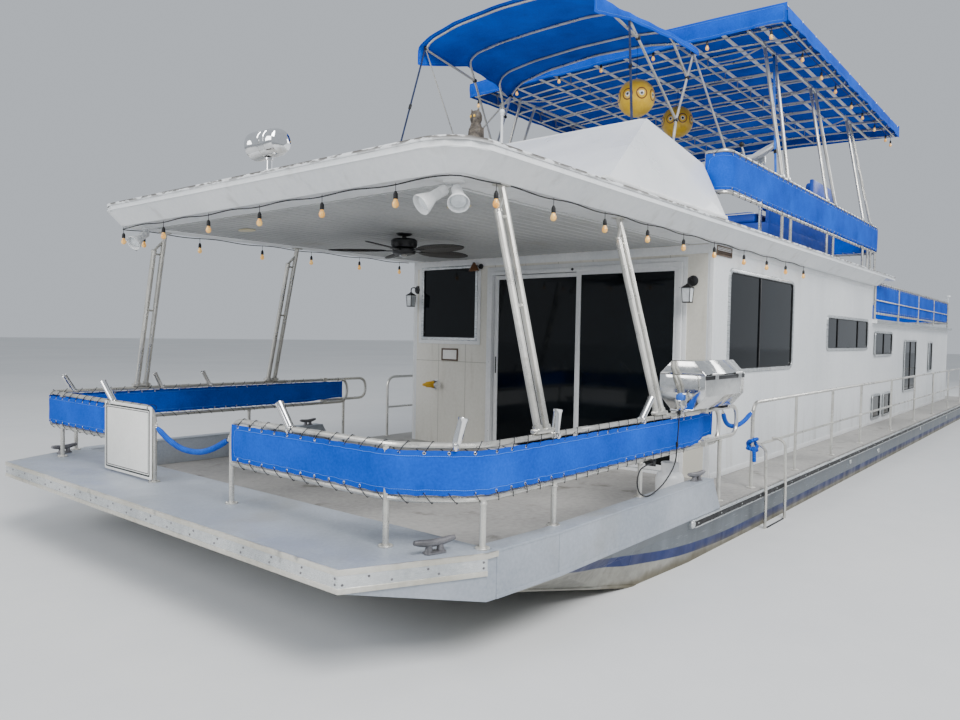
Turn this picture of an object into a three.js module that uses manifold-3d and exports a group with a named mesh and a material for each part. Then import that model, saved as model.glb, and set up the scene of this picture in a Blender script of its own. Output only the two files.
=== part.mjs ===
// A river houseboat: aluminium hull, raised bow platform, long cabin with a lower aft section,
// flying bridge and canopies on the upper deck. Millimetres, +X to the bow, +Y to port, +Z up.
// The origin is on the centreline, at the waterline, amidships.
import * as THREE from "three";
import { ConvexGeometry } from "three/addons/geometries/ConvexGeometry.js";
import { mergeVertices } from "three/addons/utils/BufferGeometryUtils.js";
import Module from "manifold-3d";

const wasm = await Module();
wasm.setup();

// Driving dimensions
const GAP = 0.3; // between pieces that touch
const DECK_Z = 335; // walking deck above the water
const KERB_Z = 559; // top of the bow platform and its bulwarks
const HULL_HALF = 2290; // half beam of the bare hull
const TRANSOM_X = -9100;
const STEM_X = 8980; // where the hull meets the bow platform
const BOW_X = 9690;
const CABIN_HALF = 1833;
const WALL_X = 5400; // outer face of the cabin's front wall
const STEP_X = -650; // where the tall cabin drops to the aft cabin
const REAR_X = -7970;
const WALL = 50; // wall thickness
const SOFFIT_Z = 2435;
const ROOF_Z = 2615; // upper deck
const ROOF_HALF = 2000;
const AFT_SOFFIT_Z = 1875;
const AFT_ROOF_Z = 1930;
const RAIL_Z = 1060; // top rails of the lower deck
const LOW_RAIL_Z = 800; // lower rail of the bow rails
const RAIL_Y = 2200;
const BOW_RAIL_X = 9300;
const TUBE = 16; // radius of the rail tubes
const UPPER_RAIL_Z = 3260;
const UPPER_LOW_Z = 2895;
const UPPER_RAIL_Y = 1900;

// Materials
const paint = (color, roughness, metalness) =>
  new THREE.MeshStandardMaterial({ color, roughness, metalness });
const HULL_METAL = paint(0x8f979e, 0.45, 0.8);
const DECK_PAINT = paint(0xa9a6a3, 0.8, 0.0);
const PLATFORM_METAL = paint(0xaeb6bf, 0.5, 0.5);
const TUBE_METAL = paint(0xc9c9c6, 0.35, 0.9);
const CHROME = paint(0xdedede, 0.12, 1.0);
const CABIN_WHITE = paint(0xe4e6e8, 0.5, 0.1);
const CREAM = paint(0xdcd9cf, 0.55, 0.05);
const ROOF_WHITE = paint(0xe9ecee, 0.5, 0.1);
const BLUE_CLOTH = paint(0x0b63d6, 0.85, 0.0);
const GLASS = paint(0x10151a, 0.08, 0.2);
const BLACK = paint(0x1c1c1e, 0.5, 0.3);
const YELLOW = paint(0xe9b41e, 0.5, 0.0);
const BOARD_WHITE = paint(0xf2f1ec, 0.6, 0.0);
const DRIVE_BLACK = paint(0x26282b, 0.4, 0.3);
const BRONZE = paint(0x9a8a63, 0.35, 0.9);

// A closed geometry as a solid that can be joined and cut
function solid(geometry) {
  const bare = geometry.clone();
  bare.deleteAttribute("normal");
  bare.deleteAttribute("uv");
  const merged = mergeVertices(bare, 1e-3);
  const made = (triVerts) =>
    new wasm.Manifold(
      new wasm.Mesh({
        numProp: 3,
        vertProperties: merged.attributes.position.array,
        triVerts,
      }),
    );
  const order = merged.index
    ? new Uint32Array(merged.index.array)
    : Uint32Array.from({ length: merged.attributes.position.count }, (_, i) => i);
  const first = made(order);
  if (first.volume() >= 0) return first;
  for (let i = 0; i < order.length; i += 3) {
    [order[i + 1], order[i + 2]] = [order[i + 2], order[i + 1]];
  }
  return made(order);
}

const join = (...pieces) => pieces.flat().reduce((all, piece) => all.add(piece));
const cut = (body, ...tools) => tools.flat().reduce((left, tool) => left.subtract(tool), body);

// A block between its low and high limits on each axis
function block([x0, x1], [y0, y1], [z0, z1]) {
  const g = new THREE.BoxGeometry(x1 - x0, y1 - y0, z1 - z0);
  g.translate((x0 + x1) / 2, (y0 + y1) / 2, (z0 + z1) / 2);
  return solid(g);
}

// The smallest convex solid round some points
const shell = (points) =>
  solid(new ConvexGeometry(points.map((p) => new THREE.Vector3(...p))));

// A straight round bar from one point to another
function bar(from, to, radius, sides = 6, radiusTo = radius) {
  const a = new THREE.Vector3(...from);
  const b = new THREE.Vector3(...to);
  const g = new THREE.CylinderGeometry(radiusTo, radius, a.distanceTo(b), sides);
  const turn = new THREE.Quaternion().setFromUnitVectors(
    new THREE.Vector3(0, 1, 0),
    b.clone().sub(a).normalize(),
  );
  g.applyQuaternion(turn);
  g.translate(...a.add(b).multiplyScalar(0.5).toArray());
  return solid(g);
}

// A path that passes its points in turn, one step from each to the next
class Route extends THREE.Curve {
  constructor(points) {
    super();
    this.points = points;
  }
  getPoint(t, target = new THREE.Vector3()) {
    const last = this.points.length - 1;
    const i = Math.min(Math.floor(t * last + 1e-9), last - 1);
    return target.lerpVectors(this.points[i], this.points[i + 1], t * last - i);
  }
  getPointAt(u, target) {
    return this.getPoint(u, target);
  }
  getTangentAt(u, target = new THREE.Vector3()) {
    const last = this.points.length - 1;
    const i = Math.round(u * last);
    const here = this.points[i];
    target.set(0, 0, 0);
    if (i > 0) target.add(here.clone().sub(this.points[i - 1]).normalize());
    if (i < last) target.add(this.points[i + 1].clone().sub(here).normalize());
    return target.normalize();
  }
}

// Corner points with each inner corner turned into a short bend
function bent(corners, radius, steps = 3) {
  const p = corners.map((c) => new THREE.Vector3(...c));
  const out = [p[0]];
  for (let i = 1; i < p.length - 1; i++) {
    const back = p[i - 1].clone().sub(p[i]);
    const ahead = p[i + 1].clone().sub(p[i]);
    const reach = Math.min(radius, back.length() * 0.49, ahead.length() * 0.49);
    const start = p[i].clone().add(back.setLength(reach));
    const end = p[i].clone().add(ahead.setLength(reach));
    out.push(...new THREE.QuadraticBezierCurve3(start, p[i], end).getPoints(steps));
  }
  out.push(p[p.length - 1]);
  return out;
}

// A closed outline pushed along a route of points
function sweep(outline, points) {
  const g = new THREE.ExtrudeGeometry(new THREE.Shape(outline), {
    steps: points.length - 1,
    bevelEnabled: false,
    extrudePath: new Route(points),
  });
  return solid(g);
}

const ring = (radius, sides) =>
  Array.from({ length: sides }, (_, i) => {
    const turn = (2 * Math.PI * i) / sides;
    return new THREE.Vector2(radius * Math.cos(turn), radius * Math.sin(turn));
  });

// A tube through corner points with bends at the corners
const pipe = (corners, radius, bend = 90, sides = 6, steps = 3) =>
  sweep(ring(radius, sides), bent(corners, bend, steps));

// A flat outline [x, y] raised from z0 to z1, with holes
function slab(outline, z0, z1, holes = []) {
  const shape = new THREE.Shape(outline.map(([x, y]) => new THREE.Vector2(x, y)));
  for (const hole of holes) {
    shape.holes.push(new THREE.Path(hole.map(([x, y]) => new THREE.Vector2(x, y))));
  }
  const g = new THREE.ExtrudeGeometry(shape, { depth: z1 - z0, bevelEnabled: false });
  g.translate(0, 0, z0);
  return solid(g);
}

const mirrored = (body) => body.mirror([0, 1, 0]);

// A thin closed sheet between two grids of [x, y, z] points, given row by row, the upper one first
function sheet(upper, lower) {
  const rows = upper.length;
  const columns = upper[0].length;
  const at = (level, i, j) => (level * rows + i) * columns + j;
  const index = [];
  const quad = (a, b, c, d) => index.push(a, b, c, a, c, d);
  for (let i = 0; i < rows - 1; i++) {
    for (let j = 0; j < columns - 1; j++) {
      quad(at(0, i, j), at(0, i + 1, j), at(0, i + 1, j + 1), at(0, i, j + 1));
      quad(at(1, i, j), at(1, i, j + 1), at(1, i + 1, j + 1), at(1, i + 1, j));
    }
    quad(at(0, i, 0), at(1, i, 0), at(1, i + 1, 0), at(0, i + 1, 0));
    quad(at(0, i, columns - 1), at(0, i + 1, columns - 1), at(1, i + 1, columns - 1), at(1, i, columns - 1));
  }
  for (let j = 0; j < columns - 1; j++) {
    quad(at(0, 0, j), at(0, 0, j + 1), at(1, 0, j + 1), at(1, 0, j));
    quad(at(0, rows - 1, j), at(1, rows - 1, j), at(1, rows - 1, j + 1), at(0, rows - 1, j + 1));
  }
  const g = new THREE.BufferGeometry();
  g.setAttribute("position", new THREE.Float32BufferAttribute([...upper, ...lower].flat(2), 3));
  g.setIndex(index);
  return solid(g);
}

// A cord's round tube along a smooth curve through its points
function cord(points, radius, steps, sides = 8) {
  const curve = new THREE.CatmullRomCurve3(points.map((p) => new THREE.Vector3(...p)));
  const shape = new THREE.Shape(ring(radius, sides));
  return solid(new THREE.ExtrudeGeometry(shape, { steps, bevelEnabled: false, extrudePath: curve }));
}

// A round clip that meets the first end of a cord face to face, standing back along the cord's course
function clip([end, next], length, radius) {
  const tip = new THREE.Vector3(...end);
  const back = tip.clone().sub(new THREE.Vector3(...next)).normalize();
  return bar(
    tip.clone().addScaledVector(back, length).toArray(),
    tip.clone().addScaledVector(back, GAP).toArray(),
    radius,
    8,
  );
}

const boat = new THREE.Group();
function add(name, body, material) {
  const m = body.getMesh();
  const g = new THREE.BufferGeometry();
  const n = m.numProp;
  const xyz = new Float32Array(m.numVert * 3);
  for (let i = 0; i < m.numVert; i++) {
    xyz.set(m.vertProperties.subarray(i * n, i * n + 3), i * 3);
  }
  g.setAttribute("position", new THREE.BufferAttribute(xyz, 3));
  g.setIndex(new THREE.BufferAttribute(m.triVerts, 1));
  g.computeVertexNormals();
  const mesh = new THREE.Mesh(g, material);
  mesh.name = name;
  boat.add(mesh);
}

// Hull: sections from bow to stern, joined pair by pair
const DECK_PLATE = 20;
const HULL_TOP = DECK_Z - DECK_PLATE - GAP;
const HULL_SECTIONS = [
  { x: STEM_X - GAP, deck: 2235, chine: 1930, chineZ: 270, keelZ: 245 },
  { x: 8450, deck: 2262, chine: 2080, chineZ: 190, keelZ: 20 },
  { x: 7860, deck: 2280, chine: 2160, chineZ: 70, keelZ: -220 },
  { x: 7450, deck: HULL_HALF, chine: 2215, chineZ: -10, keelZ: -330 },
  { x: 6500, deck: HULL_HALF, chine: 2255, chineZ: -115, keelZ: -420 },
  { x: 5000, deck: HULL_HALF, chine: 2265, chineZ: -165, keelZ: -450 },
  { x: TRANSOM_X, deck: HULL_HALF, chine: 2265, chineZ: -165, keelZ: -380 },
];
const AFT_SOLE = { x: [-7900, -720], y: [-1760, 1760], z: -90 };

const sectionPoints = ({ x, deck, chine, chineZ, keelZ }) => [
  [x, -deck, HULL_TOP],
  [x, deck, HULL_TOP],
  [x, chine, chineZ],
  [x, -chine, chineZ],
  [x, 0, keelZ],
];

function hull() {
  const lengths = HULL_SECTIONS.slice(1).map((section, i) =>
    shell([...sectionPoints(HULL_SECTIONS[i]), ...sectionPoints(section)]),
  );
  return cut(join(lengths), block(AFT_SOLE.x, AFT_SOLE.y, [AFT_SOLE.z, DECK_Z]));
}
add("hull", hull(), HULL_METAL);

function deck() {
  const port = HULL_SECTIONS.map(({ x, deck: half }) => [x, half]);
  const starboard = [...port].reverse().map(([x, y]) => [x, -y]);
  const [a, b] = AFT_SOLE.x;
  const [c, d] = AFT_SOLE.y;
  const well = [[a, c], [b, c], [b, d], [a, d]];
  return slab([...port, ...starboard], DECK_Z - DECK_PLATE, DECK_Z, [well]);
}
add("deck", deck(), DECK_PAINT);

// Bow platform: a wedge that gets deeper aft, and a bulwark down each side
const BULWARK_Y = 2310;
const BULWARK_IN = 2200;
const BULWARK_LOW = 323;
const NOSE = { half: 1945, low: 449, backX: 9050, backHalf: 2265 };

function bowPlatform() {
  const wedge = shell(
    [-1, 1].flatMap((s) => [
      [BOW_X, s * NOSE.half, KERB_Z],
      [BOW_X, s * NOSE.half, NOSE.low],
      [NOSE.backX, s * NOSE.backHalf, KERB_Z],
      [NOSE.backX, s * NOSE.backHalf, BULWARK_LOW],
      [STEM_X, s * 2272, KERB_Z],
      [STEM_X, s * 2272, BULWARK_LOW],
    ]),
  );
  const ledgeZ = [DECK_Z + GAP, KERB_Z];
  const both = (z) => [
    [STEM_X + 5, 2272, z],
    [STEM_X + 5, BULWARK_IN - 38, z],
    [8500, BULWARK_Y, z],
    [8500, BULWARK_IN, z],
  ];
  const foreSide = shell(ledgeZ.flatMap(both));
  const aftSide = shell([
    [8500, BULWARK_Y, KERB_Z],
    [8500, BULWARK_IN, KERB_Z],
    [8500, BULWARK_Y, ledgeZ[0]],
    [8500, BULWARK_IN, ledgeZ[0]],
    [6450, BULWARK_Y, KERB_Z],
    [6450, BULWARK_IN, KERB_Z],
    [6310, BULWARK_Y, ledgeZ[0]],
    [6310, BULWARK_IN, ledgeZ[0]],
  ]);
  const skirt = (x0, y0, x1, y1) =>
    shell(
      [BULWARK_LOW, DECK_Z + 20].flatMap((z) => [
        [x0, y0, z],
        [x0, y0 - 12, z],
        [x1, y1, z],
        [x1, y1 - 12, z],
      ]),
    );
  const side = join(
    foreSide,
    aftSide,
    skirt(STEM_X + 5, 2272, 8500, BULWARK_Y),
    skirt(8500, BULWARK_Y, 6318, BULWARK_Y),
    cleat(9220, 2080, KERB_Z, 0.28),
    cleat(6620, 2250, KERB_Z, 0.1),
  );
  return join(wedge, side, mirrored(side));
}

// A two-horned mooring cleat standing at (x, y, z), its horns turned by an angle from the X axis
function cleat(x, y, z, turn) {
  const reach = 105;
  const dx = reach * Math.cos(turn);
  const dy = -reach * Math.sin(turn);
  return join(
    shell([-45, 45].flatMap((a) => [
      [x + a, y - 26, z - 2],
      [x + a, y + 26, z - 2],
      [x + a * 0.6, y - 14, z + 40],
      [x + a * 0.6, y + 14, z + 40],
    ])),
    pipe([[x - dx, y - dy, z + 62], [x, y, z + 44], [x + dx, y + dy, z + 62]], 13, 60, 6, 2),
  );
}
add("bow_platform", bowPlatform(), PLATFORM_METAL);

// Rub rail round both sides and the transom
const RUB = { in: HULL_HALF + GAP, out: 2330, low: 262, high: 320, fromX: 6840 };
function rubRail() {
  const side = block([TRANSOM_X - 36, RUB.fromX], [RUB.in, RUB.out], [RUB.low, RUB.high]);
  const stern = block([TRANSOM_X - 36, TRANSOM_X - GAP], [-RUB.out, RUB.out], [RUB.low, RUB.high]);
  return join(side, mirrored(side), stern);
}
add("rub_rail", rubRail(), TUBE_METAL);

// Swim platform on two brackets behind the transom
const SWIM = { x: [-9700, TRANSOM_X - GAP], half: 1950, z: [150, 195] };
function swimPlatform() {
  const brackets = [-1200, 1200].map((y) =>
    shell([-25, 25].flatMap((side) => [
      [SWIM.x[1], y + side, SWIM.z[0] + 5],
      [SWIM.x[1], y + side, -60],
      [SWIM.x[1] - 420, y + side, SWIM.z[0] + 5],
    ])),
  );
  return join(block(SWIM.x, [-SWIM.half, SWIM.half], SWIM.z), brackets);
}
add("swim_platform", swimPlatform(), DECK_PAINT);

// Cabin walls
const WALL_FOOT = DECK_Z + GAP;
const WALL_TOP = SOFFIT_Z - GAP;
const AFT_WALL_TOP = AFT_SOFFIT_Z - GAP;
const INNER_HALF = CABIN_HALF - WALL;

const FRONT_WINDOW = { y: [-1700, -850], z: [1525, 2367] };
const PATIO = { y: [-672, 1557], z: [WALL_FOOT, 2285] };
// Side windows: outer limits of each frame along X and Z
const SIDE_WINDOWS = {
  fore: { x: [3140, 5044], z: [1280, 2245] },
  long: { x: [-393, 1784], z: [1472, 1919] },
};
const FRAME = 32; // width of a window frame's face
const hole = (span, by) => [span[0] + by, span[1] - by];

function frontWall() {
  return cut(
    block([WALL_X - WALL, WALL_X], [-INNER_HALF + GAP, INNER_HALF - GAP], [WALL_FOOT, WALL_TOP]),
    block([WALL_X - 99, WALL_X + 9], hole(FRONT_WINDOW.y, FRAME), hole(FRONT_WINDOW.z, FRAME)),
    block([WALL_X - 99, WALL_X + 9], PATIO.y, [WALL_FOOT - 9, PATIO.z[1]]),
  );
}
add("cabin_front_wall", frontWall(), CREAM);

function sideWall() {
  const y = [INNER_HALF, CABIN_HALF];
  const tall = block([STEP_X, WALL_X], y, [WALL_FOOT, WALL_TOP]);
  const low = block([REAR_X, STEP_X + 1], y, [WALL_FOOT, AFT_WALL_TOP]);
  const openings = Object.values(SIDE_WINDOWS).map((w) =>
    block(hole(w.x, FRAME), [y[0] - 9, y[1] + 9], hole(w.z, FRAME)),
  );
  return cut(join(tall, low), openings);
}
add("cabin_port_wall", sideWall(), CABIN_WHITE);
add("cabin_starboard_wall", mirrored(sideWall()), CABIN_WHITE);

const STEP_DOORWAY = { y: [-380, 380], top: 2000 };
function stepBulkhead() {
  return cut(
    block([STEP_X, STEP_X + WALL], [-INNER_HALF + GAP, INNER_HALF - GAP], [WALL_FOOT, WALL_TOP]),
    block([STEP_X - 9, STEP_X + WALL + 9], STEP_DOORWAY.y, [WALL_FOOT - 9, STEP_DOORWAY.top]),
  );
}
add("cabin_step_bulkhead", stepBulkhead(), CABIN_WHITE);

const AFT_DOOR = {
  y: [-330, 330],
  top: 1800,
  thick: 36,
  hingeX: REAR_X - 22,
  hingeY: 320,
  knuckles: [420, 1700],
};
function rearWall() {
  const { hingeX, hingeY, knuckles } = AFT_DOOR;
  const wall = cut(
    block([REAR_X, REAR_X + WALL], [-INNER_HALF + GAP, INNER_HALF - GAP], [WALL_FOOT, AFT_WALL_TOP]),
    block([REAR_X - 9, REAR_X + WALL + 9], AFT_DOOR.y, [WALL_FOOT - 9, AFT_DOOR.top]),
  );
  // Hinge knuckles below and above the door's own
  const pins = [
    [knuckles[0] - GAP - 30, knuckles[0] - GAP],
    [knuckles[1] + GAP, knuckles[1] + GAP + 30],
  ].map((z) =>
    join(
      bar([hingeX, hingeY, z[0]], [hingeX, hingeY, z[1]], 10, 8),
      block([hingeX - 6, hingeX + 6], [hingeY, hingeY + 34], z),
      block([hingeX - 6, REAR_X + 1], [hingeY + 14, hingeY + 34], z),
    ),
  );
  return join(wall, pins);
}
add("cabin_rear_wall", rearWall(), CABIN_WHITE);

// Roofs
const ROOF = { fore: 9000, aft: -1300, corner: 260, fascia: 2545, bevel: 110 };
function mainRoof() {
  const corner = (inset, s) => {
    const r = ROOF.corner;
    const cx = ROOF.fore - r;
    const cy = ROOF_HALF - r;
    return [90, 60, 30, 0].map((deg) => {
      const turn = (deg * Math.PI) / 180;
      return [cx + (r - inset) * Math.cos(turn), s * (cy + (r - inset) * Math.sin(turn))];
    });
  };
  const outline = (inset) => [
    [ROOF.aft, ROOF_HALF - inset],
    ...corner(inset, 1),
    ...corner(inset, -1).reverse(),
    [ROOF.aft, -ROOF_HALF + inset],
  ];
  const slabAt = (inset, z) => outline(inset).map(([x, y]) => [x, y, z]);
  const whole = shell([
    ...slabAt(ROOF.bevel, SOFFIT_Z),
    ...slabAt(0, ROOF.fascia),
    ...slabAt(0, ROOF_Z - 12),
    ...slabAt(90, ROOF_Z),
  ]);
  return cut(whole, block([ROOF.aft - 50, STEP_X - 20], [-2100, 2100], [SOFFIT_Z - 20, ROOF.fascia]));
}
add("main_roof", mainRoof(), ROOF_WHITE);

function aftRoof() {
  return block([REAR_X - 90, STEP_X - GAP], [-1900, 1900], [AFT_SOFFIT_Z, AFT_ROOF_Z]);
}
add("aft_roof", aftRoof(), ROOF_WHITE);

// Windows: a frame on the wall's face with its pane set back, and a plug that fills the opening
function sideWindow({ x, z }) {
  const face = [CABIN_HALF + GAP, CABIN_HALF + 14];
  return cut(
    join(
      block(x, face, z),
      block(hole(x, FRAME + GAP), [CABIN_HALF - 22, face[1]], hole(z, FRAME + GAP)),
    ),
    block(hole(x, FRAME + 8), [CABIN_HALF - 8, CABIN_HALF + 30], hole(z, FRAME + 8)),
  );
}
for (const [name, window] of Object.entries(SIDE_WINDOWS)) {
  add(`port_window_${name}`, sideWindow(window), GLASS);
  add(`starboard_window_${name}`, mirrored(sideWindow(window)), GLASS);
}

function frontWindow() {
  const { y, z } = FRONT_WINDOW;
  const face = [WALL_X + GAP, WALL_X + 14];
  return cut(
    join(
      block(face, y, z),
      block([WALL_X - 22, face[1]], hole(y, FRAME + GAP), hole(z, FRAME + GAP)),
    ),
    block([WALL_X - 8, WALL_X + 30], hole(y, FRAME + 8), hole(z, FRAME + 8)),
  );
}
add("front_window", frontWindow(), GLASS);

// Patio door: frame with a fixed pane to port, and a panel that slides behind it
const PATIO_JAMB = 45;
const PATIO_MID = 440;
const PANEL_X = [WALL_X - 40, WALL_X - 10];
function patioFrame() {
  const { y, z } = PATIO;
  const whole = block([WALL_X - WALL, WALL_X + 35], [y[0] + GAP, y[1] - GAP], [z[0], z[1] - GAP]);
  const opening = block(
    [WALL_X - 99, WALL_X + 99],
    hole(y, PATIO_JAMB),
    [z[0] + 30, z[1] - PATIO_JAMB],
  );
  const fixed = block(
    [WALL_X + 4, WALL_X + 28],
    [PATIO_MID, y[1] - PATIO_JAMB + 5],
    [z[0] + 25, z[1] - PATIO_JAMB + 5],
  );
  const recess = block(
    [WALL_X + 18, WALL_X + 60],
    [PATIO_MID + 50, y[1] - PATIO_JAMB - 40],
    [z[0] + 110, z[1] - PATIO_JAMB - 45],
  );
  return cut(join(cut(whole, opening), fixed), recess);
}
add("patio_door_frame", patioFrame(), CABIN_WHITE);

function patioPanel() {
  const { y, z } = PATIO;
  const panelY = [y[0] + PATIO_JAMB + 6, PATIO_MID + 50];
  const panelZ = [z[0] + 30 + GAP, z[1] - PATIO_JAMB - 6];
  return cut(
    block(PANEL_X, panelY, panelZ),
    block([PANEL_X[1] - 10, PANEL_X[1] + 9], hole(panelY, 50), [panelZ[0] + 80, panelZ[1] - 40]),
  );
}
add("patio_door_panel", patioPanel(), GLASS);

// Aft door, hinged on its port edge, with a pull handle
function aftDoor() {
  const { hingeX, hingeY, knuckles } = AFT_DOOR;
  const y = [AFT_DOOR.y[0] + 5, AFT_DOOR.y[1] - 5];
  const x = [REAR_X - 8, REAR_X - 8 + AFT_DOOR.thick];
  return join(
    block(x, y, [WALL_FOOT + 6, AFT_DOOR.top - 5]),
    block([x[0] - 30, x[0] + 1], [y[0] + 40, y[0] + 60], [1180, 1320]),
    bar([hingeX, hingeY, knuckles[0]], [hingeX, hingeY, knuckles[1]], 10, 8),
    block([hingeX, x[0] + 1], [hingeY - 8, y[1]], knuckles),
  );
}
add("aft_door", aftDoor(), CABIN_WHITE);

// Roof struts: a long tube from the bow rail to the soffit, with a shorter one beside it
const STRUT = 22;
const STRUTS = [
  { name: "fore", x: 8480, footY: RAIL_Y, topY: 1860 },
  { name: "aft", x: 7100, footY: RAIL_Y, topY: 1830 },
];
function roofStrut({ x, footY, topY }) {
  const footZ = RAIL_Z + TUBE + GAP;
  const lean = (part) => footY + (topY - footY) * part;
  const rise = (part) => footZ + (SOFFIT_Z - GAP - footZ) * part;
  const short = 0.88;
  const aside = 78;
  return join(
    cut(
      join(
        bar([x, footY, footZ - 30], [x, topY, SOFFIT_Z + 40], STRUT),
        bar([x + aside, footY, footZ - 30], [x + aside, lean(short), rise(short)], STRUT),
      ),
      block([x - 200, x + 300], [footY - 200, footY + 200], [footZ - 100, footZ]),
      block([x - 200, x + 300], [topY - 200, topY + 200], [SOFFIT_Z - GAP, SOFFIT_Z + 200]),
    ),
    bar([x + aside, lean(short - 0.02), rise(short - 0.02)], [x, lean(0.95), rise(0.95)], 12, 6),
    block([x - 40, x + aside + 40], [footY - 26, footY + 26], [footZ, footZ + 26]),
    bar([x, lean(0.5), rise(0.5)], [x + aside, lean(0.5), rise(0.5)], 8, 6),
  );
}
for (const strut of STRUTS) {
  add(`roof_strut_port_${strut.name}`, roofStrut(strut), TUBE_METAL);
  add(`roof_strut_starboard_${strut.name}`, mirrored(roofStrut(strut)), TUBE_METAL);
}

// Sleeved ropes across the gates, and the grill's gas hose: points from one end to the other
const ROPE = 18;
const BOW_ROPE = [
  [9300, -384, 926],
  [9300, -250, 868],
  [9300, -105, 829],
  [9300, 35, 819],
  [9300, 175, 832],
  [9300, 315, 872],
  [9300, 454, 932],
];
const SIDE_ROPE = [
  [5486, 2228, 975],
  [5590, 2216, 921],
  [5696, 2200, 889],
  [5800, 2186, 887],
  [5895, 2184, 915],
  [5965, 2190, 960],
  [6015, 2198, 1008],
];
const HOSE = 4.5;
const GRILL_HOSE = [
  [6972, 2265, 1104.7],
  [6973, 2263, 1010],
  [6979, 2258, 860],
  [6995, 2254, 740],
  [7120, 2251, 638],
  [7270, 2250, 583],
  [7410, 2250, 572],
  [7500, 2249, 612],
  [7528, 2248, 680],
  [7492, 2244, 745],
  [7400, 2240, 768],
  [7305.3, 2238, 770],
];
const fromEnd = (points) => [...points].reverse().slice(0, 2);

// Bow rails, one each side, from the gate round the corner and aft to a hairpin end
const GATE = { port: 500, starboard: -430 };
const HAIRPIN_X = 6110;
const SECOND_LOOP = { y: 2225, foreX: 6470, aftX: 5806, low: 830, postX: 6140 };
const ROD_HOLDER = { radius: 24, above: 132, below: 0 };
// Fore corners: the port one is cut off, the starboard one square and rounded
const PORT_CORNER = {
  turns: [[BOW_RAIL_X, 1890], [9040, RAIL_Y]],
  posts: [[BOW_RAIL_X, 1830], [9010, RAIL_Y]],
  cloth: [1900, 9048],
};
const STARBOARD_CORNER = {
  turns: [[BOW_RAIL_X, RAIL_Y]],
  posts: [[BOW_RAIL_X, 1910], [9080, RAIL_Y]],
  cloth: [2150, 9250],
};

function bowRail(gateY, corner, holders, ropeEnd) {
  const second = SECOND_LOOP;
  const loop = (z) => [
    [BOW_RAIL_X, gateY, z],
    ...corner.turns.map(([x, y]) => [x, y, z]),
    [HAIRPIN_X, RAIL_Y, z],
  ];
  const gatePost = [BOW_RAIL_X, gateY, KERB_Z + GAP];
  const run = pipe([gatePost, ...loop(RAIL_Z), ...loop(LOW_RAIL_Z).reverse()], TUBE, 110);
  // Posts: x, y, foot, top
  const posts = [
    [...corner.posts[0], KERB_Z, RAIL_Z],
    [...corner.posts[1], KERB_Z, LOW_RAIL_Z],
    [8400, RAIL_Y, KERB_Z, LOW_RAIL_Z],
    [7400, RAIL_Y, KERB_Z, LOW_RAIL_Z],
    [second.postX, second.y, DECK_Z, second.low],
  ];
  const inner = pipe(
    [
      [second.foreX, second.y, RAIL_Z],
      [second.aftX, second.y, RAIL_Z],
      [second.aftX, second.y, second.low],
      [second.foreX, second.y, second.low],
    ],
    TUBE,
    110,
  );
  const frontY = corner.posts[0][1];
  const { radius, above, below } = ROD_HOLDER;
  const cups = holders.map(([x, y, dx, dy]) => {
    const at = (k) => [x + dx * k, y + dy * k, RAIL_Z - below + (above + below) * k];
    return cut(bar(at(0), at(1), radius), bar(at(0.4), at(1.1), 17));
  });
  return join(
    run,
    inner,
    block([second.foreX - 60, second.foreX], [RAIL_Y - 8, second.y + 8], [LOW_RAIL_Z, second.low]),
    clip(ropeEnd, 50, 10),
    posts.map(([x, y, foot, top]) => bar([x, y, foot + GAP], [x, y, top], TUBE)),
    posts.map(([x, y, foot]) => bar([x, y, foot + GAP], [x, y, foot + 10], 38)),
    // The lashing that holds the cloth to the front post
    block([BOW_RAIL_X, BOW_RAIL_X + TUBE], [frontY - 8, frontY + 8], [880, 980]),
    cups,
  );
}
// Rod holders: foot at x and y, then how far the mouth leans fore and outward
const PORT_HOLDERS = [
  [BOW_RAIL_X, 1075, 0, -110],
  [9115, 2111, -30, 20],
  [8400, RAIL_Y, -25, 0],
  [7405, RAIL_Y, -140, 0],
];
const STARBOARD_HOLDERS = [
  [BOW_RAIL_X, 1020, 0, 170],
  [9090, RAIL_Y, 85, 0],
  [8330, RAIL_Y, 65, 0],
  [7840, RAIL_Y, 75, 0],
];
const acrossMiddle = ([x, y, z]) => [x, -y, z];
add(
  "port_bow_rail",
  join(
    bowRail(GATE.port, PORT_CORNER, PORT_HOLDERS, fromEnd(BOW_ROPE)),
    clip(fromEnd(SIDE_ROPE), 68, 10),
    // The clip that holds the hose's end under the lower tube
    block([7262, 7305], [RAIL_Y - 10, 2246], [752, 788]),
  ),
  TUBE_METAL,
);
add(
  "starboard_bow_rail",
  mirrored(
    bowRail(-GATE.starboard, STARBOARD_CORNER, STARBOARD_HOLDERS, BOW_ROPE.slice(0, 2).map(acrossMiddle)),
  ),
  TUBE_METAL,
);
add("bow_gate_rope", cord(BOW_ROPE, ROPE, 20), BLUE_CLOTH);
add("side_gate_rope", cord(SIDE_ROPE, ROPE, 14), BLUE_CLOTH);
add("grill_hose", cord(GRILL_HOSE, HOSE, 64), BLACK);

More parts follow.
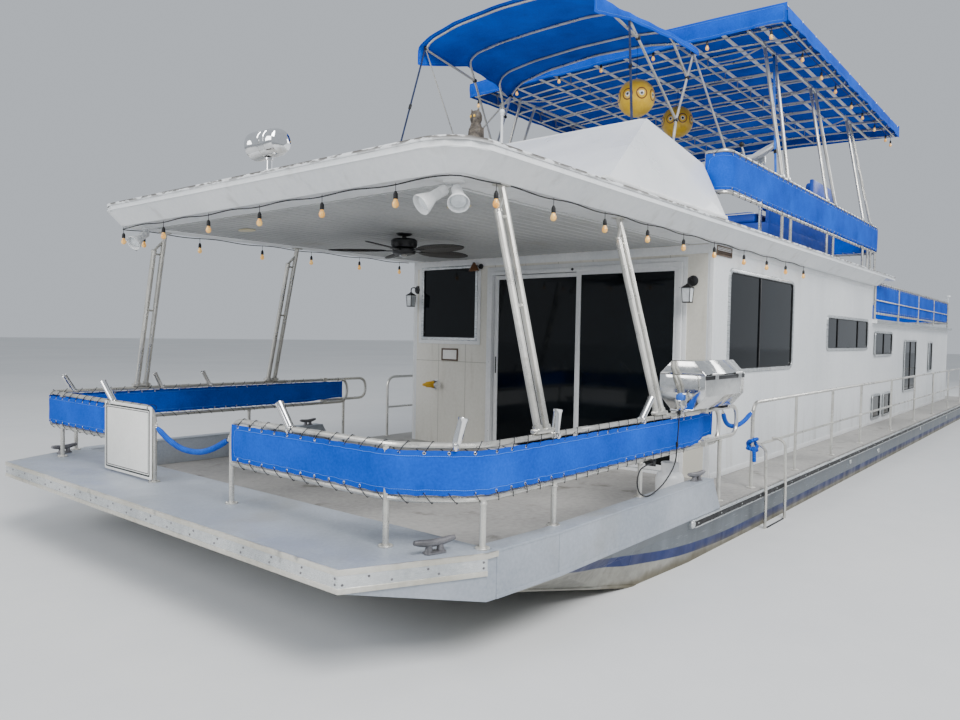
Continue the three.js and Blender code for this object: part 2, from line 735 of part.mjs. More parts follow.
// Cloth panels laced between the bow rails' tubes, outside their posts
const CLOTH = 5;
function bowCanvas(gateY, corner) {
  const out = TUBE + GAP;
  const corners = [
    [BOW_RAIL_X + out, gateY + 30],
    [BOW_RAIL_X + out, corner.cloth[0]],
    [corner.cloth[1], RAIL_Y + out],
    [6490, RAIL_Y + out],
  ];
  const outer = corners.map(([x, y], i) => [x + (i < 2 ? CLOTH : i === 2 ? 3 : 0), y + (i > 1 ? CLOTH : i === 1 ? 3 : 0)]);
  // The end runs on between the second loop's tubes
  const side = RAIL_Y + out;
  return join(
    slab([...outer, ...corners.reverse()], LOW_RAIL_Z + 20, RAIL_Z - 20),
    block([6190, 6500], [side, side + CLOTH], [SECOND_LOOP.low + TUBE + 4, RAIL_Z - 20]),
  );
}
add("port_bow_canvas", bowCanvas(GATE.port, PORT_CORNER), BLUE_CLOTH);
add("starboard_bow_canvas", mirrored(bowCanvas(-GATE.starboard, STARBOARD_CORNER)), BLUE_CLOTH);

// Side rails from the gate aft to the stern
const SIDE_RAIL = { y: 2230, foreX: 5440, aftX: -7900, midZ: 690 };
const SIDE_POSTS = [4255, 2960, 1660, -100, -1850, -3600, -5350, -7000];
function sideRail() {
  const { y, foreX, aftX, midZ } = SIDE_RAIL;
  const foot = DECK_Z + GAP;
  return join(
    pipe([[foreX, y, foot], [foreX, y, RAIL_Z], [aftX, y, RAIL_Z], [aftX, y, foot]], TUBE, 120),
    bar([foreX, y, midZ], [aftX, y, midZ], TUBE - 3),
    SIDE_POSTS.map((x) => bar([x, y, foot], [x, y, RAIL_Z], TUBE - 2)),
  );
}
add("port_side_rail", join(sideRail(), clip(SIDE_ROPE.slice(0, 2), 52, 10)), TUBE_METAL);
add("starboard_side_rail", mirrored(sideRail()), TUBE_METAL);

// Rails of the upper deck: top and lower tube down both sides and across the aft end
const UPPER = { foreX: 5300, aftX: -500, returnY: 1700 };
const UPPER_POSTS = [3820, 2170, 390, -70];
function upperRail() {
  const { foreX, aftX, returnY } = UPPER;
  const y = UPPER_RAIL_Y;
  const foot = ROOF_Z + GAP;
  const round = (z) =>
    pipe(
      [
        [foreX, returnY, z],
        [foreX, y, z],
        [aftX, y, z],
        [aftX, -y, z],
        [foreX, -y, z],
        [foreX, -returnY, z],
      ],
      TUBE,
      130,
    );
  const posts = [-1, 1].flatMap((s) => [
    ...UPPER_POSTS.flatMap((x) => [
      bar([x, s * y, foot], [x, s * y, UPPER_RAIL_Z], TUBE),
      bar([x - 280, s * y, foot], [x - 280, s * y, UPPER_LOW_Z], TUBE),
    ]),
    bar([foreX, s * returnY, foot], [foreX, s * returnY, UPPER_RAIL_Z], TUBE),
    bar([aftX, s * 1000, foot], [aftX, s * 1000, UPPER_RAIL_Z], TUBE),
    bar([aftX, s * 1700, foot], [aftX, s * 1700, UPPER_RAIL_Z], TUBE),
  ]);
  return join(round(UPPER_RAIL_Z), round(UPPER_LOW_Z), posts);
}
add("upper_rail", upperRail(), TUBE_METAL);

function upperCanvas() {
  const { foreX, aftX, returnY } = UPPER;
  const out = TUBE + GAP;
  const y = UPPER_RAIL_Y;
  const line = (by) => [
    [foreX + by, returnY],
    [foreX + by, y + by],
    [aftX - by, y + by],
    [aftX - by, -y - by],
    [foreX + by, -y - by],
    [foreX + by, -returnY],
  ];
  return slab([...line(out), ...line(out + CLOTH).reverse()], UPPER_LOW_Z, UPPER_RAIL_Z);
}
add("upper_canvas", upperCanvas(), BLUE_CLOTH);

// Rail of the aft upper deck with its cloth panels between the tubes
const AFT_RAIL = { foreX: -760, aftX: -7850, y: 1840, low: 2030, high: 2490, gap: [-1420, -880] };
function aftUpperRail() {
  const { foreX, aftX, y, low, high, gap } = AFT_RAIL;
  const foot = AFT_ROOF_Z + GAP;
  // One side, from the fore end round the aft corner to the ladder's gap
  const run = (s, end) => {
    const line = (z) => [
      [foreX, s * y, z],
      [aftX, s * y, z],
      [aftX, end, z],
    ];
    const across = [Math.min(end, s * y), Math.max(end, s * y)];
    return [
      pipe(line(high), TUBE, 80),
      pipe(line(low), TUBE, 80),
      block([aftX, foreX], [s * y - 3, s * y + 3], [low, high]),
      block([aftX - 3, aftX + 3], across, [low, high]),
    ];
  };
  const stations = [
    ...[-1, 1].flatMap((s) => [foreX, -2500, -4300, -6000, aftX].map((x) => [x, s * y])),
    [aftX, 0],
    [aftX, gap[0]],
    [aftX, gap[1]],
  ];
  return join(
    run(1, gap[1]),
    run(-1, gap[0]),
    bar([aftX, gap[0], low], [aftX, gap[1], low], TUBE),
    stations.map(([x, py]) => bar([x, py, foot], [x, py, high], TUBE)),
  );
}
add("aft_upper_rail", aftUpperRail(), BLUE_CLOTH);

// Flying bridge fairing: a sloped front and two wings, open aft, with a dash and console inside
const FAIRING = { foot: ROOF_Z + GAP, baseX: 7500, baseY: 1965, topX: 6270, topY: 1600, topZ: 3355 };
function fairingForm(inset, low) {
  const { baseX, baseY, topX, topY, topZ } = FAIRING;
  return shell(
    [-1, 1].flatMap((s) => [
      [baseX - inset * 2.2, s * (baseY - inset), low],
      [topX - inset, s * (topY - inset), topZ],
      [5345, s * (1690 - inset), 3150],
      [5445, s * (baseY - inset), low],
    ]),
  );
}
function fairing() {
  const { foot } = FAIRING;
  const outside = fairingForm(0, foot);
  const inside = fairingForm(60, foot - 40);
  const behind = block([5000, 5450], [-1500, 1500], [foot - 50, 3400]);
  const dash = shell(
    [-620, 620].flatMap((y) => [
      [7100, y, foot],
      [5900, y, foot],
      [5850, y, 3080],
      [6050, y, 3150],
      [6560, y, 3150],
    ]),
  );
  return join(cut(outside, inside, behind), dash);
}
add("flybridge_fairing", fairing(), ROOF_WHITE);

// Helm wheel on the dash, its shaft leaning aft
const HELM = { x: 5785, z: 3020, radius: 190 };
function helmWheel() {
  const rim = new THREE.LatheGeometry(
    ring(14, 6).map((p) => new THREE.Vector2(p.x + HELM.radius, p.y)).concat([
      new THREE.Vector2(14 + HELM.radius, 0),
    ]),
    20,
  );
  rim.rotateZ(Math.PI / 2);
  rim.translate(HELM.x, 0, HELM.z);
  const spokes = [0, 120, 240].map((deg) => {
    const turn = (deg * Math.PI) / 180;
    return bar(
      [HELM.x, 0, HELM.z],
      [HELM.x, HELM.radius * Math.sin(turn), HELM.z + HELM.radius * Math.cos(turn)],
      9,
      6,
    );
  });
  return join(solid(rim), spokes, bar([HELM.x - 20, 0, HELM.z], [HELM.x + 67.5, 0, HELM.z], 34));
}
add("helm_wheel", helmWheel(), BLACK);

function helmSeat() {
  const x = 5150;
  const base = ROOF_Z + GAP;
  return join(
    bar([x, 0, base], [x, 0, base + 20], 190, 12),
    bar([x, 0, base], [x, 0, base + 420], 40, 10),
    block([x - 240, x + 240], [-250, 250], [base + 400, base + 500]),
    shell([-240, 240].flatMap((y) => [
      [x - 230, y, base + 480],
      [x - 130, y, base + 480],
      [x - 330, y, base + 950],
      [x - 250, y, base + 950],
    ])),
  );
}
add("helm_seat", helmSeat(), BLUE_CLOTH);

function loungeSeat() {
  const base = ROOF_Z + GAP;
  return join(
    block([700, 3300], [900, 1600], [base, base + 430]),
    block([700, 3300], [1430, 1600], [base, base + 800]),
    block([700, 1700], [1430, 1600], [base, base + 1080]),
  );
}
add("lounge_seat", loungeSeat(), BLUE_CLOTH);

// A line of [y, z] points moved out square to its own course
function offset(line, by) {
  const unit = (from, to) => new THREE.Vector2(to[0] - from[0], to[1] - from[1]).normalize();
  return line.map((p, i) => {
    const before = i > 0 ? unit(line[i - 1], p) : unit(p, line[i + 1]);
    const after = i < line.length - 1 ? unit(p, line[i + 1]) : before;
    const along = before.clone().add(after).normalize();
    const reach = by / along.dot(before);
    return [p[0] - along.y * reach, p[1] + along.x * reach];
  });
}

// Half a bow's [y, z] line from its port end to the middle, as the whole line from starboard to port
const bothSides = (half) => [
  ...half.map(([y, z]) => [-y, z]),
  ...half.slice(0, -1).reverse(),
];

// A cloth that lies on bows, given its underside, with a hem down each side if it has one
function cloth(foreX, aftX, under, thick, hem = 0, steps = 1) {
  const top = offset(under, thick);
  const last = under.length - 1;
  const skirt = ([y, z], s) => [
    [y + s * 6, z - 2],
    [y + s * 6, z - hem],
    [y + s * (6 + thick), z - hem],
    [y + s * (6 + thick), z + thick - 3],
  ];
  const outline = hem
    ? [...skirt(under[0], -1), ...top.slice(1, -1), ...skirt(under[last], 1).reverse(), ...under.slice(1, -1).reverse()]
    : [...top, ...[...under].reverse()];
  const g = new THREE.ExtrudeGeometry(
    new THREE.Shape(outline.map(([y, z]) => new THREE.Vector2(y, z))),
    { depth: foreX - aftX, steps, bevelEnabled: false },
  );
  g.rotateX(Math.PI / 2);
  g.rotateZ(Math.PI / 2);
  g.translate(aftX, 0, 0);
  return solid(g);
}

// Bimini over the flying bridge: a main and an aft bow on one pivot each side, a fore bow carried by
// the main legs and a short bow carried by the aft legs. Half lines are [y, z] from the port end, and
// the cloth's hem hangs down from that end by drop, standing out by its own amount.
const BIMINI_BOWS = {
  fore: { x: 6140, half: [[1000, 4530], [900, 4600], [560, 4665], [0, 4690]], drop: 160, out: 48 },
  main: { x: 5475, half: [[970, 4590], [870, 4655], [520, 4694], [0, 4702]], drop: 50, out: 30 },
  short: { x: 4800, half: [[1085, 4585], [965, 4660], [580, 4706], [0, 4722]], drop: 45, out: 34 },
  aft: { x: 4440, half: [[1170, 4540], [1040, 4640], [640, 4712], [0, 4745]], drop: 50, out: 30 },
};
const BIMINI = { tube: 13, edge: 55, thick: 8 };
const BIMINI_PIVOT = [4780, 1150, 3760];
const BIMINI_FOOT = [5000, 1130, ROOF_Z + GAP];
const onSide = ([x, y, z], s) => [x, s * y, z];
const between = (from, to, part) => from.map((start, i) => start + (to[i] - start) * part);
const legTop = ({ x, half }) => [x, ...half[0]];
const bow = ({ x, half }, foot) =>
  pipe(
    [onSide(foot, -1), ...bothSides(half).map(([y, z]) => [x, y, z]), onSide(foot, 1)],
    BIMINI.tube,
    80,
    6,
    2,
  );

function biminiFrame() {
  const { fore, main, short, aft } = BIMINI_BOWS;
  const railTop = UPPER_RAIL_Z + TUBE + GAP;
  const perSide = [-1, 1].map((s) => {
    const stay = cut(
      bar(onSide(between(BIMINI_PIVOT, legTop(aft), 0.96), s), [5240, s * 1850, railTop - 30], 11),
      block([5100, 5400], [s * 1850 - 120, s * 1850 + 120], [railTop - 90, railTop]),
    );
    const post = cut(
      bar(onSide([5010, 1129, ROOF_Z - 40], s), onSide(BIMINI_PIVOT, s), 14),
      block([4900, 5100], [s * 1129 - 100, s * 1129 + 100], [ROOF_Z - 120, ROOF_Z + GAP]),
    );
    const foot = bar(onSide(BIMINI_FOOT, s), onSide([5000, 1130, ROOF_Z + 12], s), 55, 12);
    return join(stay, post, foot);
  });
  return join(
    bow(main, BIMINI_PIVOT),
    bow(aft, BIMINI_PIVOT),
    bow(fore, between(BIMINI_PIVOT, legTop(main), 0.8)),
    bow(short, between(BIMINI_PIVOT, legTop(aft), 0.6)),
    perSide,
  );
}
add("bimini_frame", biminiFrame(), TUBE_METAL);

function biminiTop() {
  const { fore, main, short, aft } = BIMINI_BOWS;
  const { tube, edge, thick } = BIMINI;
  const stations = [{ ...fore, x: fore.x + edge }, fore, main, short, aft, { ...aft, x: aft.x - edge }];
  const under = stations.map(({ x, half, drop, out }) => {
    const line = offset(bothSides(half), tube + 0.1).slice(1, -1);
    const [endY, endZ] = half[0];
    const hem = [
      [endY + out, endZ - drop],
      [endY + out, endZ + 4],
      [endY + tube + 4, endZ + 24],
    ];
    const rim = hem.map(([y, z]) => [-y, z]);
    return [...rim, ...line, ...hem.reverse()].map(([y, z]) => [x, y, z]);
  });
  const over = under.map((row) => offset(row.map(([, y, z]) => [y, z]), thick).map(([y, z]) => [row[0][0], y, z]));
  return sheet(over, under);
}
add("bimini_top", biminiTop(), BLUE_CLOTH);

// Rear canopy: a lattice of tubes on three pairs of props each side, and above it on short uprights
// the rim and bows that carry the cloth
const CANOPY = { foreX: 4230, aftX: -1090, beamY: 1610, tube: 12, bows: 8, inset: 60, rimBows: [0, 2, 4, 6, 7] };
const CANOPY_LINE = bothSides([[1970, 4722], [1300, 4766], [650, 4794], [0, 4804]]);
const CANOPY_RIM = bothSides([[2010, 4862], [1300, 4886], [650, 4900], [0, 4904]]);
// Each prop's X at its foot on the upper rail and at its top
const PROPS = [
  { foot: 3860, top: 3660 },
  { foot: 3670, top: 3330 },
  { foot: 2200, top: 2020 },
  { foot: 1850, top: 1820 },
  { foot: 420, top: 310 },
  { foot: 10, top: 110 },
];
const bowX = (i) =>
  CANOPY.foreX - CANOPY.inset - ((CANOPY.foreX - CANOPY.aftX - 2 * CANOPY.inset) * i) / (CANOPY.bows - 1);
function lineZ(line, y) {
  const i = line.findIndex((p, k) => k > 0 && p[0] >= y);
  const [a, b] = [line[i - 1], line[i]];
  return a[1] + ((b[1] - a[1]) * (y - a[0])) / (b[0] - a[0]);
}
function canopyFrame() {
  const { foreX, aftX, beamY, tube, rimBows } = CANOPY;
  const across = (line) => (i) => pipe(line.map(([y, z]) => [bowX(i), y, z]), tube, 200, 6, 1);
  const crossing = [
    ...Array.from({ length: CANOPY.bows }, (_, i) => i).map(across(CANOPY_LINE)),
    ...rimBows.map(across(CANOPY_RIM)),
  ];
  const lengthwise = (line, y, radius, drop) => {
    const z = lineZ(line, y) - drop;
    return bar([foreX - 20, y, z], [aftX + 20, y, z], radius);
  };
  const along = [-1, 1].flatMap((s) => [
    lengthwise(CANOPY_LINE, s * beamY, 20, 12),
    lengthwise(CANOPY_LINE, s * 800, tube, 2),
    lengthwise(CANOPY_LINE, s * 1960, tube, 2),
    lengthwise(CANOPY_RIM, s * 1990, tube, 2),
  ]);
  const uprights = rimBows.flatMap((i) =>
    [[-1960, -1990], [-800, -800], [800, 800], [1960, 1990]].map(([low, high]) =>
      bar([bowX(i), low, lineZ(CANOPY_LINE, low)], [bowX(i), high, lineZ(CANOPY_RIM, high)], 9, 6),
    ),
  );
  const foot = UPPER_RAIL_Z + TUBE + GAP;
  const props = [-1, 1].flatMap((s) =>
    PROPS.map((prop) =>
      cut(
        bar([prop.foot, s * UPPER_RAIL_Y, foot - 30], [prop.top, s * beamY, 4733], 20),
        block(
          [prop.foot - 100, prop.foot + 100],
          [s * UPPER_RAIL_Y - 90, s * UPPER_RAIL_Y + 90],
          [foot - 80, foot],
        ),
      ),
    ),
  );
  return join(crossing, along, uprights, props);
}
add("canopy_frame", canopyFrame(), TUBE_METAL);
add(
  "canopy_top",
  cloth(CANOPY.foreX, CANOPY.aftX, offset(CANOPY_RIM, CANOPY.tube + GAP), 8, 165),
  BLUE_CLOTH,
);

// Satellite dish on a short mast
const DISH = { x: 3720, y: 1640, z: 3555 };
function dish() {
  const profile = [
    [0, 0],
    [100, 12],
    [190, 46],
    [195, 41],
    [103, 2],
    [0, -10],
  ].map(([r, h]) => new THREE.Vector2(r, h));
  const bowl = new THREE.LatheGeometry(profile, 18);
  bowl.rotateZ(-1.0);
  bowl.translate(DISH.x, DISH.y, DISH.z);
  return join(
    solid(bowl),
    bar([DISH.x, DISH.y, ROOF_Z + GAP], [DISH.x, DISH.y, DISH.z], 18),
    bar([DISH.x, DISH.y, ROOF_Z + GAP], [DISH.x, DISH.y, ROOF_Z + 12], 90, 12),
    bar([DISH.x, DISH.y, DISH.z], [DISH.x + 200, DISH.y, DISH.z + 115], 9),
  );
}
add("satellite_dish", dish(), ROOF_WHITE);

// Searchlight on a post at the roof's fore edge; the lamp swivels on the post
const LIGHT = { x: 8800, y: 130, top: 2845, half: 150, radius: 98 };
add(
  "searchlight",
  join(
    bar(
      [LIGHT.x, LIGHT.y - LIGHT.half, LIGHT.top],
      [LIGHT.x, LIGHT.y + LIGHT.half, LIGHT.top],
      LIGHT.radius,
      14,
    ),
    bar([LIGHT.x, LIGHT.y, ROOF_Z + GAP], [LIGHT.x, LIGHT.y, LIGHT.top], 20),
    bar([LIGHT.x, LIGHT.y, ROOF_Z + GAP], [LIGHT.x, LIGHT.y, ROOF_Z + 20], 50, 12),
  ),
  CHROME,
);

// Floodlights in pairs under the roof's fore corners
function floodlight() {
  const x = 8700;
  const y = 1700;
  const top = SOFFIT_Z - GAP;
  return join(
    bar([x, y, top - 14], [x, y, top], 60, 12),
    [[110, -60], [60, 90]].map(([dx, dy]) =>
      join(
        bar([x, y, top - 12], [x + dx * 0.5, y + dy * 0.5, top - 60], 10),
        bar([x + dx * 0.3, y + dy * 0.4, top - 45], [x + dx, y + dy, top - 100], 30, 10),
        bar([x + dx, y + dy, top - 100], [x + dx * 1.6, y + dy * 1.35, top - 150], 34, 10, 62),
      ),
    ),
  );
}
add("floodlight_port", floodlight(), ROOF_WHITE);
add("floodlight_starboard", mirrored(floodlight()), ROOF_WHITE);

// Ceiling fan over the bow deck
const FAN = { x: 7336, y: -60, hubZ: 2285 };
add(
  "fan_motor",
  join(
    bar([FAN.x, FAN.y, SOFFIT_Z - 60], [FAN.x, FAN.y, SOFFIT_Z - GAP], 70, 12),
    bar([FAN.x, FAN.y, FAN.hubZ + 80], [FAN.x, FAN.y, SOFFIT_Z - 20], 16),
    bar([FAN.x, FAN.y, FAN.hubZ + 20], [FAN.x, FAN.y, FAN.hubZ + 100], 110, 14),
  ),
  BLACK,
);
function fanBlades() {
  const { x, y, hubZ } = FAN;
  const blades = Array.from({ length: 5 }, (_, i) => {
    const turn = 0.35 + (2 * Math.PI * i) / 5;
    const at = (reach, side) => [
      x + reach * Math.cos(turn) - side * Math.sin(turn),
      y + reach * Math.sin(turn) + side * Math.cos(turn),
    ];
    const leaf = [
      [60, -22],
      [200, -50],
      [380, -90],
      [550, -70],
      [640, 0],
      [550, 70],
      [380, 90],
      [200, 50],
      [60, 22],
    ].map(([reach, side]) => at(reach, side));
    return slab(leaf, hubZ - 4, hubZ + 4);
  });
  return join(bar([x, y, hubZ - 35], [x, y, hubZ + 20 - GAP], 100, 14), blades);
}
add("fan_blades", fanBlades(), BLACK);

// Grill on the aft end of the port bow rail: an eight-sided drum along X with a lid
const GRILL = { x: [6240, 6950], y: 2270, halfW: 165, low: 1105, split: 1344, high: 1437, bevel: 85 };
const LID_HINGE = { y: 2445, z: 1351, radius: 9, at: [6320, 6750], knuckle: 60 };
function drumPart(z0, z1) {
  const { x, y, halfW, low, high, bevel } = GRILL;
  const edge = 0.28;
  const side = (z) => {
    const part = (z - low) / (high - low);
    const short = Math.max(0, edge - part, part - 1 + edge) / edge;
    return halfW - bevel * short;
  };
  const levels = [z0, low + edge * (high - low), high - edge * (high - low), z1].filter(
    (z) => z >= z0 && z <= z1,
  );
  return shell(
    levels.flatMap((z) => x.flatMap((px) => [[px, y - side(z), z], [px, y + side(z), z]])),
  );
}
function grillBody() {
  const { x, y, halfW, low, split, bevel } = GRILL;
  const { y: hy, z: hz, radius, at, knuckle } = LID_HINGE;
  const inside = halfW - bevel - 5;
  const feet = [6400, 6800].map((fx) =>
    block([fx, fx + 60], [RAIL_Y - 60, RAIL_Y + 50], [RAIL_Z + TUBE + GAP, low + 2]),
  );
  const [hoseX, hoseY, hoseZ] = GRILL_HOSE[0];
  const regulator = block([x[1] - 1, hoseX + 23], [hoseY - 23, hoseY + 23], [hoseZ + GAP, hoseZ + 65]);
  const hinge = at.map((hx) =>
    join(
      bar([hx, hy, hz], [hx + knuckle, hy, hz], radius, 8),
      block([hx, hx + knuckle], [hy - 8, hy + 4], [split - 30, hz]),
    ),
  );
  return join(
    cut(
      drumPart(low, split - 3),
      block([x[0] + 20, x[1] - 20], [y - inside, y + inside], [low + 20, split]),
    ),
    feet,
    regulator,
    block(x, [y + halfW - 2, y + halfW + 6], [split - 30, split - 6]),
    hinge,
  );
}
add("grill_body", grillBody(), CHROME);
function grillLid() {
  const { x, y, halfW, split, high, bevel } = GRILL;
  const { y: hy, z: hz, radius, at, knuckle } = LID_HINGE;
  const inside = halfW - bevel - 5;
  const handleY = y - halfW - 35;
  const handleZ = split + 16;
  const hinge = at.map((hx) => {
    const span = [hx + knuckle + GAP, hx + 2 * knuckle];
    return join(
      bar([span[0], hy, hz], [span[1], hy, hz], radius, 8),
      block(span, [y + halfW - 20, hy], [hz - 3, hz + 6]),
    );
  });
  return join(
    cut(
      drumPart(split + 3, high),
      block([x[0] + 12, x[1] - 12], [y - inside, y + inside], [split, high - 12]),
    ),
    bar([x[0] + 160, handleY, handleZ], [x[1] - 160, handleY, handleZ], 9),
    [x[0] + 190, x[1] - 190].map((px) => bar([px, handleY, handleZ], [px, handleY + 48, handleZ], 7)),
    hinge,
  );
}
add("grill_lid", grillLid(), CHROME);

// Boarding ladder hooked over the port side rail's middle tube and hanging into the water
const LADDER = { sides: [5405, 4895], y: 2346, tube: 13, low: -420, rungs: [-380, -10] };
function ladder() {
  const { y, tube, low } = LADDER;
  const [fore, aft] = LADDER.sides;
  const restZ = SIDE_RAIL.midZ + TUBE - 3 + GAP;
  const sides = LADDER.sides.map((x) =>
    pipe([[x, 2262, restZ + 9], [x, y - 12, restZ - 26], [x, y, 330], [x, y, low]], tube, 90),
  );
  const rungs = LADDER.rungs.map((z) => bar([fore, y, z], [aft, y, z], tube));
  const hooks = LADDER.sides.map((x) => block([x - 14, x + 14], [2218, 2275], [restZ, restZ + 16]));
  return join(sides, rungs, hooks);
}
add("boarding_ladder", ladder(), TUBE_METAL);

// Blank board hung on the starboard bow rail beside the gate
add(
  "notice_board",
  block(
    [BOW_RAIL_X + TUBE + CLOTH + 1, BOW_RAIL_X + TUBE + CLOTH + 9],
    [-1100, GATE.starboard + 12],
    [575, RAIL_Z + 8],
  ),
  BOARD_WHITE,
);

// Scare balloons hung from the bows
const BALLOONS = [
  { name: "fore", at: [BIMINI_BOWS.aft.x, 524, 4175], radius: 200, hungFrom: 4704.5 },
  { name: "aft", at: [bowX(2), 180, 4379], radius: 200, hungFrom: 4790.3 },
];
for (const { name, at: [x, y, z], radius, hungFrom } of BALLOONS) {
  const ball = new THREE.SphereGeometry(radius, 14, 8);
  ball.rotateX(Math.PI / 2);
  ball.translate(x, y, z);
  add(
    `balloon_${name}`,
    join(solid(ball), bar([x, y, z + radius - 5], [x, y, hungFrom], 3)),
    YELLOW,
  );
}

// Stern: a ladder to the aft upper deck, and the sterndrive with its propeller
const STERN_LADDER = { y: -1150, half: 230, footX: -8558, topX: -8090, top: 2560 };
function sternLadder() {
  const { y: middle, half, footX, topX, top } = STERN_LADDER;
  const ends = [middle - half, middle + half];
  const sides = ends.map((y) =>
    cut(
      bar([footX, y, DECK_Z - 40], [topX, y, top], 16),
      block([footX - 140, footX + 160], [y - 40, y + 40], [DECK_Z - 90, DECK_Z + GAP]),
    ),
  );
  const rungs = [1, 2, 3, 4, 5, 6, 7].map((i) => {
    const x = footX + 8 + ((topX - footX) * i) / 8;
    const z = DECK_Z + ((top - DECK_Z) * i) / 8;
    return bar([x, ends[0], z], [x, ends[1], z], 12);
  });
  const restZ = AFT_RAIL.low + TUBE + GAP;
  const hooks = ends.map((y) =>
    block([-8215, AFT_RAIL.aftX + 14], [y - 14, y + 14], [restZ, restZ + 28]),
  );
  return join(sides, rungs, hooks);
}
add("stern_ladder", sternLadder(), TUBE_METAL);

const DRIVE = { pinX: -9190, shaftZ: -560, propX: -9560 };
add(
  "drive_mount",
  join(
    block([TRANSOM_X - 40, TRANSOM_X - GAP], [-210, 210], [-330, 110]),
    block([DRIVE.pinX - 35, TRANSOM_X - 30], [-42, 42], [40, 100]),
    block([DRIVE.pinX - 35, TRANSOM_X - 30], [-42, 42], [-240, -180]),
  ),
  DRIVE_BLACK,
);
add(
  "sterndrive",
  join(
    shell([-70, 70].flatMap((y) => [
      [DRIVE.pinX - 62, y * 0.7, 34],
      [DRIVE.pinX - 62, y * 0.7, -300],
      [DRIVE.pinX - 170, y, -60],
      [DRIVE.pinX - 250, y * 0.7, 20],
      [DRIVE.pinX - 250, y * 0.7, -300],
    ])),
    block([DRIVE.pinX - 90, DRIVE.pinX + 30], [-34, 34], [-174, 34]),
    bar([DRIVE.pinX, 0, -180 + GAP], [DRIVE.pinX, 0, 40 - GAP], 24, 12),
    shell([-26, 26].flatMap((y) => [
      [DRIVE.pinX - 70, y, -280],
      [DRIVE.pinX - 270, y, -280],
      [DRIVE.pinX - 120, y * 0.5, DRIVE.shaftZ - 190],
      [DRIVE.pinX - 240, y * 0.5, DRIVE.shaftZ - 190],
    ])),
    block([DRIVE.pinX - 340, DRIVE.pinX - 60], [-100, 100], [-312, -296]),
    bar([DRIVE.pinX - 60, 0, DRIVE.shaftZ], [DRIVE.propX + 40, 0, DRIVE.shaftZ], 62, 10, 52),
  ),
  DRIVE_BLACK,
);
function propeller() {
  const { propX, shaftZ } = DRIVE;
  const blades = [0, 1, 2].map((i) => {
    const turn = (i * 2 * Math.PI) / 3;
    const at = (r, side, along) => [
      propX + along,
      r * Math.sin(turn) + side * Math.cos(turn),
      shaftZ + r * Math.cos(turn) - side * Math.sin(turn),
    ];
    return shell([
      at(30, -30, -40),
      at(30, 30, 30),
      at(30, -24, -46),
      at(30, 36, 24),
      at(150, -75, -36),
      at(150, 75, 26),
      at(150, -72, -40),
      at(150, 78, 22),
      at(195, 0, -4),
      at(195, 3, -8),
    ]);
  });
  return join(bar([propX + 40 - GAP, 0, shaftZ], [propX - 75, 0, shaftZ], 50, 12, 34), blades);
}
add("propeller", propeller(), BRONZE);

export default boat;
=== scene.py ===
import math

import bpy
from mathutils import Matrix, Vector


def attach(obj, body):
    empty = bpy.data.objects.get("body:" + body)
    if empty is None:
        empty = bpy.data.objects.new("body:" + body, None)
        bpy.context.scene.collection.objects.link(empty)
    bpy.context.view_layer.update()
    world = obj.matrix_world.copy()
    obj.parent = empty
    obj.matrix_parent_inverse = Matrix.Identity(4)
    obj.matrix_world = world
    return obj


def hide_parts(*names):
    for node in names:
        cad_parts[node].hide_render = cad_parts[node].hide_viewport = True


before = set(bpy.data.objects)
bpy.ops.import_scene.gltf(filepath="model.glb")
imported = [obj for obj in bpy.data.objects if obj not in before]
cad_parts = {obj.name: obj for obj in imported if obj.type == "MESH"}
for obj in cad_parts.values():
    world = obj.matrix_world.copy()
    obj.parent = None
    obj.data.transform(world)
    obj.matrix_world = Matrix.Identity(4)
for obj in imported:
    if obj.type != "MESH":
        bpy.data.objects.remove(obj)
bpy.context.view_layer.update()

# Sizes and places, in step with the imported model
DECK_Z = 0.335
KERB_Z = 0.559
BOW_X = 9.690
STEM_X = 8.980
WALL_X = 5.400
CABIN_Y = 1.833
STEP_X = -0.650
REAR_X = -7.970
SOFFIT_Z = 2.435
ROOF_Z = 2.615
ROOF_Y = 2.000
AFT_ROOF_Z = 1.930
TUBE = 0.016
RAIL_Z = 1.060
LOW_RAIL_Z = 0.800
RAIL_Y = 2.200
BOW_RAIL_X = 9.300
UPPER_RAIL_Z = 3.260
UPPER_LOW_Z = 2.895
UPPER_Y = 1.900
HULL_Y = 2.2885
ROOF_FORE = 9.000

# The three ways, and no turn
AHEAD, ABEAM, UPWARD = (1, 0, 0), (0, 1, 0), (0, 0, 1)
UNTURNED = Matrix.Identity(3)

# Camera: the photograph's place, heading and lens
CAMERA_AT = (11.8035, 4.4616, 1.5915)
CAMERA_LENS = 28.125
CAMERA_YAW = 219.437
CAMERA_DIP = 1.912
CAMERA_ROLL = -1.027


# Making and shaping

def deselect():
    if bpy.context.mode != "OBJECT":
        bpy.ops.object.mode_set(mode="OBJECT")
    bpy.ops.object.select_all(action="DESELECT")


def pick(*objects):
    deselect()
    for o in objects:
        o.select_set(True)
    bpy.context.view_layer.objects.active = objects[0]
    return objects[0]


def flat(items):
    out = []
    for item in items:
        out += flat(item) if isinstance(item, (list, tuple)) else [item]
    return out


def modified(obj, kind, **settings):
    """Adds a modifier with its settings and applies it."""
    pick(obj)
    made = obj.modifiers.new(kind.title(), kind)
    for key, value in settings.items():
        setattr(made, key, value)
    bpy.ops.object.modifier_apply(modifier=made.name)
    return obj


def joined(*objects):
    objects = flat(objects)
    pick(*objects)
    if len(objects) > 1:
        bpy.ops.object.join()
    return bpy.context.view_layer.objects.active


def painted(parts, material):
    """Gives one part, or every part of a list, one material."""
    for part in flat([parts]):
        part.data.materials.clear()
        part.data.materials.append(material)
    return parts


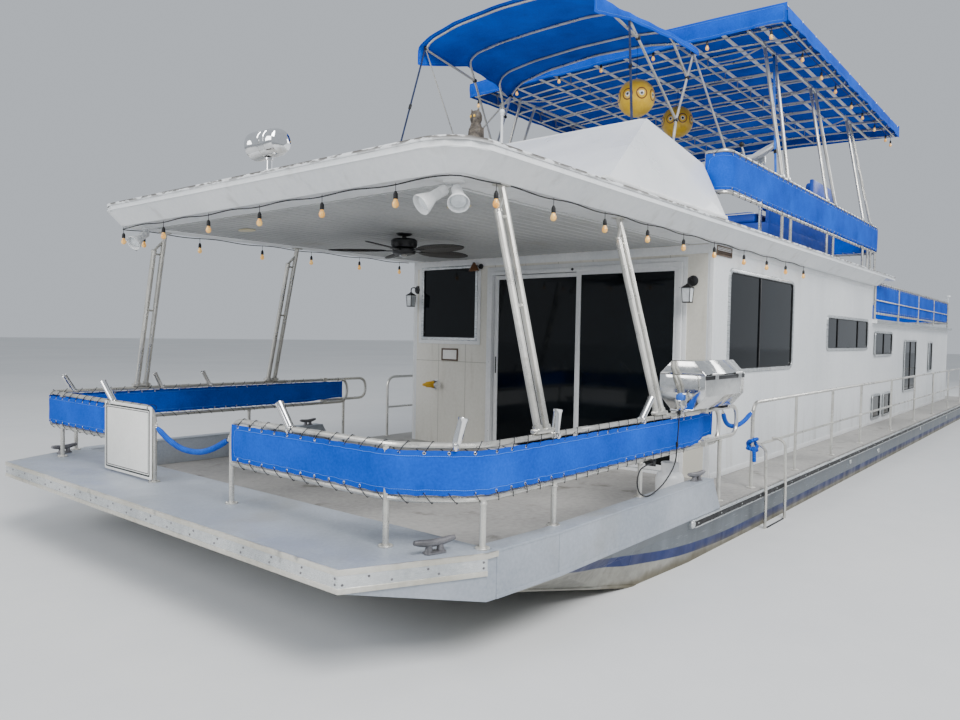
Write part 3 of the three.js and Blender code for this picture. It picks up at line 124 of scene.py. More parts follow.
def piece(name, objects, material=None, body="boat", stands_for=(), angle=35):
    """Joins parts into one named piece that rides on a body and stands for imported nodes."""
    parts = flat([objects])
    if material is not None:
        for part in parts:
            if not part.data.materials:
                painted(part, material)
    made = joined(parts)
    made.name = name
    made.data.name = name
    if angle:
        pick(made)
        bpy.ops.object.shade_smooth_by_angle(angle=math.radians(angle))
    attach(made, body)
    if stands_for:
        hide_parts(*stands_for)
    return made


def twin(obj, place, flipped=False):
    """A copy with its own mesh, moved by a matrix, its faces turned back out if that mirrors it."""
    made = obj.copy()
    made.data = obj.data.copy()
    bpy.context.scene.collection.objects.link(made)
    made.data.transform(place)
    if flipped:
        made.data.flip_normals()
    return made


def copies(master, places):
    """Twins of a master, each turned about the origin and then moved; the master is gone after."""
    out = [twin(master, Matrix.Translation(Vector(move)) @ turn.to_4x4()) for move, turn in places]
    bpy.data.objects.remove(master)
    return out


def level(outline, z):
    """A 2-D outline laid at a height."""
    return [(x, y, z) for x, y in outline]


def square(a0, a1, b0, b1):
    """The corners of a rectangle, as 2-D points in order."""
    return [(a0, b0), (a1, b0), (a1, b1), (a0, b1)]


def tapered(low, z0, high, z1, bevel=0.0):
    """A block from one rectangle (x0, x1, y0, y1) at a height to another above it."""
    return wedge(level(square(*low), z0) + level(square(*high), z1), bevel)


def ring(at, across, up, count):
    """Points round an ellipse, from its middle and its two half axes."""
    at, across, up = Vector(at), Vector(across), Vector(up)
    turns = [2 * math.pi * i / count for i in range(count)]
    return [at + across * math.cos(t) + up * math.sin(t) for t in turns]


def rod(radius, low, high, at=(0, 0, 0), axis=UPWARD, steps=14):
    """A plain round rod between two heights along an axis."""
    return turned([(0, low), (radius, low), (radius, high), (0, high)], at, axis, steps)


def turn_to(axis):
    """The turn that takes the upward axis to another."""
    return Vector(UPWARD).rotation_difference(Vector(axis)).to_matrix()


def mirrored(obj):
    """A copy on the other side of the centreline."""
    return twin(obj, Matrix.Scale(-1, 4, Vector(ABEAM)), True)


def about(at, change):
    """A turn or a change of size about a place, as one matrix."""
    return Matrix.Translation(Vector(at)) @ change @ Matrix.Translation(-Vector(at))


def other_side(objects):
    """Parts made on the port side, carried over to starboard."""
    made = []
    for o in flat(objects):
        made.append(mirrored(o))
        bpy.data.objects.remove(o)
    return made


def both(*objects):
    objects = flat(objects)
    return objects + [mirrored(o) for o in objects]


def block(low, high, bevel=0.0, segments=2):
    """A box between two corners with rounded edges."""
    low, high = Vector(low), Vector(high)
    deselect()
    bpy.ops.mesh.primitive_cube_add(size=1)
    made = bpy.context.active_object
    size = [abs(h - l) for l, h in zip(low, high)]
    made.data.transform(Matrix.Translation((low + high) / 2) @ Matrix.Diagonal((*size, 1)))
    if bevel:
        bpy.ops.object.mode_set(mode="EDIT")
        bpy.ops.mesh.select_all(action="SELECT")
        bpy.ops.mesh.bevel(offset=bevel, segments=segments, profile=0.6, affect="EDGES")
        bpy.ops.object.mode_set(mode="OBJECT")
    return made


def wedge(corners, bevel=0.0):
    """A box whose eight corners go to given places: the four low ones round, then the four high ones."""
    deselect()
    bpy.ops.mesh.primitive_cube_add(size=2)
    made = bpy.context.active_object
    order = [(x, y, z) for z in (-1, 1) for x, y in square(-1, 1, -1, 1)]
    for spot in made.data.vertices:
        key = tuple(round(c) for c in spot.co)
        spot.co = Vector(corners[order.index(key)])
    bpy.ops.object.mode_set(mode="EDIT")
    bpy.ops.mesh.select_all(action="SELECT")
    bpy.ops.mesh.normals_make_consistent(inside=False)
    if bevel:
        bpy.ops.mesh.bevel(offset=bevel, segments=2, profile=0.6, affect="EDGES")
    bpy.ops.object.mode_set(mode="OBJECT")
    return made


def bent(corners, radius, steps=5):
    """Corner points with each inner corner turned into a short round bend."""
    p = [Vector(c) for c in corners]
    out = [p[0]]
    for before, here, after in zip(p, p[1:], p[2:]):
        reach = min(radius, (before - here).length * 0.49, (after - here).length * 0.49)
        start = here + (before - here).normalized() * reach
        end = here + (after - here).normalized() * reach
        for i in range(steps + 1):
            t = i / steps
            out.append((1 - t) ** 2 * start + 2 * t * (1 - t) * here + t * t * end)
    return out + [p[-1]]


def tubes(lines, radius, sides=12, closed=False):
    """Round tubes along lines of points, as one mesh."""
    deselect()
    data = bpy.data.curves.new("tube", "CURVE")
    data.dimensions = "3D"
    for points in lines:
        line = data.splines.new("POLY")
        line.points.add(len(points) - 1)
        for spot, p in zip(line.points, points):
            spot.co = (*p, 1)
        line.use_cyclic_u = closed
    data.bevel_depth = radius
    data.bevel_resolution = max(0, sides // 4 - 1)
    data.use_fill_caps = not closed
    made = bpy.data.objects.new("tube", data)
    bpy.context.scene.collection.objects.link(made)
    pick(made)
    bpy.ops.object.convert(target="MESH")
    return bpy.context.view_layer.objects.active


def pipe(corners, radius, bend=0.09, sides=12, steps=5):
    return tubes([bent(corners, bend, steps)], radius, sides)


def bars(pairs, radius, sides=12):
    """Straight round bars between pairs of points."""
    return tubes([[Vector(a), Vector(b)] for a, b in pairs], radius, sides)


def turned(profile, at=(0, 0, 0), axis=UPWARD, steps=20):
    """A profile of (radius, height) points spun about an axis through a place."""
    deselect()
    data = bpy.data.curves.new("turned", "CURVE")
    data.dimensions = "3D"
    line = data.splines.new("POLY")
    line.points.add(len(profile) - 1)
    for spot, (r, h) in zip(line.points, profile):
        spot.co = (r, 0, h, 1)
    made = bpy.data.objects.new("turned", data)
    bpy.context.scene.collection.objects.link(made)
    pick(made)
    bpy.ops.object.convert(target="MESH")
    made = bpy.context.view_layer.objects.active
    bpy.ops.object.mode_set(mode="EDIT")
    bpy.ops.mesh.select_all(action="SELECT")
    bpy.ops.mesh.spin(steps=steps, angle=2 * math.pi, center=(0, 0, 0), axis=(0, 0, 1))
    bpy.ops.mesh.select_all(action="SELECT")
    bpy.ops.mesh.remove_doubles(threshold=1e-5)
    bpy.ops.mesh.normals_make_consistent(inside=False)
    bpy.ops.object.mode_set(mode="OBJECT")
    lean = turn_to(axis).to_4x4()
    made.data.transform(Matrix.Translation(Vector(at)) @ lean)
    return made


def plate(outline, z0, z1, holes=(), bevel=0.0, face="Z", at=0.0):
    """A flat outline of 2-D points raised from z0 to z1 with rounded rims, then stood up to face
    X or Y if asked: facing X the outline is (y, z), facing Y it is (x, z)."""
    deselect()
    data = bpy.data.curves.new("plate", "CURVE")
    data.dimensions = "2D"
    data.fill_mode = "BOTH"
    for loop in [outline, *holes]:
        line = data.splines.new("POLY")
        line.points.add(len(loop) - 1)
        for spot, (a, b) in zip(line.points, loop):
            spot.co = (a, b, 0, 1)
        line.use_cyclic_u = True
    data.extrude = (z1 - z0) / 2 - bevel
    data.bevel_depth = bevel
    data.bevel_resolution = 1
    data.offset = -bevel
    made = bpy.data.objects.new("plate", data)
    bpy.context.scene.collection.objects.link(made)
    pick(made)
    bpy.ops.object.convert(target="MESH")
    made = bpy.context.view_layer.objects.active
    bpy.ops.object.mode_set(mode="EDIT")
    bpy.ops.mesh.select_all(action="SELECT")
    bpy.ops.mesh.remove_doubles(threshold=1e-5)
    bpy.ops.mesh.normals_make_consistent(inside=False)
    bpy.ops.object.mode_set(mode="OBJECT")
    made.data.transform(Matrix.Translation((0, 0, (z0 + z1) / 2)))
    if face == "X":
        made.data.transform(Matrix(((0, 0, 1, at), (1, 0, 0, 0), (0, 1, 0, 0), (0, 0, 0, 1))))
    if face == "Y":
        made.data.transform(Matrix(((1, 0, 0, 0), (0, 0, 1, at), (0, 1, 0, 0), (0, 0, 0, 1))))
        made.data.flip_normals()
    return made


def rounded(a0, a1, b0, b1, radius, steps=4):
    """The corners of a rectangle turned round, as 2-D points in order."""
    out = []
    for ca, cb, start in ((a1, b1, 0), (a0, b1, 90), (a0, b0, 180), (a1, b0, 270)):
        oa = ca - radius if ca == a1 else ca + radius
        ob = cb - radius if cb == b1 else cb + radius
        for i in range(steps + 1):
            turn = math.radians(start + 90 * i / steps)
            out.append((oa + radius * math.cos(turn), ob + radius * math.sin(turn)))
    return out


def pushed(line, by):
    """A 2-D line moved square to its own course, to the right of its way for a positive distance."""
    p = [Vector(q) for q in line]
    out = []
    for i, here in enumerate(p):
        before = (here - p[i - 1]).normalized() if i else (p[1] - here).normalized()
        after = (p[i + 1] - here).normalized() if i < len(p) - 1 else before
        way = (before + after).normalized()
        reach = by / max(0.3, way.dot(before))
        out.append((here.x + way.y * reach, here.y - way.x * reach))
    return out


def band(line, inner, outer, z0, z1, bevel=0.0):
    """A strip that follows a 2-D line, from one distance off it to another."""
    return plate(pushed(line, outer) + pushed(line, inner)[::-1], z0, z1, bevel=bevel)


def spaced(points, pitch):
    """Points a pitch apart along a line, each with its way and its distance from the start."""
    p = [Vector(q) for q in points]
    length = sum((b - a).length for a, b in zip(p, p[1:]))
    count = max(1, round(length / pitch))
    out, gone, i = [], 0.0, 0
    for k in range(count + 1):
        want = length * k / count
        while i < len(p) - 2 and gone + (p[i + 1] - p[i]).length < want - 1e-9:
            gone += (p[i + 1] - p[i]).length
            i += 1
        way = (p[i + 1] - p[i]).normalized()
        out.append((p[i] + way * (want - gone), way, want))
    return out


def swept(points, radius, sides=16):
    """A closed round tube along points, its UV in metres along and turns round."""
    p = [Vector(q) for q in points]
    radii = radius if isinstance(radius, (list, tuple)) else [radius] * len(p)
    legs = [(b - a).normalized() for a, b in zip(p, p[1:])]
    ways = [legs[0]] + [(a + b).normalized() for a, b in zip(legs, legs[1:])] + [legs[-1]]
    side = ways[0].orthogonal().normalized()
    spots, faces, marks, gone = [], [], [], 0.0
    for i, (here, way, r) in enumerate(zip(p, ways, radii)):
        gone += (here - p[i - 1]).length if i else 0.0
        side = (side - way * side.dot(way)).normalized()
        up = way.cross(side)
        for k in range(sides):
            turn = 2 * math.pi * k / sides
            spots.append(here + r * (math.cos(turn) * side + math.sin(turn) * up))
        marks.append(gone)
    for i in range(len(p) - 1):
        for k in range(sides):
            n = (k + 1) % sides
            faces.append((i * sides + k, i * sides + n, (i + 1) * sides + n, (i + 1) * sides + k))
    faces.append(tuple(reversed(range(sides))))
    faces.append(tuple(range((len(p) - 1) * sides, len(p) * sides)))
    data = bpy.data.meshes.new("swept")
    data.from_pydata(spots, [], faces)
    uv = data.uv_layers.new(name="UVMap")
    for face in data.polygons:
        last = any(data.loops[i].vertex_index % sides == sides - 1 for i in face.loop_indices)
        for i in face.loop_indices:
            hoop, k = divmod(data.loops[i].vertex_index, sides)
            uv.data[i].uv = (marks[hoop], 1.0 if last and k == 0 else k / sides)
    made = bpy.data.objects.new("swept", data)
    bpy.context.scene.collection.objects.link(made)
    return made


def eased(points, steps):
    """A smooth line through points, evenly tensioned, with some steps between each pair."""
    p = [Vector(q) for q in points]
    p = [2 * p[0] - p[1], *p, 2 * p[-1] - p[-2]]
    out = [p[1]]
    for a, b, c, d in zip(p, p[1:], p[2:], p[3:]):
        k0, k1, k2 = (max(1e-6, (n - m).length ** 0.5) for m, n in ((a, b), (b, c), (c, d)))
        start = ((b - a) / k0 - (c - a) / (k0 + k1) + (c - b) / k1) * k1
        end = ((c - b) / k1 - (d - b) / (k1 + k2) + (d - c) / k2) * k1
        for i in range(1, steps + 1):
            t = i / steps
            out.append((2 * t ** 3 - 3 * t ** 2 + 1) * b + (t ** 3 - 2 * t ** 2 + t) * start
                       + (3 * t ** 2 - 2 * t ** 3) * c + (t ** 3 - t ** 2) * end)
    return out


def cloth_sheet(rows, thickness=0.0025):
    """A sheet of cloth through rows of points: UV in metres, with the distance from its edge kept
    on each point, and then its thickness."""
    deselect()
    high, wide = len(rows), len(rows[0])
    bpy.ops.mesh.primitive_grid_add(x_subdivisions=wide - 1, y_subdivisions=high - 1, size=2)
    made = bpy.context.active_object
    data = made.data
    spots = [[Vector(p) for p in row] for row in rows]
    along = [[0.0] * wide for _ in rows]
    across = [[0.0] * wide for _ in rows]
    for i in range(high):
        for j in range(wide):
            if j:
                along[i][j] = along[i][j - 1] + (spots[i][j] - spots[i][j - 1]).length
            if i:
                across[i][j] = across[i - 1][j] + (spots[i][j] - spots[i - 1][j]).length
    edge = data.attributes.new("edge", "FLOAT", "POINT")
    place = {}
    for k, spot in enumerate(data.vertices):
        i = round((spot.co.y + 1) / 2 * (high - 1))
        j = round((spot.co.x + 1) / 2 * (wide - 1))
        place[k] = (i, j)
    for k, (i, j) in place.items():
        data.vertices[k].co = spots[i][j]
        rims = (along[i][j], along[i][-1] - along[i][j], across[i][j], across[-1][j] - across[i][j])
        edge.data[k].value = min(rims)
    uv = data.uv_layers.active or data.uv_layers.new(name="UVMap")
    for k, loop in enumerate(data.loops):
        i, j = place[loop.vertex_index]
        uv.data[k].uv = (along[i][j], across[i][j])
    if thickness:
        modified(made, "SOLIDIFY", thickness=thickness, offset=0.0)
    return made


def flat_size(rows):
    """The width and length of a sheet's cut, from its rows of points."""
    def run(line):
        return sum((Vector(b) - Vector(a)).length for a, b in zip(line, line[1:]))
    wide = sum(run(row) for row in rows) / len(rows)
    columns = list(zip(*rows))
    return sum(run(c) for c in columns) / len(columns), wide


# Finishes

def tint(card):
    """A colour as on a paint card, in linear light."""
    parts = [int(card[i:i + 2], 16) / 255 for i in (0, 2, 4)]
    return tuple(c / 12.92 if c < 0.04045 else ((c + 0.055) / 1.055) ** 2.4 for c in parts) + (1.0,)


# The pitch of the canvas's threads
WEAVE = 0.0016


class Finish:
    """A material, with short ways to add what colours, roughens and embosses it."""

    def __init__(self, name, rough=0.5, metal=0.0, **sockets):
        self.material = bpy.data.materials.new(name)
        self.material.use_nodes = True
        self.nodes = self.material.node_tree.nodes
        self.links = self.material.node_tree.links
        self.shader = self.nodes["Principled BSDF"]
        self.shader.inputs["Roughness"].default_value = rough
        self.shader.inputs["Metallic"].default_value = metal
        for key, value in sockets.items():
            self.shader.inputs[key.replace("_", " ")].default_value = value
        spots = self.nodes.new("ShaderNodeTexCoord")
        self.place = spots.outputs["Object"]
        self.uv = spots.outputs["UV"]
        self.normal = None

    def add(self, kind, inputs, output=0, **settings):
        node = self.nodes.new("ShaderNode" + kind)
        for key, value in settings.items():
            setattr(node, key, value)
        for key, value in inputs.items():
            if isinstance(value, bpy.types.NodeSocket):
                self.links.new(value, node.inputs[key])
            else:
                node.inputs[key].default_value = value
        return node.outputs[output]

    def mapped(self, scale=(1, 1, 1), move=(0, 0, 0)):
        return self.add("Mapping", {"Vector": self.place, "Scale": scale, "Location": move})

    def noise(self, scale, detail=4.0, at=None):
        spots = {"Vector": at or self.place, "Scale": scale, "Detail": detail, "Roughness": 0.55}
        return self.add("TexNoise", spots)

    def sum(self, how, a, b=0.0, clamp=False):
        return self.add("Math", {0: a, 1: b}, operation=how, use_clamp=clamp)

    def between(self, value, low, high, start=0.0, end=1.0):
        """A smooth step from start to end as the value goes from low to high."""
        spots = {0: value, 1: low, 2: high, 3: start, 4: end}
        return self.add("MapRange", spots, interpolation_type="SMOOTHSTEP")

    def mix(self, a, b, by):
        return self.add("Mix", {0: by, 6: a, 7: b}, 2, data_type="RGBA", blend_type="MIX")

    def axes(self, source=None):
        node = self.nodes.new("ShaderNodeSeparateXYZ")
        self.links.new(source or self.place, node.inputs[0])
        return tuple(node.outputs)

    def attribute(self, name):
        return self.add("Attribute", {}, 2, attribute_name=name)

    def seams(self, value, pitch, width, start=0.0):
        """One on thin lines a pitch apart, nought between them."""
        off = self.sum("PINGPONG", self.sum("SUBTRACT", value, start), pitch / 2)
        return self.between(off, width * 0.35, width * 0.65, 1.0, 0.0)

    def line(self, value, at, width):
        """One on a single line, nought off it."""
        off = self.sum("ABSOLUTE", self.sum("SUBTRACT", value, at))
        return self.between(off, width * 0.35, width * 0.65, 1.0, 0.0)

    def ramp(self, value, *stops):
        node = self.nodes.new("ShaderNodeValToRGB")
        self.links.new(value, node.inputs[0])
        bar = node.color_ramp.elements
        for i, (spot, colour) in enumerate(stops):
            stop = bar[i] if i < 2 else bar.new(spot)
            stop.position = spot
            stop.color = colour
        return node.outputs[0]

    def drift(self, low, high, coarse, fine):
        """A colour that wanders between two shades in patches and in grain."""
        both = self.sum("ADD", self.sum("MULTIPLY", self.noise(coarse, 5), 0.7),
                        self.sum("MULTIPLY", self.noise(fine, 3), 0.3))
        return self.ramp(both, (0.36, tint(low)), (0.64, tint(high)))

    def colour(self, socket):
        self.links.new(socket, self.shader.inputs["Base Color"])
        return self

    def gloss(self, socket):
        self.links.new(socket, self.shader.inputs["Roughness"])
        return self

    def bump(self, height, strength=0.3, distance=0.001):
        spots = {"Height": height, "Strength": strength, "Distance": distance}
        if self.normal is not None:
            spots["Normal"] = self.normal
        self.normal = self.add("Bump", spots)
        self.links.new(self.normal, self.shader.inputs["Normal"])
        return self


def worn(name, low, high, rough, metal=0.0, coarse=1.5, fine=60.0, grit=0.15, **sockets):
    """A finish that drifts between two shades, with fine grain and an uneven gloss."""
    f = Finish(name, rough, metal, **sockets)
    f.colour(f.drift(low, high, coarse, fine))
    patch = f.noise(coarse * 2.3, 4)
    f.gloss(f.between(patch, 0.25, 0.75, rough * 0.75, min(1.0, rough * 1.3)))
    f.bump(f.noise(fine, 3), grit, 0.0008)
    return f.material


def hull_finish():
    """Bare aluminium with streaks and welds, a navy boot stripe that climbs to the bow, scum below it."""
    f = Finish("hull aluminium", 0.4, 0.55)
    x, _, z = f.axes()
    streaks = f.noise(5.0, 6, f.mapped((1.2, 1.2, 0.16)))
    bare = f.ramp(streaks, (0.3, tint("4d545a")), (0.7, tint("81888e")))
    scuffs = f.between(f.noise(26.0, 2, f.mapped((0.35, 1, 4.0))), 0.63, 0.72)
    metal = f.mix(bare, tint("a4a9ac"), f.sum("MULTIPLY", scuffs, 0.5))
    rise = f.sum("DIVIDE", f.sum("SUBTRACT", x, 5.86), 3.14, True)
    top = f.sum("MULTIPLY_ADD", f.sum("POWER", rise, 2.03), 0.434)
    top.node.inputs[2].default_value = 0.105
    over = f.sum("SUBTRACT", z, top)
    stripe = f.sum("MULTIPLY", f.between(over, -0.003, 0.003, 1.0, 0.0), f.between(over, -0.071, -0.065))
    navy = f.drift("0f1c4e", "1a2f6c", 2.0, 30.0)
    pale = f.drift("82817a", "aeaca2", 1.4, 22.0)
    under = f.between(over, -0.071, -0.065, 1.0, 0.0)
    scum_edge = f.sum("MULTIPLY", f.noise(9.0, 5), 0.07)
    scum = f.between(f.sum("SUBTRACT", z, scum_edge), -0.02, 0.05, 0.95, 0.0)
    colour = f.mix(f.mix(f.mix(metal, pale, under), navy, stripe), tint("5f573f"),
                   f.sum("MULTIPLY", scum, 0.85))
    f.colour(colour)
    f.gloss(f.between(streaks, 0.3, 0.7, 0.32, 0.55))
    welds = f.sum("MAXIMUM", f.seams(x, 1.83, 0.012, 0.3), f.line(z, 0.245, 0.01))
    f.bump(f.sum("MULTIPLY", welds, f.noise(120.0, 2)), 0.5, 0.004)
    f.bump(f.noise(3.0, 3, f.mapped((1, 1, 0.5))), 0.12, 0.02)
    return f.material


def deck_finish():
    """Grey non-skid paint with grit and dirty patches."""
    f = Finish("deck non-skid", 0.8)
    grit = f.noise(420.0, 2)
    dirt = f.between(f.noise(3.1, 6), 0.58, 0.75)
    f.colour(f.mix(f.drift("8f8d8a", "b5b2ad", 0.8, 24.0), tint("6c6861"), dirt))
    f.bump(grit, 0.5, 0.0015)
    return f.material


def platform_finish():
    """The bow platform's painted plate: pale grey, faintly stained, with a raised tread grain."""
    f = Finish("bow platform plate", 0.5, 0.35)
    stain = f.between(f.noise(1.7, 7), 0.52, 0.72)
    pale = f.drift("979ea8", "b4bac2", 1.3, 50.0)
    f.colour(f.mix(pale, tint("8f8a7e"), f.sum("MULTIPLY", stain, 0.35)))
    f.gloss(f.between(f.noise(6.0, 4), 0.3, 0.7, 0.4, 0.62))
    f.bump(f.noise(160.0, 2), 0.25, 0.001)
    return f.material


def bright_finish(name="bright channel", low="b7bbbd", high="e2e4e4", rough=0.28):
    """Extruded bright aluminium with length lines and small dents."""
    f = Finish(name, rough, 0.85)
    pulls = f.noise(60.0, 3, f.mapped((0.2, 0.2, 5.0)))
    f.colour(f.mix(f.drift(low, high, 2.0, 30.0), tint("8d8f8e"), f.between(f.noise(8.0, 5), 0.62, 0.8)))
    f.gloss(f.between(pulls, 0.3, 0.7, rough * 0.7, rough * 1.5))
    f.bump(f.noise(5.0, 2), 0.2, 0.004)
    return f.material


def tube_finish():
    """Cream-silver anodised tube, with dull patches and water marks."""
    f = Finish("anodised tube", 0.32, 0.8)
    marks = f.between(f.noise(22.0, 5), 0.6, 0.75)
    f.colour(f.mix(f.drift("b9b7b0", "dbd9d2", 2.6, 90.0), tint("8e8a80"), f.sum("MULTIPLY", marks, 0.5)))
    f.gloss(f.between(f.noise(7.0, 5), 0.3, 0.7, 0.22, 0.46))
    f.bump(f.noise(140.0, 2), 0.08, 0.0006)
    return f.material


def wall_finish():
    """White cabin cladding: upright joints a sheet apart, run marks below them."""
    f = Finish("cabin cladding", 0.42, 0.05)
    x, _, z = f.axes()
    joints = f.seams(x, 1.22, 0.007, 0.45)
    runs = f.between(f.noise(3.0, 5, f.mapped((2.2, 2.2, 0.25))), 0.5, 0.72)
    white = f.drift("dadddf", "eceeef", 0.7, 30.0)
    low = f.between(z, 0.34, 0.95, 1.0, 0.0)
    dirt = f.sum("MULTIPLY", f.sum("ADD", f.sum("MULTIPLY", low, 0.35), 0.05), runs)
    f.colour(f.mix(f.mix(white, tint("a59f92"), dirt), tint("8e9193"), f.sum("MULTIPLY", joints, 0.14)))
    f.gloss(f.between(f.noise(5.0, 4), 0.3, 0.7, 0.34, 0.5))
    f.bump(f.sum("SUBTRACT", 1.0, joints), 0.15, 0.002)
    f.bump(f.noise(1.6, 3), 0.25, 0.012)
    return f.material


def front_finish():
    """Cream panels of the cabin front with thin upright seams and one level seam."""
    f = Finish("front panels", 0.5, 0.0)
    _, y, z = f.axes()
    joints = f.sum("MAXIMUM", f.seams(y, 0.407, 0.006, -1.833), f.line(z, 1.285, 0.006))
    runs = f.between(f.noise(4.0, 5, f.mapped((2.5, 2.5, 0.3))), 0.55, 0.75)
    cream = f.drift("d5d1c4", "e6e3d9", 0.9, 30.0)
    f.colour(f.mix(f.mix(cream, tint("a79f8a"), f.sum("MULTIPLY", runs, 0.25)), tint("aba79b"), joints))
    f.bump(f.sum("SUBTRACT", 1.0, joints), 0.6, 0.003)
    f.bump(f.noise(90.0, 2), 0.08, 0.0008)
    return f.material


def roof_finish():
    """White roof paint: grey grime on top, run marks, and paint flaking along the fascia's top edge."""
    f = Finish("roof paint", 0.45, 0.05)
    _, _, z = f.axes()
    white = f.drift("dfe2e4", "f1f2f2", 0.8, 26.0)
    flakes = f.between(f.noise(26.0, 6, f.mapped((0.35, 0.35, 1.6))), 0.45, 0.53)
    rim = f.sum("MULTIPLY", f.between(z, 2.572, 2.602), f.between(z, 2.612, 2.6149, 1.0, 0.0))
    grime = f.sum("MULTIPLY", f.between(z, 2.6, 2.61), f.between(f.noise(1.1, 6), 0.35, 0.7))
    runs = f.sum("MULTIPLY", f.between(f.noise(7.0, 4, f.mapped((1.0, 1.0, 0.12))), 0.55, 0.75), 0.3)
    dirty = f.mix(f.mix(white, tint("9a968c"), runs), tint("a7a49c"), grime)
    f.colour(f.mix(dirty, tint("55504a"), f.sum("MULTIPLY", flakes, rim)))
    f.bump(f.sum("MULTIPLY", flakes, rim), 0.5, -0.0015)
    f.bump(f.noise(2.2, 3), 0.15, 0.008)
    return f.material


def soffit_finish():
    """Off-white soffit boards, coloured grey as painted shade under the eave, with faint water stains."""
    f = Finish("soffit boards", 0.5, 0.0)
    stain = f.between(f.noise(1.3, 6), 0.56, 0.74)
    # The grey base colour is painted shade under the eave; the brown patches are water stains.
    f.colour(f.mix(f.drift("a2a4a4", "c0c1bf", 0.7, 40.0), tint("8d8674"), f.sum("MULTIPLY", stain, 0.4)))
    f.bump(f.noise(60.0, 3, f.mapped((0.15, 1, 1))), 0.12, 0.001)
    return f.material


def canvas_finish():
    """Woven acrylic canvas, sun-faded in patches, with one row of stitching inside its hem."""
    low, high, stitch = "0543b0", "075ad6", "5e93e4"
    f = Finish("blue canvas", 0.9, 0.0, Specular_IOR_Level=0.12)
    u, v, _ = f.axes(f.uv)
    warp, weft = (f.sum("SINE", f.sum("MULTIPLY", way, 2 * math.pi / WEAVE)) for way in (u, v))
    edge = f.attribute("edge")
    dashes = f.between(f.sum("PINGPONG", f.sum("ADD", u, v), 0.0045), 0.0012, 0.0018)
    sewn = f.sum("MULTIPLY", f.line(edge, 0.026, 0.0026), dashes)
    hem = f.between(edge, 0.030, 0.034, 1.0, 0.0)
    faded = f.drift(low, high, 2.2, 70.0)
    soiled = f.mix(faded, tint("052a70"), f.sum("MULTIPLY", f.between(f.noise(4.0, 6), 0.5, 0.8), 0.3))
    f.colour(f.mix(f.mix(soiled, tint(low), f.sum("MULTIPLY", hem, 0.4)), tint(stitch), sewn))
    f.bump(f.sum("MULTIPLY", warp, weft), 0.12, 0.0004)
    f.bump(f.sum("ADD", f.sum("MULTIPLY", hem, 0.6), f.sum("MULTIPLY", sewn, 0.6)), 0.5, 0.0012)
    f.bump(f.noise(14.0, 4), 0.3, 0.006)
    return f.material


def glass_finish():
    """Glass with a real tint, a faint film of dust and soft internal patches; its near-black colour is also
    painted shade for the unlit cabin behind it.
    """
    f = Finish("tinted glass with painted dark interior", 0.08, 0.0, Specular_IOR_Level=0.22)
    # The near-black colour is partly the glass's tint and partly painted shade for the unlit cabin behind the
    # pane.
    f.colour(f.drift("04070a", "0c1216", 0.9, 12.0))
    f.gloss(f.between(f.noise(3.0, 6), 0.45, 0.8, 0.05, 0.16))
    return f.material


def steel_finish(name="polished steel", low="c9c9c7", high="ececea", rough=0.09, wave=0.25):
    """Polished stainless steel, a little wavy, with smears."""
    f = Finish(name, rough, 1.0)
    f.colour(f.drift(low, high, 3.0, 50.0))
    f.gloss(f.between(f.noise(9.0, 6), 0.45, 0.8, rough * 0.7, rough * 2.6))
    f.bump(f.noise(7.0, 2), wave, 0.004)
    return f.material


def sleeve_finish():
    """Blue braided rope sleeve with fine rings, their troughs darkened as painted shade."""
    f = Finish("rope sleeve", 0.75, 0.0, Specular_IOR_Level=0.2)
    u, v, _ = f.axes(f.uv)
    rings = f.sum("SINE", f.sum("MULTIPLY", u, 2 * math.pi / 0.016))
    braid = f.sum("SINE", f.sum("ADD", f.sum("MULTIPLY", u, 900.0), f.sum("MULTIPLY", v, 50.3)))
    # The darker blue in the rings' troughs is painted shade in the sleeve's creases.
    f.colour(f.mix(f.drift("0a48bc", "146ae0", 8.0, 120.0), tint("08307c"),
                   f.between(rings, -1.0, 0.2, 0.7, 0.0)))
    f.bump(f.sum("ADD", rings, f.sum("MULTIPLY", braid, 0.3)), 0.7, 0.0025)
    return f.material


def blade_finish():
    """Dark woven fan leaf: a grid of reeds that follows the rotor."""
    f = Finish("woven leaf", 0.6, 0.0)
    x, y, _ = f.axes()
    net = f.sum("MAXIMUM", f.seams(f.sum("ADD", x, y), 0.024, 0.004),
                f.seams(f.sum("SUBTRACT", x, y), 0.024, 0.004))
    f.colour(f.mix(f.drift("2c2a26", "4b4740", 9.0, 90.0), tint("12110f"), net))
    f.bump(f.sum("SUBTRACT", 1.0, net), 0.6, 0.002)
    return f.material


def bulb_finish():
    """Warm amber bulb glass with a faint glow from the filament."""
    f = Finish("amber bulb", 0.12, 0.0, Emission_Strength=0.5, Coat_Weight=0.5)
    f.colour(f.drift("d98b2b", "f6c56a", 20.0, 120.0))
    f.links.new(f.drift("e09a3e", "ffd98c", 20.0, 120.0), f.shader.inputs["Emission Color"])
    return f.material


def balloon_finish(name, centre):
    """Yellow scare balloon with eight plain rings round its middle, each a dark ring with a small centre."""
    f = Finish(name, 0.32, 0.0, Coat_Weight=0.25)
    x, y, z = f.axes(f.mapped(move=tuple(-c for c in centre)))
    beside = f.sum("MULTIPLY", f.sum("PINGPONG", f.sum("ARCTAN2", y, x), math.pi / 8), 0.2)
    off = f.sum("SQRT", f.sum("ADD", f.sum("MULTIPLY", beside, beside), f.sum("MULTIPLY", z, z)))
    yellow = f.drift("e0ac10", "f2c42c", 5.0, 40.0)
    ringed = f.mix(yellow, tint("6e3320"), f.line(off, 0.055, 0.013))
    white = f.mix(ringed, tint("e9e6dc"), f.between(off, 0.024, 0.027, 1.0, 0.0))
    f.colour(f.mix(white, tint("17130f"), f.between(off, 0.014, 0.017, 1.0, 0.0)))
    f.bump(f.noise(12.0, 2), 0.15, 0.003)
    return f.material


def floor_finish():
    f = Finish("pale floor", 0.9)
    f.colour(f.drift("d3d4d4", "dcdcdb", 0.2, 3.0))
    return f.material


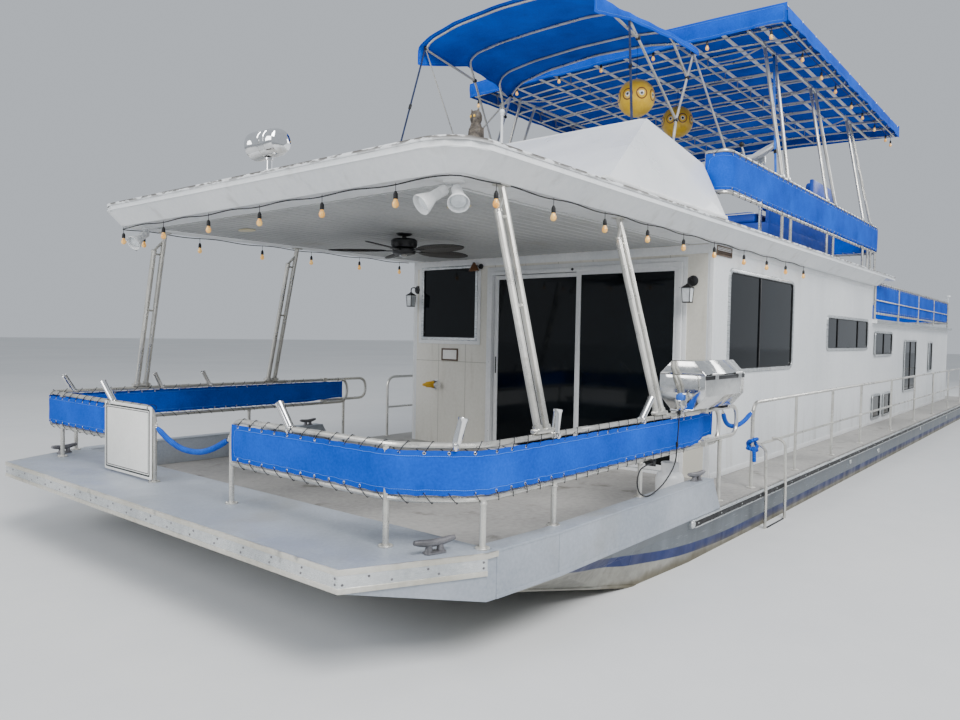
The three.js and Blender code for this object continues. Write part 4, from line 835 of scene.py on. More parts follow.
HULL = hull_finish()
DECK = deck_finish()
PLATFORM = platform_finish()
BRIGHT = bright_finish()
TUBES = tube_finish()
WALL = wall_finish()
FRONT = front_finish()
ROOF = roof_finish()
SOFFIT = soffit_finish()
CANVAS = canvas_finish()
SEAT_VINYL = worn("seat vinyl", "093a96", "0e4dbd", 0.5, 0.0, 2.0, 260.0, 0.35)
PALE_VINYL = worn("pale vinyl", "d6d3c8", "ece9df", 0.42, 0.0, 2.0, 260.0, 0.35)
EDGE = bright_finish("cream edge channel", "c9c5b8", "e4e1d8", 0.42)
GLASS = glass_finish()
STEEL = steel_finish()
CHROME = steel_finish("chrome", "d6d6d6", "f0f0f0", 0.06, 0.08)
SLEEVE = sleeve_finish()
RUBBER = worn("black rubber", "131314", "232324", 0.55, 0.0, 6.0, 200.0, 0.2)
LEAF = blade_finish()
BULB = bulb_finish()
BLACK = worn("black enamel", "121213", "232325", 0.38, 0.2, 4.0, 120.0, 0.12)
BROWN = worn("brown louvre", "4a3a2c", "6a5644", 0.5, 0.0, 5.0, 90.0)
SHADE_BROWN = worn("brown lamp shade", "5a3a22", "7d5636", 0.5, 0.0, 6.0, 90.0)
TRIM = worn("white trim", "dcdedf", "f1f1f0", 0.4, 0.05, 2.0, 40.0, 0.08)
SLEEVE_BLUE = worn("blue knob", "1b57b8", "2f78e0", 0.45, 0.0, 9.0, 60.0)
GELCOAT = worn("fairing gelcoat", "e3e6e9", "f0f2f4", 0.34, 0.0, 0.9, 18.0, 0.02, Coat_Weight=0.2)
YELLOW = worn("yellow plug", "d9a112", "efc03a", 0.45, 0.0, 9.0, 60.0)
BOARD = worn("sign board", "e9e8e2", "f6f5f0", 0.5, 0.0, 2.5, 40.0, 0.05)
BORDER = worn("sign border", "151515", "2a2a2a", 0.5, 0.0, 8.0, 90.0, 0.05)
CREAM = worn("cream fitting", "cbbf9a", "ddd2ae", 0.5, 0.0, 5.0, 60.0, 0.08)
DISH_GREY = worn("dish grey", "b2b5b6", "cbcdcd", 0.5, 0.1, 2.0, 50.0)
WEBBING = worn("strap webbing", "15203a", "26355c", 0.8, 0.0, 12.0, 300.0, 0.4)
BLUE_WEBBING = worn("blue ratchet webbing", "1a4fa8", "2b6fd4", 0.75, 0.0, 12.0, 300.0, 0.4)
LACING = worn("lacing cord", "15171c", "2a2d36", 0.8, 0.0, 20.0, 200.0, 0.3)
DRIVE = worn("drive casting", "1b1d20", "33363a", 0.4, 0.35, 3.0, 90.0, 0.2)
BRONZE = worn("propeller bronze", "7d6d47", "a8966a", 0.32, 0.9, 6.0, 80.0, 0.15)
CLEAT = worn("cast cleat", "5c5b5d", "89888c", 0.42, 0.5, 5.0, 90.0, 0.2)
OWL = worn("owl decoy", "2f2a25", "6f665b", 0.7, 0.0, 26.0, 120.0, 0.5)
LENS = worn("lamp lens", "c7cdd0", "eef1f2", 0.12, 0.0, 6.0, 60.0, 0.2)


# Camera, floor and light

def make_camera():
    yaw, dip, roll = (math.radians(a) for a in (CAMERA_YAW, CAMERA_DIP, CAMERA_ROLL))
    ahead = Vector((math.cos(yaw) * math.cos(dip), math.sin(yaw) * math.cos(dip), -math.sin(dip)))
    right = Vector((math.sin(yaw), -math.cos(yaw), 0))
    down = ahead.cross(right)
    across = math.cos(roll) * right + math.sin(roll) * down
    fall = -math.sin(roll) * right + math.cos(roll) * down
    lens = bpy.data.cameras.new("camera")
    lens.lens = CAMERA_LENS
    lens.sensor_width = 36.0
    lens.clip_end = 400.0
    camera = bpy.data.objects.new("camera", lens)
    turn = Matrix((across, -fall, -ahead)).transposed().to_4x4()
    camera.matrix_world = Matrix.Translation(Vector(CAMERA_AT)) @ turn
    bpy.context.scene.collection.objects.link(camera)
    bpy.context.scene.camera = camera


def make_floor():
    deselect()
    bpy.ops.mesh.primitive_plane_add(size=240)
    floor = bpy.context.active_object
    floor.name = "floor"
    painted(floor, floor_finish())


def soft_light(name, at, aim, size, power):
    light = bpy.data.lights.new(name, "AREA")
    light.shape = "RECTANGLE"
    light.size, light.size_y = size
    light.energy = power
    lamp = bpy.data.objects.new(name, light)
    way = Vector(aim) - Vector(at)
    lamp.matrix_world = Matrix.Translation(Vector(at)) @ way.to_track_quat("-Z", "Y").to_matrix().to_4x4()
    bpy.context.scene.collection.objects.link(lamp)


def make_light():
    sky = bpy.data.worlds.new("sky")
    sky.use_nodes = True
    shine = sky.node_tree.nodes["Background"]
    shine.inputs["Color"].default_value = (0.86, 0.92, 1.0, 1.0)
    shine.inputs["Strength"].default_value = 0.62
    bpy.context.scene.world = sky
    soft_light("key softbox", (12, 12, 14), (2, 0, 1), (9, 9), 3800)
    soft_light("fill softbox", (20, -4, 7), (4, 0, 1), (8, 6), 900)
    soft_light("stern softbox", (-16, 8, 10), (-3, 0, 1), (8, 6), 900)


make_camera()
make_floor()
make_light()


# Ropes and hose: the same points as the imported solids

ROPE = 0.018
BOW_ROPE = [
    (9.300, -0.384, 0.926), (9.300, -0.250, 0.868), (9.300, -0.105, 0.829), (9.300, 0.035, 0.819),
    (9.300, 0.175, 0.832), (9.300, 0.315, 0.872), (9.300, 0.454, 0.932),
]
SIDE_ROPE = [
    (5.486, 2.228, 0.975), (5.590, 2.216, 0.921), (5.696, 2.200, 0.889), (5.800, 2.186, 0.887),
    (5.895, 2.184, 0.915), (5.965, 2.190, 0.960), (6.015, 2.198, 1.008),
]
HOSE = 0.0045
GRILL_HOSE = [
    (6.972, 2.265, 1.1047), (6.973, 2.263, 1.010), (6.979, 2.258, 0.860), (6.995, 2.254, 0.740),
    (7.120, 2.251, 0.638), (7.270, 2.250, 0.583), (7.410, 2.250, 0.572), (7.500, 2.249, 0.612),
    (7.528, 2.248, 0.680), (7.492, 2.244, 0.745), (7.400, 2.240, 0.768), (7.3053, 2.238, 0.770),
]


def line_length(points):
    return sum((Vector(b) - Vector(a)).length for a, b in zip(points, points[1:]))


def snap_hook(at, way):
    """The snap's round eye and its swivel, at a rope's end."""
    way = Vector(way).normalized()
    side = way.cross(Vector(UPWARD)).normalized()
    eye = ring(Vector(at) + way * 0.034, way * 0.015, side.cross(way) * 0.011, 14)
    body = turned([(0, 0.002), (0.009, 0.002), (0.011, 0.006), (0.011, 0.014), (0.006, 0.018),
                   (0.006, 0.022), (0, 0.022)], at, way, 12)
    return [body, tubes([eye], 0.0042, 8, True)]


def rope_sleeve(points, node):
    """A rope's braided sleeve, pinched in at both ends."""
    radii = [ROPE * (0.72 if i in (0, len(points) - 1) else 1.0) for i in range(len(points))]
    return piece(node + "_sleeve", swept(points, radii, 16), SLEEVE, "boat", [node], 60)


def rope_hooks(name, points):
    """A hook at each end of a rope."""
    ends = [(points[0], points[1]), (points[-1], points[-2])]
    return piece(name, [snap_hook(end, end - inner) for end, inner in ends], STEEL)


def side_rail_lashing():
    """The spare end of the side rope, wound round the first post of the side rail."""
    knot = []
    for k, (z, lean) in enumerate(((0.735, 0.10), (0.700, -0.16), (0.665, 0.05))):
        turns = [2 * math.pi * i / 18 for i in range(19)]
        knot.append([(5.440 + 0.036 * math.cos(t) + 0.012 * math.sin(2 * t + k), 2.230 + 0.036 * math.sin(t),
                      z + lean * 0.2 * math.sin(t + k)) for t in turns])
    tail = [(5.470, 2.255, 0.690), (5.478, 2.262, 0.650), (5.474, 2.264, 0.600), (5.468, 2.262, 0.566)]
    knot.append(eased(tail, 3))
    piece("side_rail_lashing", [swept(line, 0.0155, 10) for line in knot], SLEEVE, angle=60)


def hose_fittings():
    """The union under the grill's valve and the crimp on the hose's end."""
    union = turned([(0, -0.012), (0.009, -0.012), (0.011, -0.006), (0.011, 0.012), (0.0075, 0.018),
                    (0.0075, 0.028), (0, 0.028)], (6.972, 2.265, 1.083), UPWARD, 12)
    crimp = turned([(0, 0), (0.0095, 0), (0.0095, 0.03), (0.0065, 0.036), (0, 0.036)],
                   (6.979, 2.258, 0.848), (0.04, -0.03, 1), 10)
    return piece("hose_fittings", [union, crimp], BLACK)


def ropes_and_hose():
    bow, side, hose = eased(BOW_ROPE, 4), eased(SIDE_ROPE, 3), eased(GRILL_HOSE, 3)
    bow_piece, side_piece = rope_sleeve(bow, "bow_gate_rope"), rope_sleeve(side, "side_gate_rope")
    hose_piece = piece("grill_hose_line", swept(hose, HOSE, 10), RUBBER, "boat", ["grill_hose"], 60)
    bow_hooks, side_hooks = rope_hooks("bow_gate_hooks", bow), rope_hooks("side_gate_hooks", side)
    side_rail_lashing()
    fittings = hose_fittings()


ropes_and_hose()


# Small fittings that repeat

def rivet(radius=0.004):
    """A low domed rivet head, facing up."""
    return turned([(radius, 0), (radius * 0.8, radius * 0.35), (0, radius * 0.55)], steps=8)


def round_of(at, radius, count=4):
    """Spots in a ring round a place, at the same height, the first between two axes."""
    turns = [2 * math.pi * (i + 0.5) / count for i in range(count)]
    return [(at[0] + radius * math.cos(t), at[1] + radius * math.sin(t), at[2]) for t in turns]


def post_feet(spots, radius=0.038):
    """Round screwed feet under posts: a flange, a collar weld and four screw heads each."""
    flange = turned([(0.012, 0.012), (TUBE + 0.005, 0.012), (TUBE + 0.009, 0.009), (radius - 0.003, 0.009),
                     (radius, 0.006), (radius, 0.0005), (0, 0.0005)], steps=20)
    screw = turned([(0.005, 0), (0.0042, 0.0022), (0, 0.003)], steps=8)
    screws = [at for x, y, z in spots for at in round_of((x, y, z + 0.009), 0.028)]
    return copies_at(flange, spots) + copies_at(screw, screws)


def copies_at(master, spots, turn=UNTURNED):
    """Twins of a master at some spots, all turned alike."""
    return copies(master, [(p, turn) for p in spots])


def lacing(line, z, side, reach, out, pitch, radius=0.0024):
    """One thin cord wound round a tube and through the eyelets of the cloth under it (side 1) or over
    it (side -1), which lies an amount out from the tube's line and has its eyelets a reach away."""
    r = TUBE + 0.004
    course = [(out + 0.005, -reach), (r + 0.001, -r * 0.3), (r * 0.3, r), (-r, r * 0.3), (-r * 0.3, -r),
              (out - 0.005, 0.004 - reach)]
    length = line_length(level(line, 0))
    count = max(1, round(length / pitch))
    spots = spaced(level(line, z), length / (count * len(course)))
    points, holes = [], []
    for k, (spot, way, _) in enumerate(spots[3:-3]):
        across, high = course[k % len(course)]
        square_out = Vector((way.y, -way.x, 0)).normalized()
        points.append(spot + square_out * across + Vector((0, 0, high * side)))
        if k % len(course) == 0:
            hole = spot + square_out * (out + 0.0015) - Vector((0, 0, reach * side))
            holes.append((hole, turn_to(square_out)))
    eyelet = turned([(0.0045, 0), (0.0085, 0), (0.0085, 0.0012), (0.0065, 0.0024), (0.0045, 0.0015)],
                    steps=10)
    return [painted(tubes([points], radius, 8), LACING), painted(copies(eyelet, holes), BRIGHT)]


def screw_heads(spots, axis, radius=0.006):
    head = turned([(radius, 0), (radius * 0.85, radius * 0.45), (0, radius * 0.6)], steps=8)
    return copies_at(head, spots, turn_to(axis))


# Hull, rub rail and bow platform

def hull_fittings():
    """Weld beads along the chines, and drain outlets along both sides."""
    sections = [(8.980, 1.930, 0.270), (8.450, 2.080, 0.190), (7.860, 2.160, 0.070), (7.450, 2.215, -0.010),
                (6.500, 2.255, -0.115), (5.000, 2.265, -0.165), (-9.100, 2.265, -0.165)]
    chine = [(x, y + 0.001, z) for x, y, z in sections]
    beads = tubes([chine, [(x, -y, z) for x, y, z in chine]], 0.011, 8)
    piece("chine_welds", beads, HULL)
    outlets = [(2.35, 0.20), (0.9, 0.17), (-2.1, 0.21), (-4.8, 0.19), (-7.2, 0.22)]
    cup = turned([(0.012, 0.0), (0.013, 0.008), (0.024, 0.009), (0.029, 0.005), (0.031, 0.0)], steps=16)
    port = copies_at(cup, [(x, HULL_Y, z) for x, z in outlets], turn_to(ABEAM))
    piece("hull_outlets", both(port), BRIGHT)


def rub_rails():
    """A bright channel over a dark insert down both sides and across the stern."""
    aft, fore, low, high = -9.136, 6.790, 0.262, 0.320
    y, middle = HULL_Y + 0.0018, (low + high) / 2

    def run(z0, z1, out, bevel=0.004):
        return block((aft, y, z0), (fore, y + out, z1), bevel)
    lips = [run(low, low + 0.009, 0.040), run(high - 0.009, high, 0.040), run(low, high, 0.012)]
    insert = painted(run(low + 0.009, high - 0.009, 0.037, 0.008), RUBBER)
    end = turned([(0, 0), (0.026, 0), (0.031, 0.006), (0.031, 0.026), (0.024, 0.034), (0, 0.036)],
                 (fore + 0.022, y + 0.001, middle), ABEAM, 18)
    ends = [end, block((fore - 0.02, y, low), (fore + 0.03, y + 0.030, high), 0.006)]
    screws = screw_heads([(fore - 0.05 - 0.42 * i, y + 0.0365, middle) for i in range(38)], ABEAM)
    stern = [block((aft, -y - 0.04, z), (aft + 0.036, y + 0.04, z + 0.013), 0.003)
             for z in (low, high - 0.013)]
    stern.append(painted(block((aft + 0.004, -y - 0.02, low + 0.012),
                               (aft + 0.034, y + 0.02, high - 0.012)), RUBBER))
    piece("rub_rail_channel", both(lips, insert, ends, screws) + stern, BRIGHT, "boat", ["rub_rail"])


NOSE = [(STEM_X, -2.272), (9.050, -2.265), (BOW_X, -1.945), (BOW_X, 1.945), (9.050, 2.265), (STEM_X, 2.272)]


def cleat(x, y, turn):
    """A two-horned mooring cleat with a bolted foot."""
    way = Vector((math.cos(turn), -math.sin(turn), 0))
    foot = Vector((x, y, KERB_Z))
    half = [(0.112, 0.062, 0.011), (0.085, 0.058, 0.016), (0.045, 0.052, 0.018)]
    course = [(-d, h, r) for d, h, r in half] + [(0, 0.050, 0.0185)] + half[::-1]
    horns = swept([foot + way * d + Vector((0, 0, h)) for d, h, _ in course], [r for _, _, r in course], 12)
    legs = [swept([foot + way * d * 1.25, foot + way * d + Vector((0, 0, 0.048))], [0.021, 0.0145], 12)
            for d in (-0.028, 0.028)]
    base = plate(rounded(-0.058, 0.058, -0.028, 0.028, 0.020), 0, 0.010, bevel=0.002)
    base.data.transform(Matrix.Translation(foot) @ Matrix.Rotation(-turn, 4, "Z"))
    bolts = screw_heads([foot + way * d + Vector((0, 0, 0.010)) for d in (-0.043, 0.043)], UPWARD, 0.007)
    return painted([horns, *legs, base], CLEAT) + bolts


def platform_skin():
    """The platform's top, its raked nose and the box behind it."""
    low, nose_low, high = 0.323, 0.449, KERB_Z - 0.018
    top = plate(NOSE, KERB_Z - 0.020, KERB_Z, bevel=0.004)
    nose = [(9.05, -2.262, low), (9.684, -1.942, nose_low), (9.684, 1.942, nose_low), (9.05, 2.262, low)]
    box = [(STEM_X, -2.269, low), (9.051, -2.262, low), (9.051, 2.262, low), (STEM_X, 2.269, low)]
    skins = [wedge(foot + [(x, y, high) for x, y, _ in foot]) for foot in (nose, box)]
    return painted([top, *skins], PLATFORM)


def platform_trims():
    """Three strips round the platform's edge, all cream; the middle one gets the darker bright channel finish
    as painted shade under the cap.
    """
    nose = NOSE[1:-1]
    return [painted(band(NOSE, -0.004, 0.007, 0.531, 0.5595, 0.003), EDGE),
            # The middle strip's darker bright channel finish is painted shade under the cream cap strip.
            painted(band(nose, -0.002, 0.0025, 0.474, 0.531), BRIGHT),
            painted(band(nose, -0.002, 0.006, 0.449, 0.474, 0.002), EDGE)]


def platform_rivets(pitch=0.24, margin=0.02):
    """Two staggered rows of rivets along the middle strip."""
    rivets = []
    for z, shift in ((0.489, 0.0), (0.517, pitch / 2)):
        line = [Vector(p) for p in level(pushed(NOSE[1:-1], 0.0025), z)]
        for a, b in zip(line, line[1:]):
            way = (b - a).normalized()
            spots = [p for p, _, _ in spaced([a + way * (margin + shift), b - way * margin], pitch)]
            rivets += copies_at(painted(rivet(0.0065), CLEAT), spots, turn_to((way.y, -way.x, 0)))
    return rivets


def bulwark():
    """The port bulwark: a cap over a plate that runs aft to a slanting end, and a skirt at its foot."""
    low, high = DECK_Z + 0.0003, KERB_Z
    end, knee, inner, outer = 8.985, 8.5, 2.2, 2.31
    plan = [(end, 2.162), (end, 2.272), (knee, outer), (knee, inner)]
    fore = wedge(level(plan, low) + level(plan, high), 0.006)
    foot, top = ([(knee, inner), (knee, outer), (x, outer), (x, inner)] for x in (6.31, 6.45))
    aft = wedge(level(foot, low) + level(top, high), 0.006)
    skirt = band([(end, 2.266), (knee, 2.304), (6.318, 2.304)], -0.006, 0.0072, 0.323, 0.346, 0.0005)
    cap = band([(end, 2.217), (knee, 2.255), (6.452, 2.255)], -0.058, 0.058, 0.549, 0.5645, 0.004)
    return painted([fore, aft, skirt, cap], PLATFORM)


def flare(top=0.3227):
    """Hull plating that leans out under the bulwark's skirt. A station is x, y at its top, y and z at
    its foot."""
    stations = [(8.985, 2.267, 2.150, 0.300), (8.5, 2.309, 2.205, 0.262), (7.9, 2.309, 2.243, 0.230),
                (6.84, 2.309, 2.281, 0.230)]
    made = []
    for (xa, ta, ba, za), (xb, tb, bb, zb) in zip(stations, stations[1:]):
        foot = [(xa, ba - 0.02, za), (xa, ba, za), (xb, bb, zb), (xb, bb - 0.02, zb)]
        made.append(wedge(foot + level([(xa, ta - 0.03), (xa, ta), (xb, tb), (xb, tb - 0.03)], top)))
    return painted(made, HULL)


def bow_platform():
    parts = [platform_skin(), platform_trims(), platform_rivets(), both(bulwark(), flare()),
             both(cleat(9.220, 2.080, 0.28), cleat(6.620, 2.250, 0.1))]
    piece("bow_platform_plating", parts, BRIGHT, "boat", ["bow_platform"])


def swim_platform():
    """A slatted platform in a bright frame, on two brackets bolted to the transom."""
    transom, outer = -9.1003, -9.700
    base = plate(rounded(outer, transom, -1.95, 1.95, 0.09, 6), 0.152, 0.186, bevel=0.006)
    slats = [block((x, -1.90, 0.184), (x + 0.070, 1.90, 0.195), 0.003)
             for x in (-9.685 + 0.083 * i for i in range(7))]
    half = [(-9.101, 1.94), (-9.66, 1.94), (-9.695, 1.90)]
    edge = band([(x, -y) for x, y in half] + half[::-1], -0.004, 0.008, 0.150, 0.196, 0.003)
    fittings = []
    for y in (-1.2, 1.2):
        foot = [(-9.52, y - 0.012, 0.150), (transom, y - 0.012, -0.06), (transom, y + 0.012, -0.06),
                (-9.52, y + 0.012, 0.150)]
        fittings.append(wedge(foot + [(x, b, 0.156) for x, b, _ in foot], 0.002))
        fittings.append(block((-9.112, y - 0.05, -0.08), (transom, y + 0.05, 0.14), 0.003))
    bolts = screw_heads([(-9.112, y + s * 0.034, z) for y in (-1.2, 1.2) for s in (-1, 1)
                         for z in (-0.06, 0.03, 0.12)], (-1, 0, 0), 0.008)
    painted([edge, fittings, bolts], BRIGHT)
    piece("swim_platform_slats", [base, slats, edge, fittings, bolts], DECK, "boat", ["swim_platform"])


hull_fittings()
rub_rails()
bow_platform()
swim_platform()


# Rails of the lower deck

HAIRPIN_X = 6.110
LOOP_Y, LOOP_FORE, LOOP_AFT, LOOP_LOW, LOOP_POST = 2.225, 6.470, 5.806, 0.830, 6.140
GATE_PORT, GATE_STARBOARD = 0.500, -0.430
# The port fore corner is cut off, the starboard one square and rounded
PORT_CORNER = [(BOW_RAIL_X, 1.890), (9.040, RAIL_Y)]
STARBOARD_CORNER = [(BOW_RAIL_X, RAIL_Y)]
PORT_POSTS = [(BOW_RAIL_X, 1.830), (9.010, RAIL_Y)]
STARBOARD_POSTS = [(BOW_RAIL_X, 1.910), (9.080, RAIL_Y)]
# The bow canvases are laced on aft to one place; from another, over a run, they cross to the inside
LACED_TO, TUCK_FROM, TUCK_RUN = 6.62, 6.58, 0.26


def rod_holder(x, y, dx, dy):
    """A chrome tube with a dark flared mouth, held over the top rail by a bolted split clamp."""
    foot, top = Vector((x, y, RAIL_Z - 0.004)), Vector((x + dx, y + dy, RAIL_Z + 0.134))
    way, tall = (top - foot).normalized(), (top - foot).length
    cup = turned([(0, 0.001), (0.018, 0.002), (0.0225, 0.008), (0.0225, tall - 0.022), (0.0255, tall - 0.006),
                  (0.0262, tall - 0.002), (0.0240, tall), (0.0205, tall - 0.008), (0.0205, tall - 0.012)],
                 foot, way, 20)
    lining = turned([(0.0207, tall - 0.006), (0.0200, tall - 0.075), (0, tall - 0.077)], foot, way, 20)
    if x > BOW_RAIL_X - 0.01:
        along = ABEAM
    else:
        along = AHEAD if y > RAIL_Y - 0.01 else (-0.643, 0.766, 0)
    grip = turned([(TUBE, -0.016), (TUBE + 0.0065, -0.015), (TUBE + 0.0065, 0.015), (TUBE, 0.016)],
                  (x, y, RAIL_Z), along, 20)
    out = Vector((along[1], -along[0], 0))
    out = out if out.x + out.y > 0 else -out
    at = Vector((x, y, RAIL_Z)) + out * (TUBE + 0.008)
    jaw = block(at - Vector((0.010, 0.010, 0.016)), at + Vector((0.010, 0.010, 0.012)), 0.004)
    bolt = turned([(0, -0.022), (0.007, -0.022), (0.007, -0.016), (0.0045, -0.015), (0.0045, 0.018),
                   (0, 0.019)],
                  at, UPWARD, 10)
    return [painted([cup, grip, jaw, bolt], CHROME), painted(lining, RUBBER)]


def bow_rail(gate_y, corner, corner_posts, holders):
    """The port bow rail: a hairpin round the fore deck, a shorter loop behind it, posts and holders."""
    def course(z):
        return level([(BOW_RAIL_X, gate_y), *corner, (HAIRPIN_X, RAIL_Y)], z)
    run = pipe([(BOW_RAIL_X, gate_y, KERB_Z), *course(RAIL_Z), *course(LOW_RAIL_Z)[::-1]], TUBE, 0.12, 16, 7)
    second = pipe([(x, LOOP_Y, z) for x, z in ((LOOP_FORE, RAIL_Z), (LOOP_AFT, RAIL_Z), (LOOP_AFT, LOOP_LOW),
                                               (LOOP_FORE, LOOP_LOW))], TUBE, 0.11, 16, 7)
    posts = [(*corner_posts[0], KERB_Z, RAIL_Z), (*corner_posts[1], KERB_Z, LOW_RAIL_Z),
             (8.400, RAIL_Y, KERB_Z, LOW_RAIL_Z), (7.400, RAIL_Y, KERB_Z, LOW_RAIL_Z),
             (LOOP_POST, LOOP_Y, DECK_Z, LOOP_LOW)]
    uprights = bars([((x, y, foot), (x, y, top)) for x, y, foot, top in posts], TUBE, 16)
    collar = turned([(TUBE, -0.012), (TUBE + 0.004, -0.009), (TUBE + 0.004, 0.002), (TUBE, 0.006)], steps=16)
    collars = copies_at(collar, [(x, y, top - 0.018) for x, y, _, top in posts])
    feet = post_feet([(x, y, foot) for x, y, foot, _ in posts] + [(BOW_RAIL_X, gate_y, KERB_Z)])
    saddles = [block((LOOP_FORE - 0.055, RAIL_Y - 0.019, z - 0.021),
                     (LOOP_FORE - 0.005, LOOP_Y + 0.019, z + 0.021), 0.006)
               for z in (RAIL_Z, LOW_RAIL_Z + 0.014)]
    splice = turned([(TUBE, 0), (TUBE + 0.003, 0.002), (TUBE + 0.003, 0.094), (TUBE, 0.096)], steps=16)
    splices = copies_at(splice, [(x, RAIL_Y, RAIL_Z) for x in (8.05, 6.95)], turn_to(AHEAD))
    cups = [rod_holder(*h) for h in holders]
    return [run, second, uprights, collars, feet, saddles, splices, cups]


def eye_clip(at, way, reach=0.024):
    """An eye strap on a tube, a reach off its middle, that a gate hook snaps into."""
    way = Vector(way).normalized()
    eye = ring(Vector(at) + way * reach, way * 0.011, (0, 0, 0.011), 12)
    return tubes([eye], 0.0035, 8, True)


def bow_rails():
    """Both bow rails, whose gate ends, corners and rod holders differ."""
    port = bow_rail(GATE_PORT, PORT_CORNER, PORT_POSTS, [
        (BOW_RAIL_X, 1.075, 0, -0.110), (9.115, 2.111, -0.030, 0.020), (8.400, RAIL_Y, -0.025, 0),
        (7.405, RAIL_Y, -0.140, 0)])
    clips = [eye_clip((BOW_RAIL_X, GATE_PORT, 0.955), (0, -1, 0)),
             eye_clip((LOOP_AFT, LOOP_Y, 1.02), AHEAD, 0.02)]
    hose_clip = [block((7.264, 2.184, 0.754), (7.304, 2.245, 0.787), 0.005),
                 block((7.272, 2.180, 0.748), (7.280, 2.248, 0.793), 0.002)]
    piece("port_bow_rail_tubes", [port, clips, painted(hose_clip, BLACK)], TUBES, "boat", ["port_bow_rail"])
    star = other_side(bow_rail(-GATE_STARBOARD, STARBOARD_CORNER, STARBOARD_POSTS, [
        (BOW_RAIL_X, 1.020, 0, 0.170), (9.090, RAIL_Y, 0.085, 0), (8.330, RAIL_Y, 0.065, 0),
        (7.840, RAIL_Y, 0.075, 0)]))
    clip = eye_clip((BOW_RAIL_X, GATE_STARBOARD, 0.955), ABEAM)
    piece("starboard_bow_rail_tubes", [star, clip], TUBES, "boat", ["starboard_bow_rail"])


def canvas_rows(line, low, high, columns, rows, pitch, scallop, pucker):
    """Rows of points of a cloth laced between two tubes along a 2-D line, low row first. Its foot is
    at a height, or at what a function gives for a spot."""
    flat_line = level(line, 0)
    spots = spaced(flat_line, line_length(flat_line) / columns)
    length = spots[-1][2]
    laces = max(1, round(length / pitch))
    made = []
    for i in range(rows + 1):
        part = i / rows
        rim = abs(2 * part - 1)
        row = []
        for spot, way, gone in spots:
            phase = math.pi * gone / length * laces
            pull = scallop * abs(math.sin(phase)) ** 1.5
            foot = low(spot) if callable(low) else low
            z = foot + (high - foot) * part + (pull if part < 0.5 else -pull) * rim ** 3
            wave = pucker * math.sin(phase * 2 + 0.6) * rim + 0.5 * pucker * math.sin(gone * 5.1 + part * 2.2)
            belly = 0.004 * math.sin(math.pi * part)
            row.append(spot + Vector((way.y, -way.x, 0)) * (wave + belly) + Vector((0, 0, z - spot.z)))
        made.append(row)
    return made


def clamped(value):
    return max(0.0, min(1.0, value))


def smooth_plan(line, radius, steps=6):
    return [(p.x, p.y) for p in bent(level(line, 0), radius, steps)]


def canvas_foot(spot):
    """The foot of a bow canvas rises aft, towards the second loop's low tube."""
    return 0.821 + 0.031 * clamped((LACED_TO - spot.x) / 0.30)


def bow_canvas(name, gate, corner, s):
    """A cloth laced outside a bow rail's tubes, its aft end tucked inside the rail's end bends."""
    out = TUBE + 0.004
    tube_line = smooth_plan([(BOW_RAIL_X, gate + 0.035), *corner, (6.195, RAIL_Y)], 0.12)
    if s < 0:
        tube_line = [(x, -y) for x, y in tube_line][::-1]
    grid = canvas_rows(pushed(tube_line, out), canvas_foot, 1.039, 104, 6, 0.12, 0.004, 0.004)
    for point in flat(grid):
        tuck = clamped((TUCK_FROM - point.x) / TUCK_RUN)
        point.y -= s * 2 * (out + 0.001) * tuck * tuck * (3 - 2 * tuck)
    cloth = piece(name + "_cloth", cloth_sheet(grid), CANVAS, "boat", [name], 60)
    laced = [(x, y) for x, y in tube_line if x > LACED_TO + 0.03]
    laced = laced + [(LACED_TO, s * RAIL_Y)] if s > 0 else [(LACED_TO, s * RAIL_Y)] + laced
    tail = [(6.30, s * RAIL_Y), (6.20, s * RAIL_Y)][::s]
    cords = [lacing(laced, RAIL_Z, 1, 0.035, out, 0.12), lacing(laced, LOW_RAIL_Z, -1, 0.035, out, 0.12),
             lacing(tail, RAIL_Z, 1, 0.035, -out, 0.06)]
    made = piece(name + "_lacing", cords, LACING, angle=50)
    flat_size(grid)


def bow_canvases():
    bow_canvas("port_bow_canvas", GATE_PORT, PORT_CORNER, 1)
    bow_canvas("starboard_bow_canvas", -GATE_STARBOARD, STARBOARD_CORNER, -1)


def side_rails():
    """Top and middle tubes aft to the stern on posts, both sides."""
    y, fore, aft, mid = 2.230, 5.440, -7.900, 0.690
    run = pipe([(fore, y, DECK_Z), (fore, y, RAIL_Z), (aft, y, RAIL_Z), (aft, y, DECK_Z)], TUBE, 0.13, 16, 7)
    middle = bars([((fore, y, mid), (aft, y, mid))], TUBE - 0.003, 12)
    stations = [4.255, 2.960, 1.660, -0.100, -1.850, -3.600, -5.350, -7.000]
    posts = bars([((x, y, DECK_Z), (x, y, RAIL_Z)) for x in stations], TUBE - 0.002, 12)
    feet = post_feet([(x, y, DECK_Z) for x in (fore, aft, *stations)])
    collar = turned([(TUBE - 0.003, -0.010), (TUBE + 0.002, -0.007), (TUBE + 0.002, 0.007),
                     (TUBE - 0.003, 0.010)],
                    steps=14)
    port = [run, middle, posts, feet, copies_at(collar, [(x, y, mid) for x in stations], turn_to(AHEAD))]
    star = [mirrored(o) for o in flat(port)]
    port.append(eye_clip((fore, y, 0.99), (1, 0, -0.3)))
    piece("port_side_rail_tubes", port, TUBES, "boat", ["port_side_rail"])
    piece("starboard_side_rail_tubes", star, TUBES, "boat", ["starboard_side_rail"])


bow_rails()
bow_canvases()
side_rails()


# Upper deck rails and their cloth

UPPER_FORE, UPPER_AFT, UPPER_RETURN = 5.300, -0.500, 1.700
UPPER_PLAN = [(UPPER_FORE, UPPER_RETURN), (UPPER_FORE, UPPER_Y), (UPPER_AFT, UPPER_Y), (UPPER_AFT, -UPPER_Y),
              (UPPER_FORE, -UPPER_Y), (UPPER_FORE, -UPPER_RETURN)]


